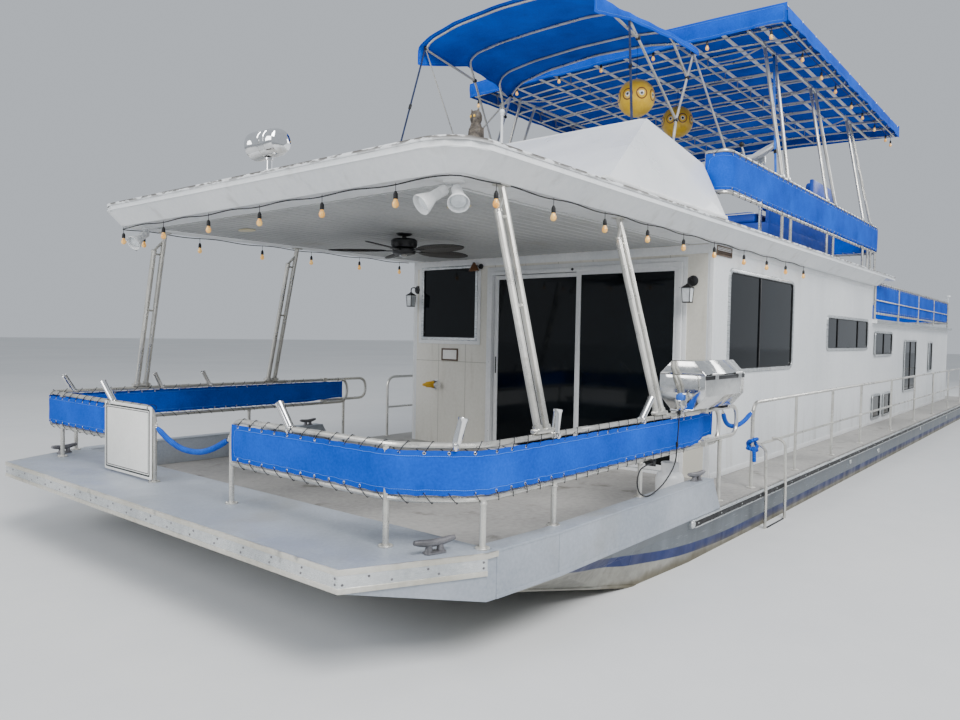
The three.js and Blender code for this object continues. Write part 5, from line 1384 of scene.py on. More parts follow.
def upper_rails():
    """Two tubes round the upper deck on tall and short posts."""
    rounds = [pipe(level(UPPER_PLAN, z), TUBE, 0.14, 16, 7) for z in (UPPER_RAIL_Z, UPPER_LOW_Z)]
    tall, short = [], []
    for s in (-1, 1):
        for x in (3.820, 2.170, 0.390, -0.070):
            tall.append((x, s * UPPER_Y))
            short.append((x - 0.280, s * UPPER_Y))
        tall += [(UPPER_FORE, s * UPPER_RETURN), (UPPER_AFT, s * 1.0), (UPPER_AFT, s * 1.7)]
    posts = bars([((x, y, ROOF_Z), (x, y, z)) for spots, z in ((tall, UPPER_RAIL_Z), (short, UPPER_LOW_Z))
                  for x, y in spots], TUBE, 14)
    piece("upper_rail_tubes", [rounds, posts, post_feet(level(tall + short, ROOF_Z), 0.040)], TUBES, "boat",
          ["upper_rail"])


def upper_canvas():
    tube_line = smooth_plan(UPPER_PLAN, 0.14, 5)
    out, gap = TUBE + 0.004, 0.019
    grid = canvas_rows(pushed(tube_line, out), UPPER_LOW_Z + gap, UPPER_RAIL_Z - gap, 200, 6, 0.15, 0.003,
                       0.003)
    cloth = piece("upper_canvas_cloth", cloth_sheet(grid), CANVAS, "boat", ["upper_canvas"], 60)
    cords = [lacing(tube_line, z, side, 0.034, out, 0.15)
             for z, side in ((UPPER_RAIL_Z, 1), (UPPER_LOW_Z, -1))]
    made = piece("upper_canvas_lacing", cords, LACING, angle=50)
    flat_size(grid)


def aft_upper_rail():
    """Tubes round the aft upper deck, with a gap at the ladder and cloth panels laced between them."""
    fore, aft, y, low, high = -0.760, -7.850, 1.840, 2.030, 2.490
    gap = (-1.420, -0.880)
    runs = []
    for name, s, end in (("aft_canvas_port", 1, gap[1]), ("aft_canvas_starboard", -1, gap[0])):
        plan = [(fore, s * y), (aft, s * y), (aft, end)]
        line = smooth_plan(plan, 0.09, 5)
        runs += [pipe(level(plan, z), TUBE, 0.09, 14, 6) for z in (low, high)]
        runs.append(tubes([level(pushed(line, 0.016 * s), 2.225)], 0.010, 10))
        line = line[::s]
        grid = canvas_rows(line, low + 0.022, high - 0.022, 130, 5, 0.18, 0.004, 0.003)
        cloth = piece(name, cloth_sheet(grid), CANVAS, angle=60)
        cords = [lacing(line, z, side, 0.036, 0.0, 0.18) for z, side in ((high, 1), (low, -1))]
        made = piece(name + "_lacing", cords, LACING, angle=50)
        flat_size(grid)
    spots = [(x, s * y) for s in (-1, 1) for x in (fore, -2.5, -4.3, -6.0, aft)]
    spots += [(aft, 0), (aft, gap[0]), (aft, gap[1])]
    uprights = [((x, py, AFT_ROOF_Z), (x, py, high)) for x, py in spots]
    posts = bars(uprights + [((aft, gap[0], low), (aft, gap[1], low))], TUBE, 14)
    piece("aft_upper_rail_tubes", [runs, posts, post_feet(level(spots, AFT_ROOF_Z))], TUBES, "boat",
          ["aft_upper_rail"])


upper_rails()
upper_canvas()
aft_upper_rail()


# Canopy: tubes, battens, props and one cloth with a fore flap

CANOPY_FORE, CANOPY_AFT, BEAM_Y = 4.230, -1.090, 1.610
CANOPY_HALF = [(1.970, 4.722), (1.300, 4.766), (0.650, 4.794), (0.0, 4.804)]
CANOPY_LINE = [(-y, z) for y, z in CANOPY_HALF] + CANOPY_HALF[-2::-1]
RIM_HALF = [(2.010, 4.862), (1.300, 4.886), (0.650, 4.900), (0.0, 4.904)]
RIM_LINE = [(-y, z) for y, z in RIM_HALF] + RIM_HALF[-2::-1]
CANOPY_LIFT, CANOPY_COLUMNS = 0.0165, 96
AFT_BALLOON_X = 2.6843
# Where each prop stands on the rail, and where it meets the beam
PROPS = [(3.860, 3.660), (3.670, 3.330), (2.200, 2.020), (1.850, 1.820), (0.420, 0.310), (0.010, 0.110)]


def canopy_z(y, line=CANOPY_LINE):
    for (y0, z0), (y1, z1) in zip(line, line[1:]):
        if y0 <= y <= y1:
            return z0 + (z1 - z0) * (y - y0) / (y1 - y0)
    return line[0][1]


BEAM_Z = canopy_z(BEAM_Y) - 0.014


def rim_z(y):
    return canopy_z(y, RIM_LINE)


def canopy_stations():
    """Where the crossing tubes stand; one of them is over the aft balloon."""
    stations = [CANOPY_FORE - 0.06 - (CANOPY_FORE - CANOPY_AFT - 0.12) * i / 11 for i in range(12)]
    stations[3] = AFT_BALLOON_X
    return stations


def canopy_lattice(stations):
    """The low and high crossing tubes, with uprights and bent knees between them."""
    low, high = ([bent([(x, y, z) for y, z in line], 0.12, 3) for x in stations]
                 for line in (CANOPY_LINE, RIM_LINE))
    crossing = [tubes(low, 0.012, 12), tubes(high, 0.011, 10)]
    sides = [(x, s) for x in stations for s in (-1, 1)]
    uprights = bars([((x, s * a, canopy_z(a)), (x, s * b, rim_z(b))) for x, s in sides
                     for a, b in ((1.962, 1.990), (0.80, 0.80))], 0.009, 10)
    knees = tubes([bent([(x, s * 1.80, canopy_z(1.80)), (x, s * 1.95, canopy_z(1.95) + 0.02),
                         (x, s * 1.99, rim_z(1.99) - 0.01)], 0.10, 4) for x, s in sides], 0.010, 10)
    return [crossing, uprights, knees]


def canopy_long_tubes():
    """Two beams, six lighter tubes along the edges, and flat battens under the cloth."""
    fore, aft = CANOPY_FORE - 0.02, CANOPY_AFT + 0.02

    def along(y, z):
        return [((fore, s * y, z), (aft, s * y, z)) for s in (-1, 1)]
    beams = bars(along(BEAM_Y, BEAM_Z), 0.020, 16)
    edges = bars(along(1.960, canopy_z(1.960) - 0.002) + along(0.800, canopy_z(0.800) - 0.002)
                 + along(1.99, rim_z(1.99) - 0.002), 0.012, 12)
    battens = [block((aft, y - 0.024, rim_z(y) + 0.002), (fore, y + 0.024, rim_z(y) + 0.0100), 0.002)
               for y in (-1.62, -1.20, -0.80, -0.40, 0.0, 0.40, 0.80, 1.20, 1.62)]
    return [beams, edges, painted(battens, TRIM)]


def canopy_props():
    """Slanting props from the upper rail to the beams, their saddles and end plates, and bent braces."""
    foot_z = UPPER_RAIL_Z + TUBE
    props, braces, ends = [], [], []
    for s in (-1, 1):
        y, beam = s * UPPER_Y, s * BEAM_Y
        for foot, top in PROPS:
            props.append(((foot, y, foot_z), (top, beam, BEAM_Z)))
            ends.append(block((foot - 0.030, y - 0.022, foot_z - 0.020),
                              (foot + 0.030, y + 0.022, foot_z + 0.014),
                              0.006))
            ends.append(block((top - 0.028, beam - 0.026, BEAM_Z - 0.030),
                              (top + 0.028, beam + 0.026, BEAM_Z + 0.010),
                              0.006))
        for (_, top), reach in zip(PROPS[::2], (0.62, 0.62, 0.5)):
            start = Vector((top, beam, BEAM_Z - 0.006))
            end = Vector((top - 0.30, s * (BEAM_Y - reach), canopy_z(BEAM_Y - reach) - 0.012))
            braces.append(bent([start, (start + end) / 2 - Vector((0, 0, 0.045)), end], 0.12, 4))
    return [bars(props, 0.0185, 16), tubes(braces, 0.010, 12), painted(ends, BRIGHT)]


def canopy_frame():
    stations = canopy_stations()
    parts = [canopy_lattice(stations), canopy_long_tubes(), canopy_props()]
    joints = [block((x - 0.018, s * BEAM_Y - 0.024, BEAM_Z + 0.004),
                    (x + 0.018, s * BEAM_Y + 0.024, BEAM_Z + 0.030),
                    0.004) for x in stations for s in (-1, 1)]
    piece("canopy_tubes", [parts, painted(joints, BRIGHT)], TUBES, "boat", ["canopy_frame"])


def canopy_top_rows():
    """The top from hem to hem: it sags between the crossing tubes and its hems sway."""
    over = pushed(RIM_LINE, -CANOPY_LIFT)
    y, z = over[-1]
    port = [(y + 0.006, z - 0.012), (y + 0.012, z - 0.055), (y + 0.009, z - 0.115), (y + 0.015, z - 0.172)]
    profile = [(0, -a, b) for a, b in port[::-1]] + [(0, a, b) for a, b in over + port]
    rows = []
    for q, _, _ in spaced(bent(profile, 0.022, 3), 0.062):
        hang = clamped((4.872 - q.z) / 0.16)
        row = []
        for j in range(CANOPY_COLUMNS + 1):
            part = j / CANOPY_COLUMNS
            sag = 0.004 * abs(math.sin(math.pi * part * 11)) * (1 - hang)
            sag += 0.001 * math.sin(q.y * 4 + part * 9)
            sway = (0.007 * math.sin(part * 61 + q.y) + 0.004 * math.sin(part * 137)) * hang
            drop = sag * (1 - hang) * 0.6 - 0.005 * math.sin(part * 23.0) * hang
            row.append((CANOPY_FORE + (CANOPY_AFT - CANOPY_FORE) * part, q.y + sway * (1 if q.y > 0 else -1),
                        q.z - drop))
        rows.append(row)
    return rows


def canopy_end_z(y):
    """The cloth's height over the rim at one of its ends."""
    reach = RIM_HALF[0][0]
    return rim_z(max(-reach, min(reach, y))) + CANOPY_LIFT


def canopy_flap_rows(high=10):
    """The fore flap, deeper in its middle, hanging in uneven folds."""
    width = RIM_HALF[0][0] + 0.010
    rows = []
    for part in (i / high for i in range(high + 1)):
        row = []
        for a in (-width + 2 * width * j / CANOPY_COLUMNS for j in range(CANOPY_COLUMNS + 1)):
            deep = 0.176 + 0.024 * (1 - (abs(a) / width) ** 2.4)
            fold = math.sin(a * 7.0 + 0.7 + part) + 0.7 * math.sin(a * 17.0 + part * 2.4)
            fold += 0.4 * math.sin(a * 41.0)
            out = 0.003 + 0.012 * math.sin(math.pi * min(1, part * 1.2)) + 0.010 * fold * part
            row.append((CANOPY_FORE + out, a, canopy_end_z(a) + 0.001 - 0.005 * (part > 0) - deep * part))
        rows.append(row)
    return rows


def canopy_aft_rows(wide=60):
    """The plain hem across the aft edge."""
    width = RIM_HALF[0][0] + 0.010
    return [[(CANOPY_AFT - 0.003 - 0.004 * part + 0.003 * math.sin(a * 11 + part), a,
              canopy_end_z(a) - 0.16 * part)
             for a in (-width + 2 * width * j / wide for j in range(wide + 1))]
            for part in (0.0, 0.35, 0.7, 1.0)]


def canopy_cloth():
    """The top with a deep hem down each side, and a flap across its fore edge, one sewn piece."""
    rows, flap, aft = canopy_top_rows(), canopy_flap_rows(), canopy_aft_rows()
    sheets = [cloth_sheet(part, 0.003) for part in (rows, flap, aft)]
    made = piece("canopy_cloth", sheets, CANVAS, "boat", ["canopy_top"], 60)
    wide, long = flat_size(rows)
    area = wide * long + sum(a * b for a, b in (flat_size(flap), flat_size(aft)))


canopy_frame()
canopy_cloth()


# Bimini over the helm: four bows, stays and a cloth with its hems

BIMINI = [
    (6.140, [(1.000, 4.530), (0.900, 4.600), (0.560, 4.665), (0, 4.690)], 0.160, 0.048),
    (5.475, [(0.970, 4.590), (0.870, 4.655), (0.520, 4.694), (0, 4.702)], 0.050, 0.030),
    (4.800, [(1.085, 4.585), (0.965, 4.660), (0.580, 4.706), (0, 4.722)], 0.045, 0.034),
    (4.440, [(1.170, 4.540), (1.040, 4.640), (0.640, 4.712), (0, 4.745)], 0.050, 0.030),
]
PIVOT = (4.780, 1.150, 3.760)


def whole(half):
    """A line of (y, z) across the boat, from its port half."""
    return [(-y, z) for y, z in half] + half[-2::-1]


def bow_end(i):
    """The port end of a bimini bow's round top, where its leg begins."""
    return Vector((BIMINI[i][0], *BIMINI[i][1][0]))


def bimini_frame():
    """Four bows on two legs a side, the posts they turn on, stays aft, clamps and hubs."""
    pivot = Vector(PIVOT)
    feet = {1: pivot, 3: pivot, 0: pivot.lerp(bow_end(1), 0.8), 2: pivot.lerp(bow_end(3), 0.6)}
    bows = []
    for i, foot in feet.items():
        x, half = BIMINI[i][:2]
        line = [(foot.x, -foot.y, foot.z)] + [(x, y, z) for y, z in whole(half)] + [tuple(foot)]
        bows.append(bent(line, 0.085, 5))
    frame_tubes = tubes(bows, 0.013, 14)
    clamp = Vector((5.240, 1.850, UPPER_RAIL_Z + TUBE))
    start = pivot.lerp(bow_end(3), 0.96)
    stays, posts, black = [], [], []
    for s in (-1, 1):
        stays.append(((start.x, s * start.y, start.z), (clamp.x, s * clamp.y, clamp.z - 0.012)))
        posts.append(((5.010, s * 1.129, ROOF_Z), (pivot.x, s * pivot.y, pivot.z)))
        black.append(block((clamp.x - 0.025, s * clamp.y - 0.024, clamp.z - 0.036),
                           (clamp.x + 0.025, s * clamp.y + 0.024, clamp.z + 0.010), 0.006))
        for a in (pivot, feet[0], feet[2], start):
            black.append(turned([(0, -0.019), (0.017, -0.019), (0.020, -0.015), (0.020, 0.015),
                                 (0.017, 0.019), (0, 0.019)], (a.x, s * a.y, a.z), ABEAM, 14))
    painted(black, BLACK)
    base = both(turned([(0, 0), (0.055, 0), (0.055, 0.006), (0.030, 0.012), (0.020, 0.020), (0, 0.020)],
                       (5.000, 1.130, ROOF_Z), steps=20))
    piece("bimini_tubes", [frame_tubes, bars(stays, 0.011, 14), bars(posts, 0.014, 14), black, base], TUBES,
          "boat", ["bimini_frame"])


def bimini_section(half, drop, out):
    """The cloth's line over one bow, from the starboard hem to the port one."""
    line = pushed(whole(half), -0.0175)[1:-1]
    y, z = half[0]
    hem = [(y + out, z - drop), (y + out + 0.002, z - drop * 0.4), (y + out - 0.004, z + 0.004),
           (y + 0.021, z + 0.027)]
    return [(-a, b) for a, b in hem] + line + hem[::-1]


def bimini_cloth():
    """One cloth over the bows: level with each of them, sagging between, with a little overhang."""
    sections = []
    for x, half, drop, out in BIMINI:
        points = bent([Vector((0, y, z)) for y, z in bimini_section(half, drop, out)], 0.045, 4)
        sections.append((x, [p for p, _, _ in spaced(points, line_length(points) / 72)]))
    fore, aft = sections[0], sections[-1]
    sections = [(fore[0] + 0.055, fore[1]), *sections, (aft[0] - 0.055, aft[1])]
    columns = []
    for (x0, a), (x1, b) in zip(sections, sections[1:]):
        steps = max(2, round(abs(x1 - x0) / 0.06))
        for k in range(steps + (x1 == sections[-1][0])):
            t = k / steps
            x = x0 + (x1 - x0) * t
            sag = 0.017 * math.sin(math.pi * t) if abs(x1 - x0) > 0.1 else 0.0
            line = []
            for m, (p, q) in enumerate(zip(a, b)):
                r = p.lerp(q, t)
                flatness = max(0.0, 1 - (abs(r.y) / 1.02) ** 6)
                fold = 0.005 * math.sin(x * 21 + r.y * 6) * (1 - flatness)
                line.append((x, r.y + fold, r.z - sag * flatness - 0.001 * math.sin(m * 0.9 + k)))
            columns.append(line)
    rows = [list(r) for r in zip(*columns)]
    made = piece("bimini_cloth", cloth_sheet(rows, 0.003), CANVAS, "boat", ["bimini_top"], 60)
    flat_size(rows)


bimini_frame()
bimini_cloth()


# Flying bridge: fairing, helm, seats and dish

def fairing():
    """Moulded front and wings, with a coaming along the wings and a dark instrument hood."""
    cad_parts["flybridge_fairing"].data.materials[0] = GELCOAT
    foot = ROOF_Z + 0.0003
    base = band([(5.45, 1.965), (7.50, 1.965), (7.50, -1.965), (5.45, -1.965)], -0.002, 0.022, foot,
                foot + 0.034,
                0.006)
    screws = screw_heads([(5.6 + 0.3 * i, 1.988, foot + 0.017) for i in range(6)], ABEAM, 0.005)
    rims = [bent([(5.350, s * 1.672, 3.149), (6.262, s * 1.582, 3.352), (6.262, 0, 3.352)], 0.06, 5)
            for s in (-1, 1)]
    lip = tubes([rims[0] + rims[1][::-1][1:]], 0.012, 10)
    hood = wedge(level(square(6.02, 6.44, -0.42, 0.42), 3.150)
                 + [(6.10, -0.38, 3.285), (6.42, -0.38, 3.255), (6.42, 0.38, 3.255), (6.10, 0.38, 3.285)],
                 0.02)
    dial = turned([(0.030, 0), (0.052, 0), (0.055, 0.004), (0.050, 0.008), (0.044, 0.004), (0, 0.004)],
                  steps=18)
    dials = copies_at(dial, [(6.052, y, 3.218) for y in (-0.26, -0.09, 0.09, 0.26)], turn_to((-1, 0, 0.6)))
    piece("fairing_trim", [base, both(screws), lip], TRIM)
    piece("helm_hood", [painted(hood, BLACK), painted(dials, CHROME)])


def helm_wheel():
    """A padded rim on three spokes and a capped hub."""
    at, radius = Vector((5.785, 0, 3.020)), 0.190
    rim = tubes([ring(at, (0, 0, radius), (0, radius, 0), 40)], 0.0145, 12, True)
    spokes = []
    for t in (2 * math.pi * k / 3 for k in range(3)):
        way, side = Vector((0, math.sin(t), math.cos(t))), Vector((0, math.cos(t), -math.sin(t)))
        low, high = at + way * 0.03, at + way * (radius - 0.008)
        face = [low - side * 0.020, low + side * 0.020, high + side * 0.009, high - side * 0.009]
        spokes.append(wedge([p + Vector((dx, 0, 0)) for dx in (-0.003, 0.003) for p in face]))
    hub = turned([(0, 0.0675), (0.034, 0.0675), (0.034, 0.0), (0.030, -0.014), (0.020, -0.020), (0, -0.021)],
                 at, AHEAD, 20)
    piece("helm_wheel_rim", [rim, painted([*spokes, hub], STEEL)], BLACK, "wheel", ["helm_wheel"])


def crowned(low, high, crown, cuts=10):
    """A cushion's first form: a rounded box swollen a little on every face."""
    pad = block(low, high)
    pick(pad)
    bpy.ops.object.mode_set(mode="EDIT")
    bpy.ops.mesh.select_all(action="SELECT")
    bpy.ops.mesh.subdivide(number_cuts=cuts)
    bpy.ops.object.mode_set(mode="OBJECT")
    middle = (Vector(low) + Vector(high)) / 2
    half = (Vector(high) - Vector(low)) / 2
    for spot in pad.data.vertices:
        q = [(spot.co[i] - middle[i]) / half[i] for i in range(3)]
        for i in range(3):
            j, k = (i + 1) % 3, (i + 2) % 3
            round_off = 1 - 0.030 * (abs(q[j]) ** 8 + abs(q[k]) ** 8)
            spot.co[i] = middle[i] + q[i] * half[i] * round_off
        swell = crown * (1 - q[0] ** 4) * (1 - q[1] ** 4)
        if abs(q[2]) > 0.99:
            spot.co[2] += swell * (1 if q[2] > 0 else -0.4)
    return pad


def stuffed(pad, voxel=0.016, cap=0.024, frames=16):
    """Fills a pad: cloth on its own skin, blown up a little and kept near its first form."""
    modified(pad, "REMESH", mode="VOXEL", voxel_size=voxel)
    start = [v.co.copy() for v in pad.data.vertices]
    pick(pad)
    cloth = pad.modifiers.new("Stuffing", "CLOTH")
    cloth.settings.use_pressure = True
    cloth.settings.uniform_pressure_force = 4.0
    cloth.settings.effector_weights.gravity = 0.0
    cloth.settings.quality = 4
    cloth.point_cache.frame_start = 1
    cloth.point_cache.frame_end = frames
    for number in range(1, frames + 1):
        bpy.context.scene.frame_set(number)
    bpy.ops.object.modifier_apply(modifier="Stuffing")
    bpy.context.scene.frame_set(1)
    for spot, home in zip(pad.data.vertices, start):
        gone = spot.co - home
        if gone.length > cap:
            spot.co = home + gone * (cap / gone.length)
    return modified(pad, "SUBSURF", levels=1, render_levels=1)


def piping(low, high, face, radius=0.006, inset=0.010):
    """A welt round the rim of a cushion's face, level with it."""
    a, b = Vector(low), Vector(high)
    hoop = [(x, y, face) for x, y in rounded(a.x + inset, b.x - inset, a.y + inset, b.y - inset, 0.035, 5)]
    return tubes([hoop], radius, 8, True)


def helm_seat():
    """A padded seat and leaning back on a pedestal, with piped rims and two short arms."""
    x, base = 5.150, ROOF_Z + 0.0003
    stand = turned([(0, 0), (0.190, 0), (0.190, 0.010), (0.175, 0.020), (0.060, 0.030), (0.042, 0.060),
                    (0.042, 0.30), (0.036, 0.30), (0.036, 0.395), (0.12, 0.398), (0.12, 0.406), (0, 0.406)],
                   (x, 0, base), steps=28)
    low, high = (x - 0.222, -0.232, base + 0.412), (x + 0.222, 0.232, base + 0.488)
    seat = stuffed(crowned(low, high, 0.010), 0.010, 0.014)
    back = crowned((-0.040, -0.222, -0.215), (0.040, 0.222, 0.215), 0.0, 9)
    lean = Matrix.Rotation(math.radians(-13.5), 4, "Y")
    back.data.transform(Matrix.Translation((x - 0.236, 0, base + 0.715)) @ lean)
    back = stuffed(back, 0.010, 0.014)
    welts = [piping(low, high, z, 0.005) for z in (base + 0.484, base + 0.420)]
    arms = [bars([((x - 0.20, s * 0.20, base + 0.47), (x - 0.235, s * 0.20, base + 0.62))], 0.011)
            for s in (-1, 1)]
    piece("helm_seat_stand", [stand, arms], STEEL)
    made = piece("helm_seat_cushions", [seat, back], PALE_VINYL, "boat", ["helm_seat"], 60)
    piece("helm_seat_welts", welts, TRIM)


def lounge_base(base):
    """A moulded locker on a dark plinth, with three doors and a stepped back."""
    locker = block((0.712, 0.925, base), (3.288, 1.590, base + 0.300), 0.02)
    plinth = painted(block((0.73, 0.94, base), (3.27, 1.58, base + 0.05), 0.006), BLACK)
    backing = [block((0.71, 1.545, base + z0), (x1, 1.592, base + z1), 0.015)
               for x1, z0, z1 in ((3.29, 0.28, 0.76), (1.69, 0.74, 1.04))]
    doors = [block((x, 0.917, base + 0.07), (x + 0.70, 0.927, base + 0.27), 0.004)
             for x in (0.80, 1.64, 2.48)]
    piece("lounge_base", [locker, plinth, backing, doors], SEAT_VINYL)


def lounge_seat():
    """A long bench: three seat cushions with welts, and a back cushion behind each, the first taller."""
    base = ROOF_Z + 0.0003
    lounge_base(base)
    pads, welts = [], []
    for x0, tall in ((0.715, 1.060), (1.577, 0.785), (2.439, 0.785)):
        x1 = x0 + 0.845
        seat = crowned((x0 + 0.01, 0.915, base + 0.310), (x1 - 0.01, 1.430, base + 0.415), 0.012, 12)
        pads.append(stuffed(seat, 0.014, 0.02))
        welts.append(piping((x0, 0.905, 0), (x1, 1.44, 0), base + 0.408, 0.006))
        back = crowned((x0 + 0.01, 1.452, base + 0.43), (x1 - 0.01, 1.545, base + tall - 0.01), 0.0, 12)
        pads.append(stuffed(back, 0.014, 0.02))
    made = piece("lounge_cushions", pads, SEAT_VINYL, "boat", ["lounge_seat"], 60)
    piece("lounge_welts", welts, TRIM)


def dish():
    """An offset dish on a mast, its rim rolled, with a ribbed feed arm and a back bracket."""
    x, y, foot = 3.720, 1.640, ROOF_Z + 0.0003
    at = Vector((x, y, 3.555))
    way = Vector((0.42, -0.37, 0.83)).normalized()
    profile = [(0, -0.009), (0.05, -0.006), (0.102, 0.002), (0.150, 0.020), (0.183, 0.038), (0.1925, 0.045),
               (0.1965, 0.041), (0.1955, 0.026), (0.1900, 0.023), (0.150, 0.010), (0.10, -0.008),
               (0.05, -0.016), (0, -0.019)]
    bowl = turned(profile, steps=40)
    rib = tubes([[Vector((r, 0, 1.15 * r * r - 0.019)) for r in (0.03, 0.07, 0.11, 0.15, 0.180)]], 0.003, 8)
    ribs = copies(rib, [((0, 0, 0), Matrix.Rotation(math.radians(a), 3, "Z")) for a in range(0, 360, 45)])
    for part in [bowl, *ribs]:
        part.data.transform(Matrix.Translation(at) @ turn_to(way).to_4x4())
    side = Vector((0.635, -0.772, 0))
    side = (side - way * way.dot(side)).normalized()
    arm_foot, arm_end = at + side * 0.185 + way * 0.02, at + side * 0.130 + way * 0.215
    arm = pipe([at + side * 0.06 - way * 0.022, arm_foot - way * 0.01, arm_end], 0.009, 0.05, 12)
    rings = [turned([(0.009, 0), (0.0125, 0.002), (0.0125, 0.007), (0.009, 0.009)],
                    arm_foot.lerp(arm_end, 0.12 + 0.13 * i), arm_end - arm_foot, 12) for i in range(5)]
    head = painted(turned([(0, -0.018), (0.020, -0.018), (0.026, -0.010), (0.026, 0.018), (0.019, 0.026),
                           (0, 0.026)],
                          arm_end, at - arm_end, 18), BLACK)
    mast = turned([(0, 0), (0.090, 0), (0.090, 0.008), (0.06, 0.012), (0.022, 0.016), (0.018, 0.03),
                   (0.018, 0.905), (0.014, 0.912), (0, 0.912)], (x, y, foot), steps=20)
    bracket = block((x - 0.030, y - 0.035, 3.455), (x + 0.015, y + 0.035, 3.540), 0.010)
    bolts = screw_heads(round_of((x, y, ROOF_Z + 0.009), 0.068), UPWARD, 0.007)
    painted([mast, bracket], BRIGHT)
    piece("satellite_dish_bowl", [bowl, ribs, arm, rings, head, mast, bracket, bolts], DISH_GREY, "boat",
          ["satellite_dish"])


fairing()
helm_wheel()
helm_seat()
lounge_seat()
dish()


# Cabin: cladding, roofs, windows and doors

def window(face, at, a, b, corner=0.06, dividers=(), rim=0.032):
    """A framed pane on a wall: channel frame, black gasket, a tinted pane whose near-black colour is partly
    painted shade for the cabin behind it, and upright dividers.
    """
    (a0, a1), (b0, b1) = a, b

    def outline(inset, radius):
        return rounded(a0 + inset, a1 - inset, b0 + inset, b1 - inset, radius)

    def layer(edge, z0, z1, holes=(), bevel=0.0):
        return plate(edge, z0, z1, holes, bevel, face, at)
    inner = outline(rim, max(0.008, corner - rim))
    frame_ring = layer(outline(0, corner), 0.0003, 0.014, [inner], 0.003)
    lip = layer(outline(-0.006, corner + 0.006), 0.0003, 0.004, [outline(0.004, corner)])
    gasket = layer(inner, -0.010, 0.007, [outline(rim + 0.008, max(0.006, corner - rim - 0.006))])
    # The pane's near-black finish is partly painted shade for the dark cabin behind it.
    pane = layer(outline(rim - 0.002, 0.02), -0.012, -0.003)
    posts = [layer(square(d - 0.012, d + 0.012, b0 + rim, b1 - rim), -0.003, 0.008, (), 0.002)
             for d in dividers]
    return [painted([frame_ring, lip], BRIGHT), painted(gasket, RUBBER), painted(pane, GLASS),
            painted(posts, BLACK)]


def side_windows():
    """The named windows on both sides, and the small ones further aft."""
    named = [("fore", (3.140, 5.044), (1.280, 2.245), 0.085, (4.20,)),
             ("long", (-0.393, 1.784), (1.472, 1.919), 0.07, (1.27, 0.21))]
    for name, x, z, corner, dividers in named:
        port = window("Y", CABIN_Y, x, z, corner, dividers)
        star = [mirrored(o) for o in flat(port)]
        for side, parts in (("port", port), ("starboard", star)):
            node = "%s_window_%s" % (side, name)
            piece(node + "_frame", parts, None, "boat", [node])
    small = [((-2.05, -0.80), (1.375, 1.755), 0.07, (-1.43,)), ((-1.30, -0.75), (0.415, 0.785), 0.05, ()),
             ((-2.03, -1.50), (0.415, 0.785), 0.05, ()), ((-4.20, -3.10), (0.725, 1.635), 0.03, (-3.65,)),
             ((-5.95, -5.53), (1.025, 1.615), 0.03, ())]
    port = flat(window("Y", CABIN_Y + 0.012, *size, 0.026) for size in small)
    piece("small_windows_starboard", [mirrored(o) for o in port])
    piece("small_windows_port", port)


def louvre_vent():
    """Brown vent with slanted slats under the port eave."""
    x0, x1, z0, z1, y = 5.000, 5.350, 2.335, 2.425, CABIN_Y
    rim = plate(rounded(x0, x1, z0, z1, 0.006), 0.0003, 0.012,
                [rounded(x0 + 0.01, x1 - 0.01, z0 + 0.01, z1 - 0.01, 0.003)], 0.002, "Y", y)
    inside, outside, near, far = x0 + 0.008, x1 - 0.008, y + 0.001, y + 0.010
    slats = []
    for z in (z0 + 0.02 + 0.014 * i for i in range(5)):
        plan = [(inside, near, z), (outside, near, z), (outside, far, z - 0.008), (inside, far, z - 0.008)]
        slats.append(wedge(plan + [(a, b, c + 0.003) for a, b, c in plan]))
    # The black plate behind the slats is painted shade for the dark opening behind them.
    back = painted(block((x0 + 0.009, y, z0 + 0.009), (x1 - 0.009, y + 0.002, z1 - 0.009)), BLACK)
    piece("louvre_vents", both(back, painted([rim, *slats], BROWN)))


def soffit():
    """Boards along the boat with twin ribs, a plain band round them with a wavy bead, and two vents."""
    top, depth, pitch = SOFFIT_Z - 0.0003, 0.004, 0.1015
    aft, fore = WALL_X + 0.02, 8.640
    board = block((aft, -0.0495, top - depth), (fore, 0.0495, top), 0.0012, 1)
    ribs = [block((aft, y - 0.003, top - depth - 0.003), (fore, y + 0.003, top - depth + 0.001), 0.001, 1)
            for y in (-0.006, 0.006)]
    boards = copies_at(joined([board, *ribs]), [(0, pitch * i, 0) for i in range(-15, 16)])
    run = [(aft + 0.01, 1.62), (8.67, 1.62), (8.67, -1.62), (aft + 0.01, -1.62)]
    bead = [spot + Vector((way.y, -way.x, 0)) * 0.004 * math.sin(gone * 55)
            for spot, way, gone in spaced(level(run, top - 0.003), 0.012)]
    piece("soffit_boards", [boards, tubes([bead], 0.0035, 8)], SOFFIT)
    vents = []
    for x, y in ((8.215, -1.017), (8.105, 1.219)):
        vent = turned([(0, 0.0), (0.050, 0.0), (0.056, 0.004), (0.056, 0.010), (0, 0.012)], axis=(0, 0, -1))
        vent.data.transform(Matrix.Translation((x, y, top - depth)) @ Matrix.Diagonal((1, 1.7, 1, 1)))
        vents.append(vent)
    piece("soffit_vents", vents, CREAM)


def roof_edges():
    """A lapped cap strip and a drip rail round the main roof, and the aft roof's rim."""
    arc = [math.radians(a) for a in range(90, -1, -10)]
    corner = [(ROOF_FORE - 0.26 + 0.26 * math.cos(t), 1.74 + 0.26 * math.sin(t)) for t in arc]
    port = [(-1.290, ROOF_Y), *corner]
    line = port + [(x, -y) for x, y in port[::-1]]
    cap = band(line, -0.002, -0.006, 2.582, 2.6035, 0.0015)
    drip = band(line, -0.0015, -0.007, 2.545, 2.553, 0.001)
    piece("roof_cap_strip", [cap, drip], ROOF)
    aft = [(-0.660, 1.900), (-8.060, 1.900), (-8.060, -1.900), (-0.660, -1.900)]
    rim = band(aft, -0.001, 0.007, AFT_ROOF_Z - 0.040, AFT_ROOF_Z + 0.004, 0.002)
    lower = band(aft, -0.001, 0.005, AFT_ROOF_Z - 0.054, AFT_ROOF_Z - 0.046, 0.001)
    piece("aft_roof_rim", [rim, lower], BRIGHT)


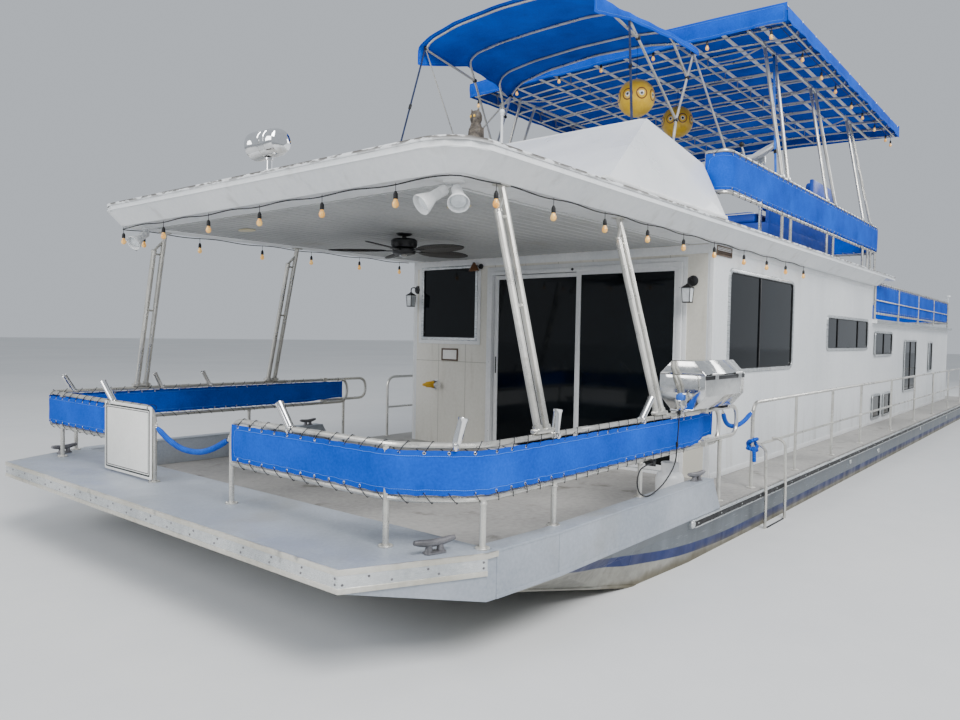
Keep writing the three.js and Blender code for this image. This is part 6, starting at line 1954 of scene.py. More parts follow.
def wall_trims():
    """Corner angles, the header over the door, casings, and the rubbing strip at the walls' foot."""
    x, y, foot, top = WALL_X, CABIN_Y, DECK_Z + 0.002, SOFFIT_Z - 0.006
    angles = both(block((x - 0.032, y, foot), (x + 0.004, y + 0.003, top), 0.001),
                  block((x, y - 0.034, foot), (x + 0.003, y + 0.003, top), 0.001))
    header = block((x, -y + 0.035, 2.350), (x + 0.008, y - 0.035, top), 0.002)
    casing = plate(rounded(-1.742, -0.808, 1.483, 2.409, 0.004), 0.0003, 0.010,
                   [rounded(-1.702, -0.848, 1.523, 2.369, 0.004)], 0.002, "X", x)
    door = plate([(-0.712, DECK_Z), (-0.674, DECK_Z), (-0.674, 2.287), (1.559, 2.287), (1.559, DECK_Z),
                  (1.597, DECK_Z), (1.597, 2.326), (-0.712, 2.326)], 0.0003, 0.012, (), 0.002, "X", x)
    strip = both(block((STEP_X - 7.3, y, foot), (x - 0.034, y + 0.006, DECK_Z + 0.055), 0.002))
    eave = both(block((STEP_X, y, top - 0.045), (x - 0.034, y + 0.006, top), 0.002))
    aft_eave = both(block((REAR_X + 0.002, y, 1.838), (STEP_X - 0.003, y + 0.006, 1.874), 0.002))
    rear = both(block((REAR_X - 0.004, y - 0.032, foot), (REAR_X + 0.03, y + 0.003, 1.872), 0.001))
    piece("wall_trims", [angles, header, casing, door, strip, eave, aft_eave, rear], TRIM)


def front_window():
    parts = window("X", WALL_X, (-1.700, -0.850), (1.525, 2.367), 0.012)
    piece("front_window_frame", parts, None, "boat", ["front_window"])


def patio_door():
    """White frame with a fixed pane to port, and the panel that slides behind it."""
    y0, y1, z0, z1, jamb, mid = -0.6717, 1.5567, 0.3353, 2.2847, 0.045, 0.440
    x, x0, x1 = WALL_X, WALL_X - 0.050, WALL_X + 0.035
    hole = square(y0 + jamb, y1 - jamb, z0 + 0.030, z1 - jamb)
    rim = plate(square(y0, y1, z0, z1), x0, x1, [hole], 0.004, "X")
    tracks = [block((a, y0 + jamb, z0 + 0.028), (a + 0.004, y1 - jamb, z0 + 0.038))
              for a in (x - 0.046, x + 0.030)]
    side, top = y1 - jamb, z1 - jamb
    hole = square(mid + 0.052, side - 0.030, z0 + 0.085, top - 0.035)
    sash = plate(square(mid, side + 0.004, z0 + 0.026, top + 0.004), x + 0.004, x + 0.028, [hole], 0.003, "X")
    pane = plate(square(mid + 0.02, side - 0.01, z0 + 0.05, top - 0.01), x + 0.012, x + 0.018, (), 0, "X")
    screws = screw_heads([(x1 + 0.001, y, z) for z in (0.55, 1.3, 2.05) for y in (y0 + 0.02, y1 - 0.02)],
                         AHEAD, 0.005)
    piece("patio_frame", [painted([rim, sash], TRIM), painted(tracks, BRIGHT), painted(pane, GLASS), screws],
          STEEL, "boat", ["patio_door_frame"])
    a0, a1, b0, b1 = -0.6208, 0.4898, 0.3657, 2.2335
    hole = square(a0 + 0.050, a1 - 0.050, b0 + 0.060, b1 - 0.040)
    leaf = plate(square(a0, a1, b0, b1), x - 0.0395, x - 0.0105, [hole], 0.003, "X")
    glass = plate(square(a0 + 0.03, a1 - 0.03, b0 + 0.04, b1 - 0.02), x - 0.029, x - 0.022, (), 0, "X")
    pull = block((x - 0.0115, a0 + 0.018, 1.18), (x - 0.0102, a0 + 0.036, 1.36), 0.0005, 1)
    piece("patio_panel_leaf", [painted(leaf, TRIM), painted(glass, GLASS), painted(pull, BLACK)], None,
          "patio_panel", ["patio_door_panel"])


def aft_door():
    """Moulded door with two sunk fields, a pull handle and a knuckled hinge."""
    x0, x1, y, z0, z1 = REAR_X - 0.008, REAR_X + 0.028, 0.325, 0.3413, 1.795
    leaf = block((x0, -y, z0), (x1, y, z1), 0.004)
    fields = [plate(rounded(-0.23, 0.23, low, high, 0.03), -0.006, 0.0005,
                    [rounded(-0.20, 0.20, low + 0.03, high - 0.03, 0.02)], 0.0015, "X", x0)
              for low, high in ((z0 + 0.09, 0.98), (1.06, z1 - 0.09))]
    glass = plate(rounded(-0.17, 0.17, 1.16, z1 - 0.18, 0.03), -0.004, 0.0005, (), 0.001, "X", x0)
    handle = pipe([(x0, -0.275, 1.185), (x0 - 0.029, -0.275, 1.185), (x0 - 0.029, -0.275, 1.315),
                   (x0, -0.275, 1.315)], 0.008, 0.02, 12)
    hinge = [rod(0.0095, z, z + 0.150, (REAR_X - 0.022, 0.320, 0))
             for z in (0.4203 + 0.1575 * i for i in range(8))]
    strap_plate = block((REAR_X - 0.021, 0.3135, 0.42), (x0 + 0.001, y - 0.001, 1.70))
    piece("aft_door_leaf", [painted([leaf, *fields], TRIM), painted(glass, GLASS), handle, hinge,
                            strap_plate],
          STEEL, "stern_door", ["aft_door"])


def dress_cabin():
    for name, material in (("hull", HULL), ("cabin_front_wall", FRONT), ("cabin_port_wall", WALL),
                           ("cabin_starboard_wall", WALL), ("cabin_step_bulkhead", WALL),
                           ("cabin_rear_wall", WALL), ("main_roof", ROOF), ("aft_roof", ROOF),
                           ("deck", DECK)):
        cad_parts[name].data.materials[0] = material


dress_cabin()
side_windows()
louvre_vent()
soffit()
roof_edges()
wall_trims()
front_window()
patio_door()
aft_door()


# Porch: struts, fan, lamps and the strings of bulbs

LEAF_PITCH = -0.2


def roof_strut(name, x, top_y, s):
    """Twin tubes from a saddle on the bow rail up to a plate under the roof."""
    y, tip_y, rail_top = s * RAIL_Y, s * top_y, RAIL_Z + TUBE + 0.0003
    foot, top = Vector((x, y, rail_top)), Vector((x, tip_y, SOFFIT_Z - 0.0003))
    foot2, top2 = Vector((x + 0.078, y, rail_top)), Vector((x + 0.078, tip_y, SOFFIT_Z))
    end = foot2.lerp(top2, 0.88)
    pair = bars([(foot.lerp(top, 0.005), top), (foot2, end)], 0.0215, 18)
    links = bars([(foot.lerp(top, t), foot2.lerp(top2, t)) for t in (0.50, 0.86)], 0.010, 10)
    crown = bars([(foot.lerp(top, 0.95), end)], 0.012, 10)
    plug = turned([(0, -0.01), (0.024, -0.008), (0.024, 0.006), (0.014, 0.012), (0, 0.013)], end,
                  top2 - foot2, 16)
    saddle = block((x - 0.040, y - 0.026, 1.0765), (x + 0.118, y + 0.026, 1.102), 0.009)
    head = block((x - 0.045, tip_y - 0.032, SOFFIT_Z - 0.011),
                 (x + 0.045, tip_y + 0.032, SOFFIT_Z - 0.0003), 0.003)
    bolts = screw_heads([(x + dx, tip_y + dy, SOFFIT_Z - 0.0115) for dx in (-0.033, 0.033)
                         for dy in (-0.02, 0.02)],
                        (0, 0, -1), 0.005)
    socket = turned([(0.0, -0.002), (0.027, -0.002), (0.027, 0.036), (0.0225, 0.040), (0, 0.040)],
                    axis=top - foot,
                    steps=16)
    sockets = copies_at(socket, [p + Vector((0, 0, 0.004)) for p in (foot, foot2)])
    piece(name + "_tubes", [pair, links, crown, plug, saddle, sockets, head, bolts], TUBES, "boat", [name])


def fan_blade(hub):
    """One woven leaf in a dark rim, pitched about its own length, on a short iron."""
    half = [(0.160, 0.030), (0.220, 0.062), (0.300, 0.084), (0.400, 0.0895), (0.500, 0.080), (0.580, 0.056),
            (0.625, 0.026)]
    outline = half + [(0.639, 0.0)] + [(r, -w) for r, w in half[::-1]]
    leaf = plate(outline, hub - 0.0035, hub + 0.0015, (), 0.001)
    rim = tubes([level(outline, hub)], 0.0038, 8, True)
    spine = block((0.150, -0.006, hub - 0.004), (0.630, 0.006, hub + 0.0035), 0.0015, 1)
    iron = painted(wedge([(0.050, -0.020, hub - 0.006), (0.240, -0.014, hub - 0.006),
                          (0.240, 0.014, hub - 0.006), (0.050, 0.020, hub - 0.006),
                          (0.050, -0.020, hub + 0.002), (0.240, -0.014, hub - 0.002),
                          (0.240, 0.014, hub - 0.002), (0.050, 0.020, hub + 0.002)], 0.001), BLACK)
    web = [painted(leaf, LEAF), *painted([rim, spine], BLACK)]
    pitch = about((0, 0, hub), Matrix.Rotation(LEAF_PITCH, 4, "X"))
    for part in web:
        part.data.transform(pitch)
    return joined([*web, iron])


def ceiling_fan():
    """Dark motor drum on a domed canopy, with five broad woven leaves on short irons."""
    x, y, hub = 7.336, -0.060, 2.285
    motor = turned([(0, 0.0200), (0.075, 0.0200), (0.102, 0.028), (0.110, 0.045), (0.110, 0.085),
                    (0.096, 0.098), (0.040, 0.104), (0.018, 0.110), (0.018, 0.120), (0.050, 0.126),
                    (0.068, 0.140), (0.070, 0.1497), (0, 0.1497)], (x, y, hub), steps=32)
    bands = [turned([(0.109, z), (0.1115, z + 0.002), (0.1115, z + 0.006), (0.109, z + 0.008)], (x, y, hub),
                    steps=32)
             for z in (0.048, 0.074)]
    piece("fan_motor_drum", [motor, *bands], BLACK, "boat", ["fan_motor"])
    turns = [Matrix.Rotation(0.35 + 2 * math.pi * i / 5, 3, "Z") for i in range(5)]
    leaves = copies(fan_blade(hub), [((x, y, 0), turn) for turn in turns])
    boss = turned([(0, -0.035), (0.060, -0.035), (0.092, -0.026), (0.100, -0.010), (0.100, 0.012),
                   (0.085, 0.0195), (0, 0.0195)], (x, y, hub), steps=28)
    cap = turned([(0, -0.052), (0.012, -0.050), (0.034, -0.042), (0.040, -0.034), (0, -0.034)], (x, y, hub))
    piece("fan_rotor", [leaves, painted(boss, BLACK), painted(cap, STEEL)], None, "fan", ["fan_blades"])


def searchlight():
    """Chrome drum across the roof, its lens to starboard, on a post."""
    at, half = (8.800, 0.130, 2.845), 0.150
    drum = turned([(0, half), (0.045, half - 0.004), (0.078, half - 0.020), (0.090, half - 0.050),
                   (0.090, 0.02), (0.092, -0.09), (0.098, -0.105), (0.098, -0.146), (0.088, -half),
                   (0.084, -0.140), (0.070, -0.120), (0, -0.112)], at, ABEAM, 36)
    lens = painted(turned([(0.085, -0.143), (0.05, -0.1475), (0, -0.149), (0, -0.141), (0.085, -0.139)],
                          at, ABEAM, 32), LENS)
    hoops = [turned([(0.0895, h), (0.0935, h + 0.002), (0.0935, h + 0.008), (0.0895, h + 0.010)], at, ABEAM,
                    36)
             for h in (0.045, -0.02)]
    post = turned([(0, 0), (0.050, 0), (0.050, 0.006), (0.030, 0.012), (0.020, 0.024), (0.020, 0.118),
                   (0.028, 0.122), (0.028, 0.136), (0, 0.136)], (at[0], at[1], ROOF_Z + 0.0003), steps=24)
    knob = turned([(0, 0.086), (0.016, 0.086), (0.016, 0.098), (0, 0.0985)], (at[0] - 0.004, *at[1:]),
                  AHEAD, 16)
    piece("searchlight_drum", [drum, lens, hoops, post, knob], CHROME, "lamp", ["searchlight"])


def floodlight(corner, dx, dy):
    """A lamp holder with a ribbed neck, on a stub that leans out from a round box."""
    x, y, top = corner
    low, neck, mouth, start = (Vector((x + dx * a, y + dy * b, top - drop)) for a, b, drop in (
        (0.5, 0.5, 0.060), (1, 1, 0.100), (1.6, 1.35, 0.150), (0.3, 0.4, 0.045)))
    stub = bars([((x, y, top - 0.012), low)], 0.009, 12)
    reach = (neck - start).length
    holder = turned([(0, 0), (0.026, 0.004), (0.030, 0.012), (0.030, reach * 0.45), (0.0275, reach * 0.5),
                     (0.030, reach * 0.55), (0.030, reach), (0, reach)], start, neck - start, 20)
    span = (mouth - neck).length
    bell = turned([(0, -0.002), (0.033, 0), (0.036, 0.01), (0.052, span * 0.6), (0.061, span - 0.006),
                   (0.060, span), (0.055, span - 0.003), (0.046, span * 0.6), (0, span * 0.5)], neck,
                  mouth - neck, 24)
    glass = turned([(0, span * 0.50), (0.046, span * 0.62), (0.040, span * 0.74), (0.018, span * 0.84),
                    (0, span * 0.86)], neck, mouth - neck, 20)
    return [stub, holder, bell, painted(glass, LENS)]


def floodlights():
    """Twin white lamp holders with ribbed necks on round boxes, one pair at each fore corner."""
    corner = (8.700, 1.700, SOFFIT_Z - 0.0003)
    base = turned([(0, 0), (0.060, 0), (0.060, -0.010), (0.050, -0.016), (0.020, -0.020), (0, -0.020)],
                  corner,
                  steps=28)
    port = flat([base, floodlight(corner, 0.110, -0.060), floodlight(corner, 0.060, 0.090)])
    star = [mirrored(o) for o in port]
    piece("floodlight_pair_port", port, TRIM, "boat", ["floodlight_port"])
    piece("floodlight_pair_starboard", star, TRIM, "boat", ["floodlight_starboard"])


def bulb_on_drop(drop):
    """A black socket above an amber bulb, hung below the origin."""
    wire = bars([((0, 0, 0), (0, 0, -drop))], 0.0025, 6)
    socket = turned([(0, 0), (0.006, -0.001), (0.010, -0.010), (0.013, -0.015), (0.0135, -0.042),
                     (0.0115, -0.045), (0, -0.045)], (0, 0, -drop), steps=14)
    glass = turned([(0.010, -0.043), (0.011, -0.050), (0.0175, -0.064), (0.0195, -0.076), (0.0165, -0.087),
                    (0.0085, -0.094), (0, -0.096)], (0, 0, -drop), steps=14)
    return joined([*painted([wire, socket], RUBBER), painted(glass, BULB)])


def bulb_string(name, line, spots, drop, sag=0.006):
    """A cable clipped along a line, with bulbs under its clips."""
    course = [spot - Vector((0, 0, sag * (1 - math.cos(gone * 2 * math.pi / 0.63))))
              for spot, _, gone in spaced(line, 0.05)]
    cable = painted(tubes([course], 0.0042, 8), RUBBER)
    piece(name, [cable, copies_at(bulb_on_drop(drop), spots)], angle=50)


def string_lights():
    """One string round under the main roof, and one under the canopy's fore and port edges."""
    z, side, fore = SOFFIT_Z - 0.006, 1.888, 8.868
    spots = [(fore, y, z) for y in (-1.80, -1.144, -0.502, 0.124, 0.776, 1.418)]
    spots += [(x, side, z) for x in (8.560, 7.998, 7.385, 6.766, 6.149, 5.528, 4.828, 4.205, 3.619, 2.995)]
    spots += [(x, -side, z) for x in (8.652, 8.133, 7.471, 6.877, 6.219, 5.602)]
    run = bent([(5.45, -side, z), (fore, -side, z), (fore, side, z), (2.95, side, z)], 0.10, 4)
    bulb_string("roof_bulb_string", run, spots, 0.045)
    edge, low, side = CANOPY_FORE - 0.036, 0.030, 1.925
    side_z = canopy_z(side) - low
    upper = [(edge, y, canopy_z(y) - low) for y in (-1.90, -1.275, -0.646, -0.068, 0.586, 1.202, 1.861)]
    spots = upper + [(x, side, side_z) for x in (3.399, 2.687, 2.093, 1.338, 0.753, 0.051, -0.657, -1.000)]
    run = upper + [(edge - 0.04, side, upper[-1][2]), (-1.00, side, side_z)]
    bulb_string("canopy_bulb_string", bent(run, 0.05, 3), spots, 0.040, 0.004)


def lantern(y):
    """A black wall lantern: a round back plate, a curved arm and a four-sided glass box."""
    x, z = WALL_X, 2.110
    back = turned([(0, 0.0003), (0.048, 0.0003), (0.048, 0.006), (0.036, 0.014), (0.018, 0.020), (0, 0.021)],
                  (x, y, z), AHEAD, 24)
    at = Vector((x + 0.115, y, z - 0.03))
    arm = pipe([(x + 0.012, y, z), (x + 0.06, y, z + 0.03), (x + 0.115, y, z + 0.012), at], 0.0065, 0.05, 10)
    hood = turned([(0, 0), (0.012, -0.002), (0.020, -0.012), (0.058, -0.034), (0.062, -0.042), (0, -0.040)],
                  at, UPWARD, 4)
    hood.data.transform(about(at, Matrix.Rotation(math.radians(45), 4, "Z")))
    tray = block(at + Vector((-0.036, -0.036, -0.172)), at + Vector((0.036, 0.036, -0.162)), 0.002)
    posts = bars([(at + Vector((a * 0.040, b * 0.040, -0.042)), at + Vector((a * 0.033, b * 0.033, -0.166)))
                  for a in (-1, 1) for b in (-1, 1)], 0.0032, 6)
    pane = wedge([at + Vector((a * w, b * w, h)) for w, h in ((0.030, -0.164), (0.038, -0.042))
                  for a, b in square(-1, 1, -1, 1)])
    return [back, arm, hood, tray, posts, painted(pane, LENS)]


def lanterns():
    piece("wall_lanterns", lantern(1.650) + lantern(-1.775), BLACK)


def shaded_lamp():
    """A small bulb lamp with a brown four-sided shade, on a black base over the door's corner."""
    x, y, z = WALL_X + 0.008, -0.860, 2.345
    base = turned([(0, 0), (0.030, 0), (0.028, 0.012), (0.014, 0.020), (0, 0.020)], (x, y + 0.055, z),
                  AHEAD, 18)
    arm = pipe([(x + 0.015, y + 0.055, z), (x + 0.060, y + 0.055, z), (x + 0.060, y, z + 0.010)], 0.006,
               0.02, 10)
    at = Vector((x + 0.060, y, z + 0.035))
    shade = turned([(0.018, 0), (0.075, -0.085), (0.072, -0.086), (0.014, -0.004)], at, UPWARD, 4)
    cap = turned([(0, 0.012), (0.006, 0.010), (0.022, -0.003), (0, -0.004)], at, UPWARD, 12)
    piece("shaded_wall_lamp", [base, arm, painted(shade, SHADE_BROWN), cap], BLACK)


def framed_plate():
    """A blank card in a brown frame beside the door."""
    rim = plate(rounded(-1.376, -1.128, 1.292, 1.433, 0.006), 0.0003, 0.012,
                [rounded(-1.358, -1.146, 1.310, 1.415, 0.003)], 0.003, "X", WALL_X)
    card = plate(rounded(-1.362, -1.142, 1.306, 1.419, 0.003), 0.0003, 0.006, (), 0.001, "X", WALL_X)
    piece("framed_plate", [painted(rim, BROWN), painted(card, BOARD)])


def power_inlet():
    """A chrome inlet with its lid swung open, and the yellow plug in it."""
    at, way = Vector((WALL_X, -1.455, 1.010)), (1, -0.25, 0)
    inlet = turned([(0, 0.0003), (0.056, 0.0003), (0.056, 0.006), (0.044, 0.012), (0.040, 0.030),
                    (0.034, 0.030), (0.030, 0.014), (0, 0.014)], at, AHEAD, 28)
    lid = turned([(0, 0), (0.046, 0), (0.048, 0.006), (0.040, 0.012), (0, 0.013)],
                 at + Vector((0.062, 0.070, 0)), (0.35, 1, 0), 26)
    arm = block(at + Vector((0.012, 0.040, -0.012)), at + Vector((0.064, 0.068, 0.012)), 0.003)
    plug = turned([(0, 0.012), (0.038, 0.012), (0.042, 0.020), (0.042, 0.060), (0.036, 0.070), (0.033, 0.135),
                   (0.020, 0.152), (0.014, 0.185), (0, 0.185)], at, way, 22)
    grip = turned([(0.041, 0.022), (0.045, 0.024), (0.045, 0.046), (0.041, 0.048)], at, way, 22)
    piece("power_inlet", [inlet, lid, arm, painted(plug, YELLOW), painted(grip, RUBBER)], CHROME)


def front_fittings():
    """A blank framed plate, a power inlet with its plug, and the door's small lock."""
    framed_plate()
    power_inlet()
    lock = turned([(0, 0), (0.014, 0), (0.012, 0.010), (0, 0.011)], (WALL_X + 0.035, 0.395, 2.262), AHEAD, 16)
    piece("door_lock", lock, BLACK)


for end, x, top_y in (("fore", 8.480, 1.860), ("aft", 7.100, 1.830)):
    for side, s in (("port", 1), ("starboard", -1)):
        roof_strut("roof_strut_%s_%s" % (side, end), x, top_y, s)
ceiling_fan()
searchlight()
floodlights()
string_lights()
lanterns()
shaded_lamp()
front_fittings()


# Grill on the port bow rail

GRILL_X, GRILL_Y = (6.240, 6.950), 2.270
DRUM_LOW, DRUM_SPLIT, DRUM_HIGH = 1.105, 1.344, 1.437
DRUM_HALF, DRUM_FLAT, DRUM_EDGE = 0.165, 0.080, 0.093
HINGES_X, HINGE_AT, HINGE_R = (6.320, 6.750), (2.445, 1.351), 0.0088
FEET_X = (6.400, 6.800)
VALVE_Y = 2.265
BOTTLE_SCALE = 0.72


def trough(corners, wall=0.003):
    """A folded sheet along the grill's length, from the cross-section of its outer face."""
    outline = [(GRILL_Y + y, z) for y, z in corners + pushed(corners, wall)[::-1]]
    return plate(outline, GRILL_X[0] + 0.003, GRILL_X[1] - 0.003, (), 0.0008, "X")


def drum_end(corners, x, out):
    """An end plate with a rolled rim."""
    inner = x - 0.006 * out
    plain = plate([(GRILL_Y + y, z) for y, z in corners], min(x, inner), max(x, inner), (), 0.002, "X")
    rim = tubes([[(x - 0.003 * out, GRILL_Y + y, z) for y, z in corners]], 0.0035, 8, True)
    return [plain, rim]


def grill_drum():
    """The open drum on its feet over the rail, with rods, a burner, a rack, and its valve at one end."""
    x0, x1 = GRILL_X
    side = [(DRUM_HALF, DRUM_SPLIT - 0.003), (DRUM_HALF, DRUM_LOW + DRUM_EDGE), (DRUM_FLAT, DRUM_LOW)]
    low = [(-y, z) for y, z in side] + side[::-1]
    body = [trough(low[::-1])] + drum_end(low, x0, -1) + drum_end(low, x1, 1)
    rods = bars([((x0 + 0.006, GRILL_Y + y, 1.315), (x1 - 0.006, GRILL_Y + y, 1.315))
                 for y in (-0.14 + 0.02 * i for i in range(15))], 0.003, 6)
    port, star = GRILL_Y + 0.05, GRILL_Y - 0.05
    burner = pipe([(x1 - 0.02, GRILL_Y, 1.15), (x1 - 0.06, star, 1.19), (x0 + 0.06, star, 1.19),
                   (x0 + 0.06, port, 1.19), (x1 - 0.08, port, 1.19)], 0.010, 0.04, 10)
    edge = GRILL_Y + DRUM_HALF
    strip = block((x0, edge - 0.001, DRUM_SPLIT - 0.032), (x1, edge + 0.006, DRUM_SPLIT - 0.006), 0.002)
    hinge = [rod(HINGE_R, 0, 0.0597, (x, *HINGE_AT), AHEAD) for x in HINGES_X]
    ears = [block((x, 2.437, DRUM_SPLIT - 0.030), (x + 0.0597, 2.449, 1.349), 0.0015, 1) for x in HINGES_X]
    feet = [block((x, 2.142, 1.0765), (x + 0.060, 2.248, DRUM_LOW + 0.002), 0.004) for x in FEET_X]
    clamps = [turned([(0.0163, 0), (0.026, 0), (0.026, 0.04), (0.0163, 0.04)], (x + 0.01, RAIL_Y, RAIL_Z),
                     AHEAD, 18) for x in FEET_X]
    y = VALVE_Y
    valve = block((x1 - 0.001, y - 0.023, 1.105), (6.995, y + 0.023, 1.1697), 0.004)
    bracket = plate(rounded(y - 0.040, y + 0.040, 1.115, 1.215, 0.008), x1, x1 + 0.003,
                    [rounded(y - 0.028, y + 0.028, 1.175, 1.205, 0.006)], 0.0008, "X")
    knob = turned([(0, 0), (0.026, 0), (0.028, 0.006), (0.025, 0.026), (0.018, 0.030), (0, 0.030)],
                  (x1 + 0.003, y, 1.190), AHEAD)
    rack = [block((x, 2.200, 1.080), (x + 0.008, 2.330, 1.104), 0.0015, 1)
            for x in (6.262 + 0.019 * i for i in range(6))]
    rack += [block((6.258, y, 1.082), (6.368, y + 0.012, 1.092), 0.001, 1) for y in (2.205, 2.310)]
    painted([strip, rack], BLACK)
    painted([valve, bracket, feet, clamps], CHROME)
    painted(knob, SLEEVE_BLUE)
    piece("grill_drum", [body, rods, burner, strip, hinge, ears, feet, clamps, valve, bracket, knob, rack],
          STEEL,
          "boat", ["grill_body"])


def grill_lid():
    """The lid, with its handle and its half of the hinges."""
    x0, x1 = GRILL_X
    side = [(DRUM_HALF, DRUM_SPLIT + 0.003), (DRUM_FLAT, DRUM_HIGH)]
    high = side + [(-y, z) for y, z in side[::-1]]
    cover = [trough(high)] + drum_end(high, x0, -1) + drum_end(high, x1, 1)
    y, z = 2.070, 1.360
    handle = bars([((x0 + 0.16, y, z), (x1 - 0.16, y, z))], 0.009, 14)
    ends = [turned([(0.009, 0), (0.012, 0.002), (0.012, 0.018), (0.009, 0.020)], (x, y, z), AHEAD, 14)
            for x in (x0 + 0.16, x1 - 0.18)]
    legs = bars([((x, y, z), (x, 2.118, z)) for x in (x0 + 0.19, x1 - 0.19)], 0.0065, 10)
    knuckles = [rod(HINGE_R, 0.0603, 0.12, (x, *HINGE_AT), AHEAD) for x in HINGES_X]
    leaves = [block((x + 0.0603, GRILL_Y + DRUM_HALF - 0.020, 1.3482), (x + 0.120, HINGE_AT[0], 1.3565),
                    0.001, 1)
              for x in HINGES_X]
    piece("grill_cover_lid", [cover, handle, painted(ends, BLACK), legs, knuckles, leaves], STEEL,
          "grill_cover",
          ["grill_lid"])


def grill():
    grill_drum()
    grill_lid()


def gas_cylinder():
    """A small white gas bottle on the deck under the grill, with its foot ring and guarded valve."""
    at = (6.420, 1.950, DECK_Z + 0.0003)
    body = turned([(0, 0.030), (0.10, 0.030), (0.135, 0.048), (0.150, 0.085), (0.150, 0.250), (0.138, 0.292),
                   (0.105, 0.322), (0.040, 0.338), (0, 0.340)], at, steps=28)
    foot = turned([(0.100, 0), (0.108, 0), (0.108, 0.045), (0.100, 0.045)], at, steps=28)
    guard = turned([(0.088, 0.318), (0.094, 0.318), (0.094, 0.415), (0.088, 0.415)], at, steps=24)
    rim = tubes([ring((*at[:2], at[2] + 0.415), (0.091, 0, 0), (0, 0.091, 0), 32)], 0.006, 8, True)
    valve = painted(turned([(0, 0.336), (0.016, 0.338), (0.014, 0.385), (0.022, 0.388), (0.022, 0.402),
                            (0, 0.403)], at, steps=16), BRONZE)
    seam = turned([(0.1495, 0.168), (0.1515, 0.170), (0.1515, 0.176), (0.1495, 0.178)], at, steps=28)
    parts = [body, foot, guard, rim, valve, seam]
    for part in parts:
        part.data.transform(about(at, Matrix.Scale(BOTTLE_SCALE, 4)))
    piece("gas_cylinder", parts, TRIM)


# Boarding ladder, blank board, balloons and small things on the upper deck

def boarding_ladder():
    """A bent-tube ladder hooked over the platform's edge, with two treads and rubber tips."""
    fore, aft, y, low, rest = 5.405, 4.895, 2.346, -0.420, 0.7033
    lines = [bent([(x, 2.262, rest + 0.009), (x, y - 0.012, rest - 0.026), (x, y, 0.330), (x, y, low)],
                  0.09, 6)
             for x in (fore, aft)]
    sides = tubes(lines, 0.013, 14)
    rungs = bars([((fore, y, z), (aft, y, z)) for z in (-0.380, -0.010)], 0.0125, 14)
    tread = [(0.0125, 0.03), (0.0150, 0.034), (0.0150, 0.476), (0.0125, 0.480)]
    treads = [painted(turned(tread, (aft, y, z), AHEAD, 14), RUBBER) for z in (-0.380, -0.010)]
    hooks = [block((x - 0.014, 2.218, rest), (x + 0.014, 2.275, rest + 0.016), 0.003) for x in (fore, aft)]
    tip = [(0, -0.006), (0.016, -0.006), (0.016, 0.03), (0.013, 0.034)]
    tips = [painted(turned(tip, (x, y, low + 0.003), steps=14), RUBBER) for x in (fore, aft)]
    piece("boarding_ladder_tubes", [sides, rungs, treads, hooks, tips], TUBES, "boat", ["boarding_ladder"])


def notice_board():
    """A blank white board with a thin black double border, hung by two cords."""
    x0, x1, y0, y1, z0, z1 = 9.3220, 9.3300, -1.100, -0.418, 0.575, 1.068

    def outline(inset, radius):
        return rounded(y0 + inset, y1 - inset, z0 + inset, z1 - inset, radius)
    board = plate(outline(0, 0.012), x0, x1, (), 0.0015, "X")
    frames = [plate(outline(a, 0.010), x1 - 0.0006, x1 + 0.0006, [outline(a + w, 0.008)], 0, "X")
              for a, w in ((0.018, 0.011), (0.036, 0.005))]
    sides = (y0 + 0.05, y1 - 0.05)
    eyes = [turned([(0.006, 0), (0.010, 0), (0.010, 0.0015), (0.006, 0.0015)], (x1 - 0.0002, y, z1 - 0.014),
                   AHEAD, 14) for y in sides]
    ties = [tubes([ring((BOW_RAIL_X, y, 1.058), (0.0335, 0, 0), (0, 0, 0.022), 18)], 0.0022, 6, True)
            for y in sides]
    piece("blank_notice_board", [painted(board, BOARD), painted(frames, BORDER), painted(eyes, STEEL),
                                 painted(ties, LACING)], None, "boat", ["notice_board"])


def balloon(name, at, hung_from):
    """A blown vinyl ball of eight gores with a filler cap, hung on a cord."""
    x, y, z, r = *at, 0.199
    profile = [(r * math.sin(t), -r * math.cos(t)) for t in (math.pi * i / 20 for i in range(21))]
    profile[0], profile[-1] = (0, -r), (0, r)
    ball = turned(profile, at, steps=48)
    for spot in ball.data.vertices:
        way = Vector((spot.co.x - x, spot.co.y - y, 0))
        if way.length > 1e-6:
            ridge = abs(math.sin(4 * math.atan2(way.y, way.x)))
            spot.co -= way.normalized() * 0.004 * (1 - ridge) ** 3 * (way.length / r)
    cap = painted(turned([(0, 0), (0.020, 0), (0.020, 0.004), (0.009, 0.008), (0.009, 0.020), (0, 0.020)],
                         (x, y, z + r - 0.003), steps=16), TRIM)
    cord = bars([((x, y, z + r), (x, y, hung_from))], 0.0022, 8)
    loop = ring((x, y, hung_from + 0.0135), (0.0145, 0, 0), (0, 0, 0.0145), 16)
    tie = tubes([loop], 0.0022, 6, True)
    piece(name + "_ball", [painted(ball, balloon_finish(name + " vinyl", at)), cap,
                           *painted([cord, tie], RUBBER)],
          None, "boat", [name])


def slab(a, b, side, deep, bevel):
    """A block between two points, from its half width and its half depth as vectors."""
    return wedge([p + side * i + deep * j for p in (a, b) for i, j in square(-1, 1, -1, 1)], bevel)


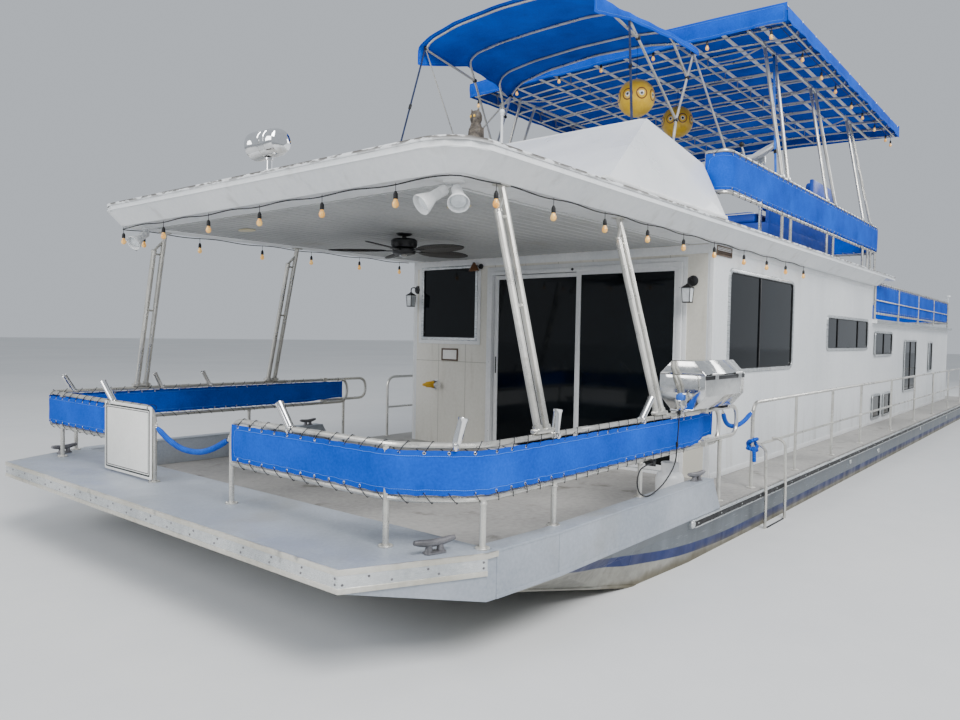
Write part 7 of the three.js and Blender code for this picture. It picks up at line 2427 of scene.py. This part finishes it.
def strap(a, b, width, buckle=0.5, thick=0.003):
    """A flat taut strap between two points, with folded ends and a buckle part of the way along."""
    a, b = Vector(a), Vector(b)
    way = (b - a).normalized()
    side = way.cross(Vector(AHEAD)).normalized() * width / 2
    deep = way.cross(side).normalized() * thick / 2
    web = slab(a, b, side, deep, 0.0006)
    middle = a.lerp(b, buckle)
    clip = slab(middle - way * 0.025, middle + way * 0.025, side * 1.35, deep * 4, 0.002)
    folds = [slab(p - way * 0.012, p + way * 0.012, side * 1.1, deep * 5, 0.001) for p in (a, b)]
    return [web, *painted([clip, *folds], BLACK)]


def straps():
    """The straps and the fore stay of the bimini, and the canopy's strap."""
    piece("bimini_straps", strap((5.475, 0.985, 4.575), (6.240, 1.450, 3.360), 0.025)
          + strap((6.140, -1.000, 4.545), (6.262, -1.300, 3.360), 0.025), WEBBING)
    high, low = (6.140, -1.000, 4.530), (5.390, -1.100, 3.480)
    stay = bars([(high, low)], 0.008, 10)
    ends = [turned([(0, -0.012), (0.012, -0.010), (0.012, 0.010), (0, 0.012)], p, ABEAM, 12)
            for p in (high, low)]
    foot = bars([(low, (5.390, -1.640, 3.160))], 0.008, 10)
    piece("bimini_fore_stay", [stay, painted(ends, BLACK), foot], TUBES)
    piece("canopy_strap", strap((3.360, 1.610, 4.712), (4.000, 1.880, 3.275), 0.024, 0.82), BLUE_WEBBING)


def owl_decoy():
    """A plain plastic owl on the fairing's top."""
    x, y, z = at = (6.200, -0.250, 3.3555)
    body = turned([(0, 0), (0.045, 0.002), (0.060, 0.030), (0.070, 0.090), (0.066, 0.150), (0.048, 0.195),
                   (0.042, 0.210), (0.052, 0.235), (0.053, 0.265), (0.040, 0.292), (0.018, 0.302),
                   (0, 0.303)],
                  at, steps=24)
    ears = [turned([(0.014, 0), (0.008, 0.022), (0, 0.034)], (x + 0.012, y + s * 0.030, z + 0.285),
                   (0.1, s * 0.35, 1), 10) for s in (-1, 1)]
    wing = [(-0.02, 0.060, 0.04), (0.02, 0.060, 0.04), (0.016, 0.070, 0.05), (-0.03, 0.070, 0.05),
            (-0.03, 0.052, 0.18), (0.03, 0.052, 0.18), (0.02, 0.066, 0.175), (-0.03, 0.066, 0.175)]
    wings = [wedge([(x + a, y + s * b, z + c) for a, b, c in wing], 0.004) for s in (-1, 1)]
    eyes = [turned([(0, 0), (0.010, 0), (0.008, 0.005), (0, 0.006)], (x + 0.049, y + s * 0.020, z + 0.255),
                   (1, s * 0.3, 0.1), 12) for s in (-1, 1)]
    beak = turned([(0.008, 0), (0, 0.020)], (x + 0.050, y, z + 0.238), (1, 0, -0.6), 8)
    base = rod(0.058, -0.001, 0.010, at, steps=20)
    made = piece("owl_decoy", [body, ears, wings, painted(eyes, YELLOW), *painted([beak, base], BLACK)], OWL)
    made.data.transform(about(at, Matrix.Diagonal((1.12, 1.12, 1.32, 1))))


def light_staff():
    at = (6.190, 0.060, 3.3553)
    staff = turned([(0, 0), (0.030, 0), (0.030, 0.008), (0.013, 0.016), (0.012, 0.300), (0.018, 0.306),
                    (0.018, 0.316), (0, 0.316)], at, steps=16)
    globe = painted(turned([(0.016, 0.316), (0.024, 0.328), (0.025, 0.345), (0.016, 0.362), (0, 0.367)],
                           at, steps=18), LENS)
    piece("light_staff", [staff, globe], TRIM)


def stern_aerial():
    """A short mast with a flat cap and four thin arms, on the aft roof's corner."""
    at = (-7.850, 1.840, 2.4965)
    x, y = at[:2]
    mast = turned([(0, 0), (0.018, 0), (0.018, 0.010), (0.008, 0.016), (0.008, 0.120), (0.045, 0.126),
                   (0.050, 0.140), (0.030, 0.165), (0, 0.168)], at, steps=18)
    arms = bars([((x, y, 2.56), (x + a, y + b, 2.585))
                 for a, b in ((0.11, 0), (-0.11, 0), (0, -0.11), (0.08, -0.08))], 0.004, 8)
    piece("stern_aerial", [mast, arms], TRIM)


def decoy_and_staff():
    owl_decoy()
    light_staff()
    stern_aerial()


# Stern: ladder to the aft upper deck, sterndrive and propeller

PIN_X, SHAFT_Z = -9.190, -0.560


def stern_ladder():
    """A raked ladder from the swim platform to the aft roof, with hooks, caps and pads."""
    y, half, foot_x, top_x, top = -1.150, 0.230, -8.558, -8.090, 2.560
    ends = (y - half, y + half)
    low_x = foot_x + (top_x - foot_x) * 0.0182
    sides = bars([((low_x, e, DECK_Z + 0.0006), (top_x, e, top)) for e in ends], 0.0158, 16)
    rungs = []
    for i in range(1, 8):
        x, z = foot_x + 0.008 + (top_x - foot_x) * i / 8, DECK_Z + (top - DECK_Z) * i / 8
        rungs.append(block((x - 0.026, ends[0] + 0.006, z - 0.011), (x + 0.026, ends[1] - 0.006, z + 0.011),
                           0.006))
    rest = 2.0463
    hooks = [block((-8.215, e - 0.014, rest), (-7.836, e + 0.014, rest + 0.028), 0.006) for e in ends]
    caps = [turned([(0.0155, -0.03), (0.019, -0.028), (0.019, 0.004), (0.012, 0.010), (0, 0.011)],
                   (top_x, e, top), (top_x - foot_x, 0, top - DECK_Z), 16) for e in ends]
    pads = [block((low_x - 0.034, e - 0.024, DECK_Z + 0.0003), (low_x + 0.034, e + 0.024, DECK_Z + 0.016),
                  0.004)
            for e in ends]
    piece("stern_ladder_tubes", [sides, rungs, hooks, painted(caps, RUBBER), painted(pads, RUBBER)], TUBES,
          "boat",
          ["stern_ladder"])


def drive_shield():
    """The transom shield, with the lugs that hold the pin."""
    shield = plate(rounded(-0.210, 0.210, -0.330, 0.110, 0.06), -9.1397, -9.1003, (), 0.008, "X")
    lugs = [block((PIN_X - 0.035, -0.042, z), (-9.130, 0.042, z + 0.060), 0.008) for z in (0.040, -0.240)]
    bolts = screw_heads([(-9.141, y, z) for y in (-0.175, 0.175) for z in (-0.29, -0.11, 0.07)], (-1, 0, 0),
                        0.010)
    piece("drive_shield", [shield, lugs, painted(bolts, STEEL)], DRIVE, "boat", ["drive_mount"])


def drive_leg():
    """The drive leg, its plate, fin and torpedo."""
    pin, shaft = PIN_X, SHAFT_Z
    foot = square(pin - 0.250, pin - 0.062, -0.049, 0.049)
    top = [(x, y, z) for (x, y), z in zip(foot, (0.020, 0.034, 0.034, 0.020))]
    leg = wedge(level(foot, -0.300) + top, 0.016)
    swell = turned([(0, -0.11), (0.05, -0.10), (0.068, -0.05), (0.070, 0.0), (0.062, 0.05), (0.045, 0.075),
                    (0, 0.08)], (pin - 0.170, 0, -0.07), steps=24)
    boss = block((pin - 0.090, -0.034, -0.174), (pin + 0.030, 0.034, 0.034), 0.008)
    knuckle = rod(0.024, -0.1797, 0.0397, (pin, 0, 0), steps=18)
    strut = tapered((pin - 0.240, pin - 0.090, -0.014, 0.014), shaft,
                    (pin - 0.268, pin - 0.072, -0.026, 0.026), -0.285, 0.008)
    fin = tapered((pin - 0.235, pin - 0.150, -0.006, 0.006), shaft - 0.188,
                  (pin - 0.245, pin - 0.085, -0.014, 0.014), shaft, 0.004)
    side = [(0.340, 0.060), (0.320, 0.096), (0.200, 0.100), (0.080, 0.060)]
    outline = [(pin - a, -b) for a, b in side] + [(pin - 0.062, 0)] + [(pin - a, b) for a, b in side[::-1]]
    wing = plate(outline, -0.311, -0.297, (), 0.004)
    torpedo = turned([(0, 0), (0.026, 0.006), (0.046, 0.030), (0.058, 0.080), (0.061, 0.150), (0.056, 0.220),
                      (0.052, 0.2693), (0, 0.2697)], (pin - 0.060, 0, shaft), (-1, 0, 0), 28)
    piece("sterndrive_leg", [leg, swell, boss, knuckle, strut, fin, wing, torpedo], DRIVE, "drive",
          ["sterndrive"])


def propeller():
    """A hub and three pitched blades."""
    x = -9.560
    hub = turned([(0, 0.0397), (0.0495, 0.0397), (0.050, 0.0), (0.046, -0.045), (0.036, -0.073),
                  (0.030, -0.075), (0, -0.060)], (x, 0, SHAFT_Z), AHEAD, 24)
    rows, wide, spots = 7, 6, []
    for i in range(rows):
        r = 0.034 + (0.192 - 0.034) * i / (rows - 1)
        chord = 0.036 + 0.125 * math.sin(math.pi * min(1.0, 0.12 + 0.80 * i / (rows - 1))) ** 0.7
        chord *= 1.0 if i < rows - 1 else 0.35
        pitch = (0.42 - 0.12 * i / rows) * 1.35
        sides = [(j / wide - 0.5) * chord for j in range(wide + 1)]
        spots.append([(x + s * pitch, s, r * math.sqrt(max(0.1, 1 - (s / max(r, 0.08)) ** 2 * 0.25)))
                      for s in sides])
    blade = cloth_sheet(spots, 0.006)
    blades = copies(blade, [((0, 0, SHAFT_Z), Matrix.Rotation(2 * math.pi * i / 3, 3, "X"))
                            for i in range(3)])
    piece("propeller_blades", [hub, blades], BRONZE, "screw", ["propeller"])


def drive():
    drive_shield()
    drive_leg()
    propeller()


grill()
gas_cylinder()
boarding_ladder()
notice_board()
balloon("balloon_fore", (4.440, 0.524, 4.175), 4.7045)
balloon("balloon_aft", (AFT_BALLOON_X, 0.180, 4.379), 4.7903)
straps()
decoy_and_staff()
stern_ladder()
drive()
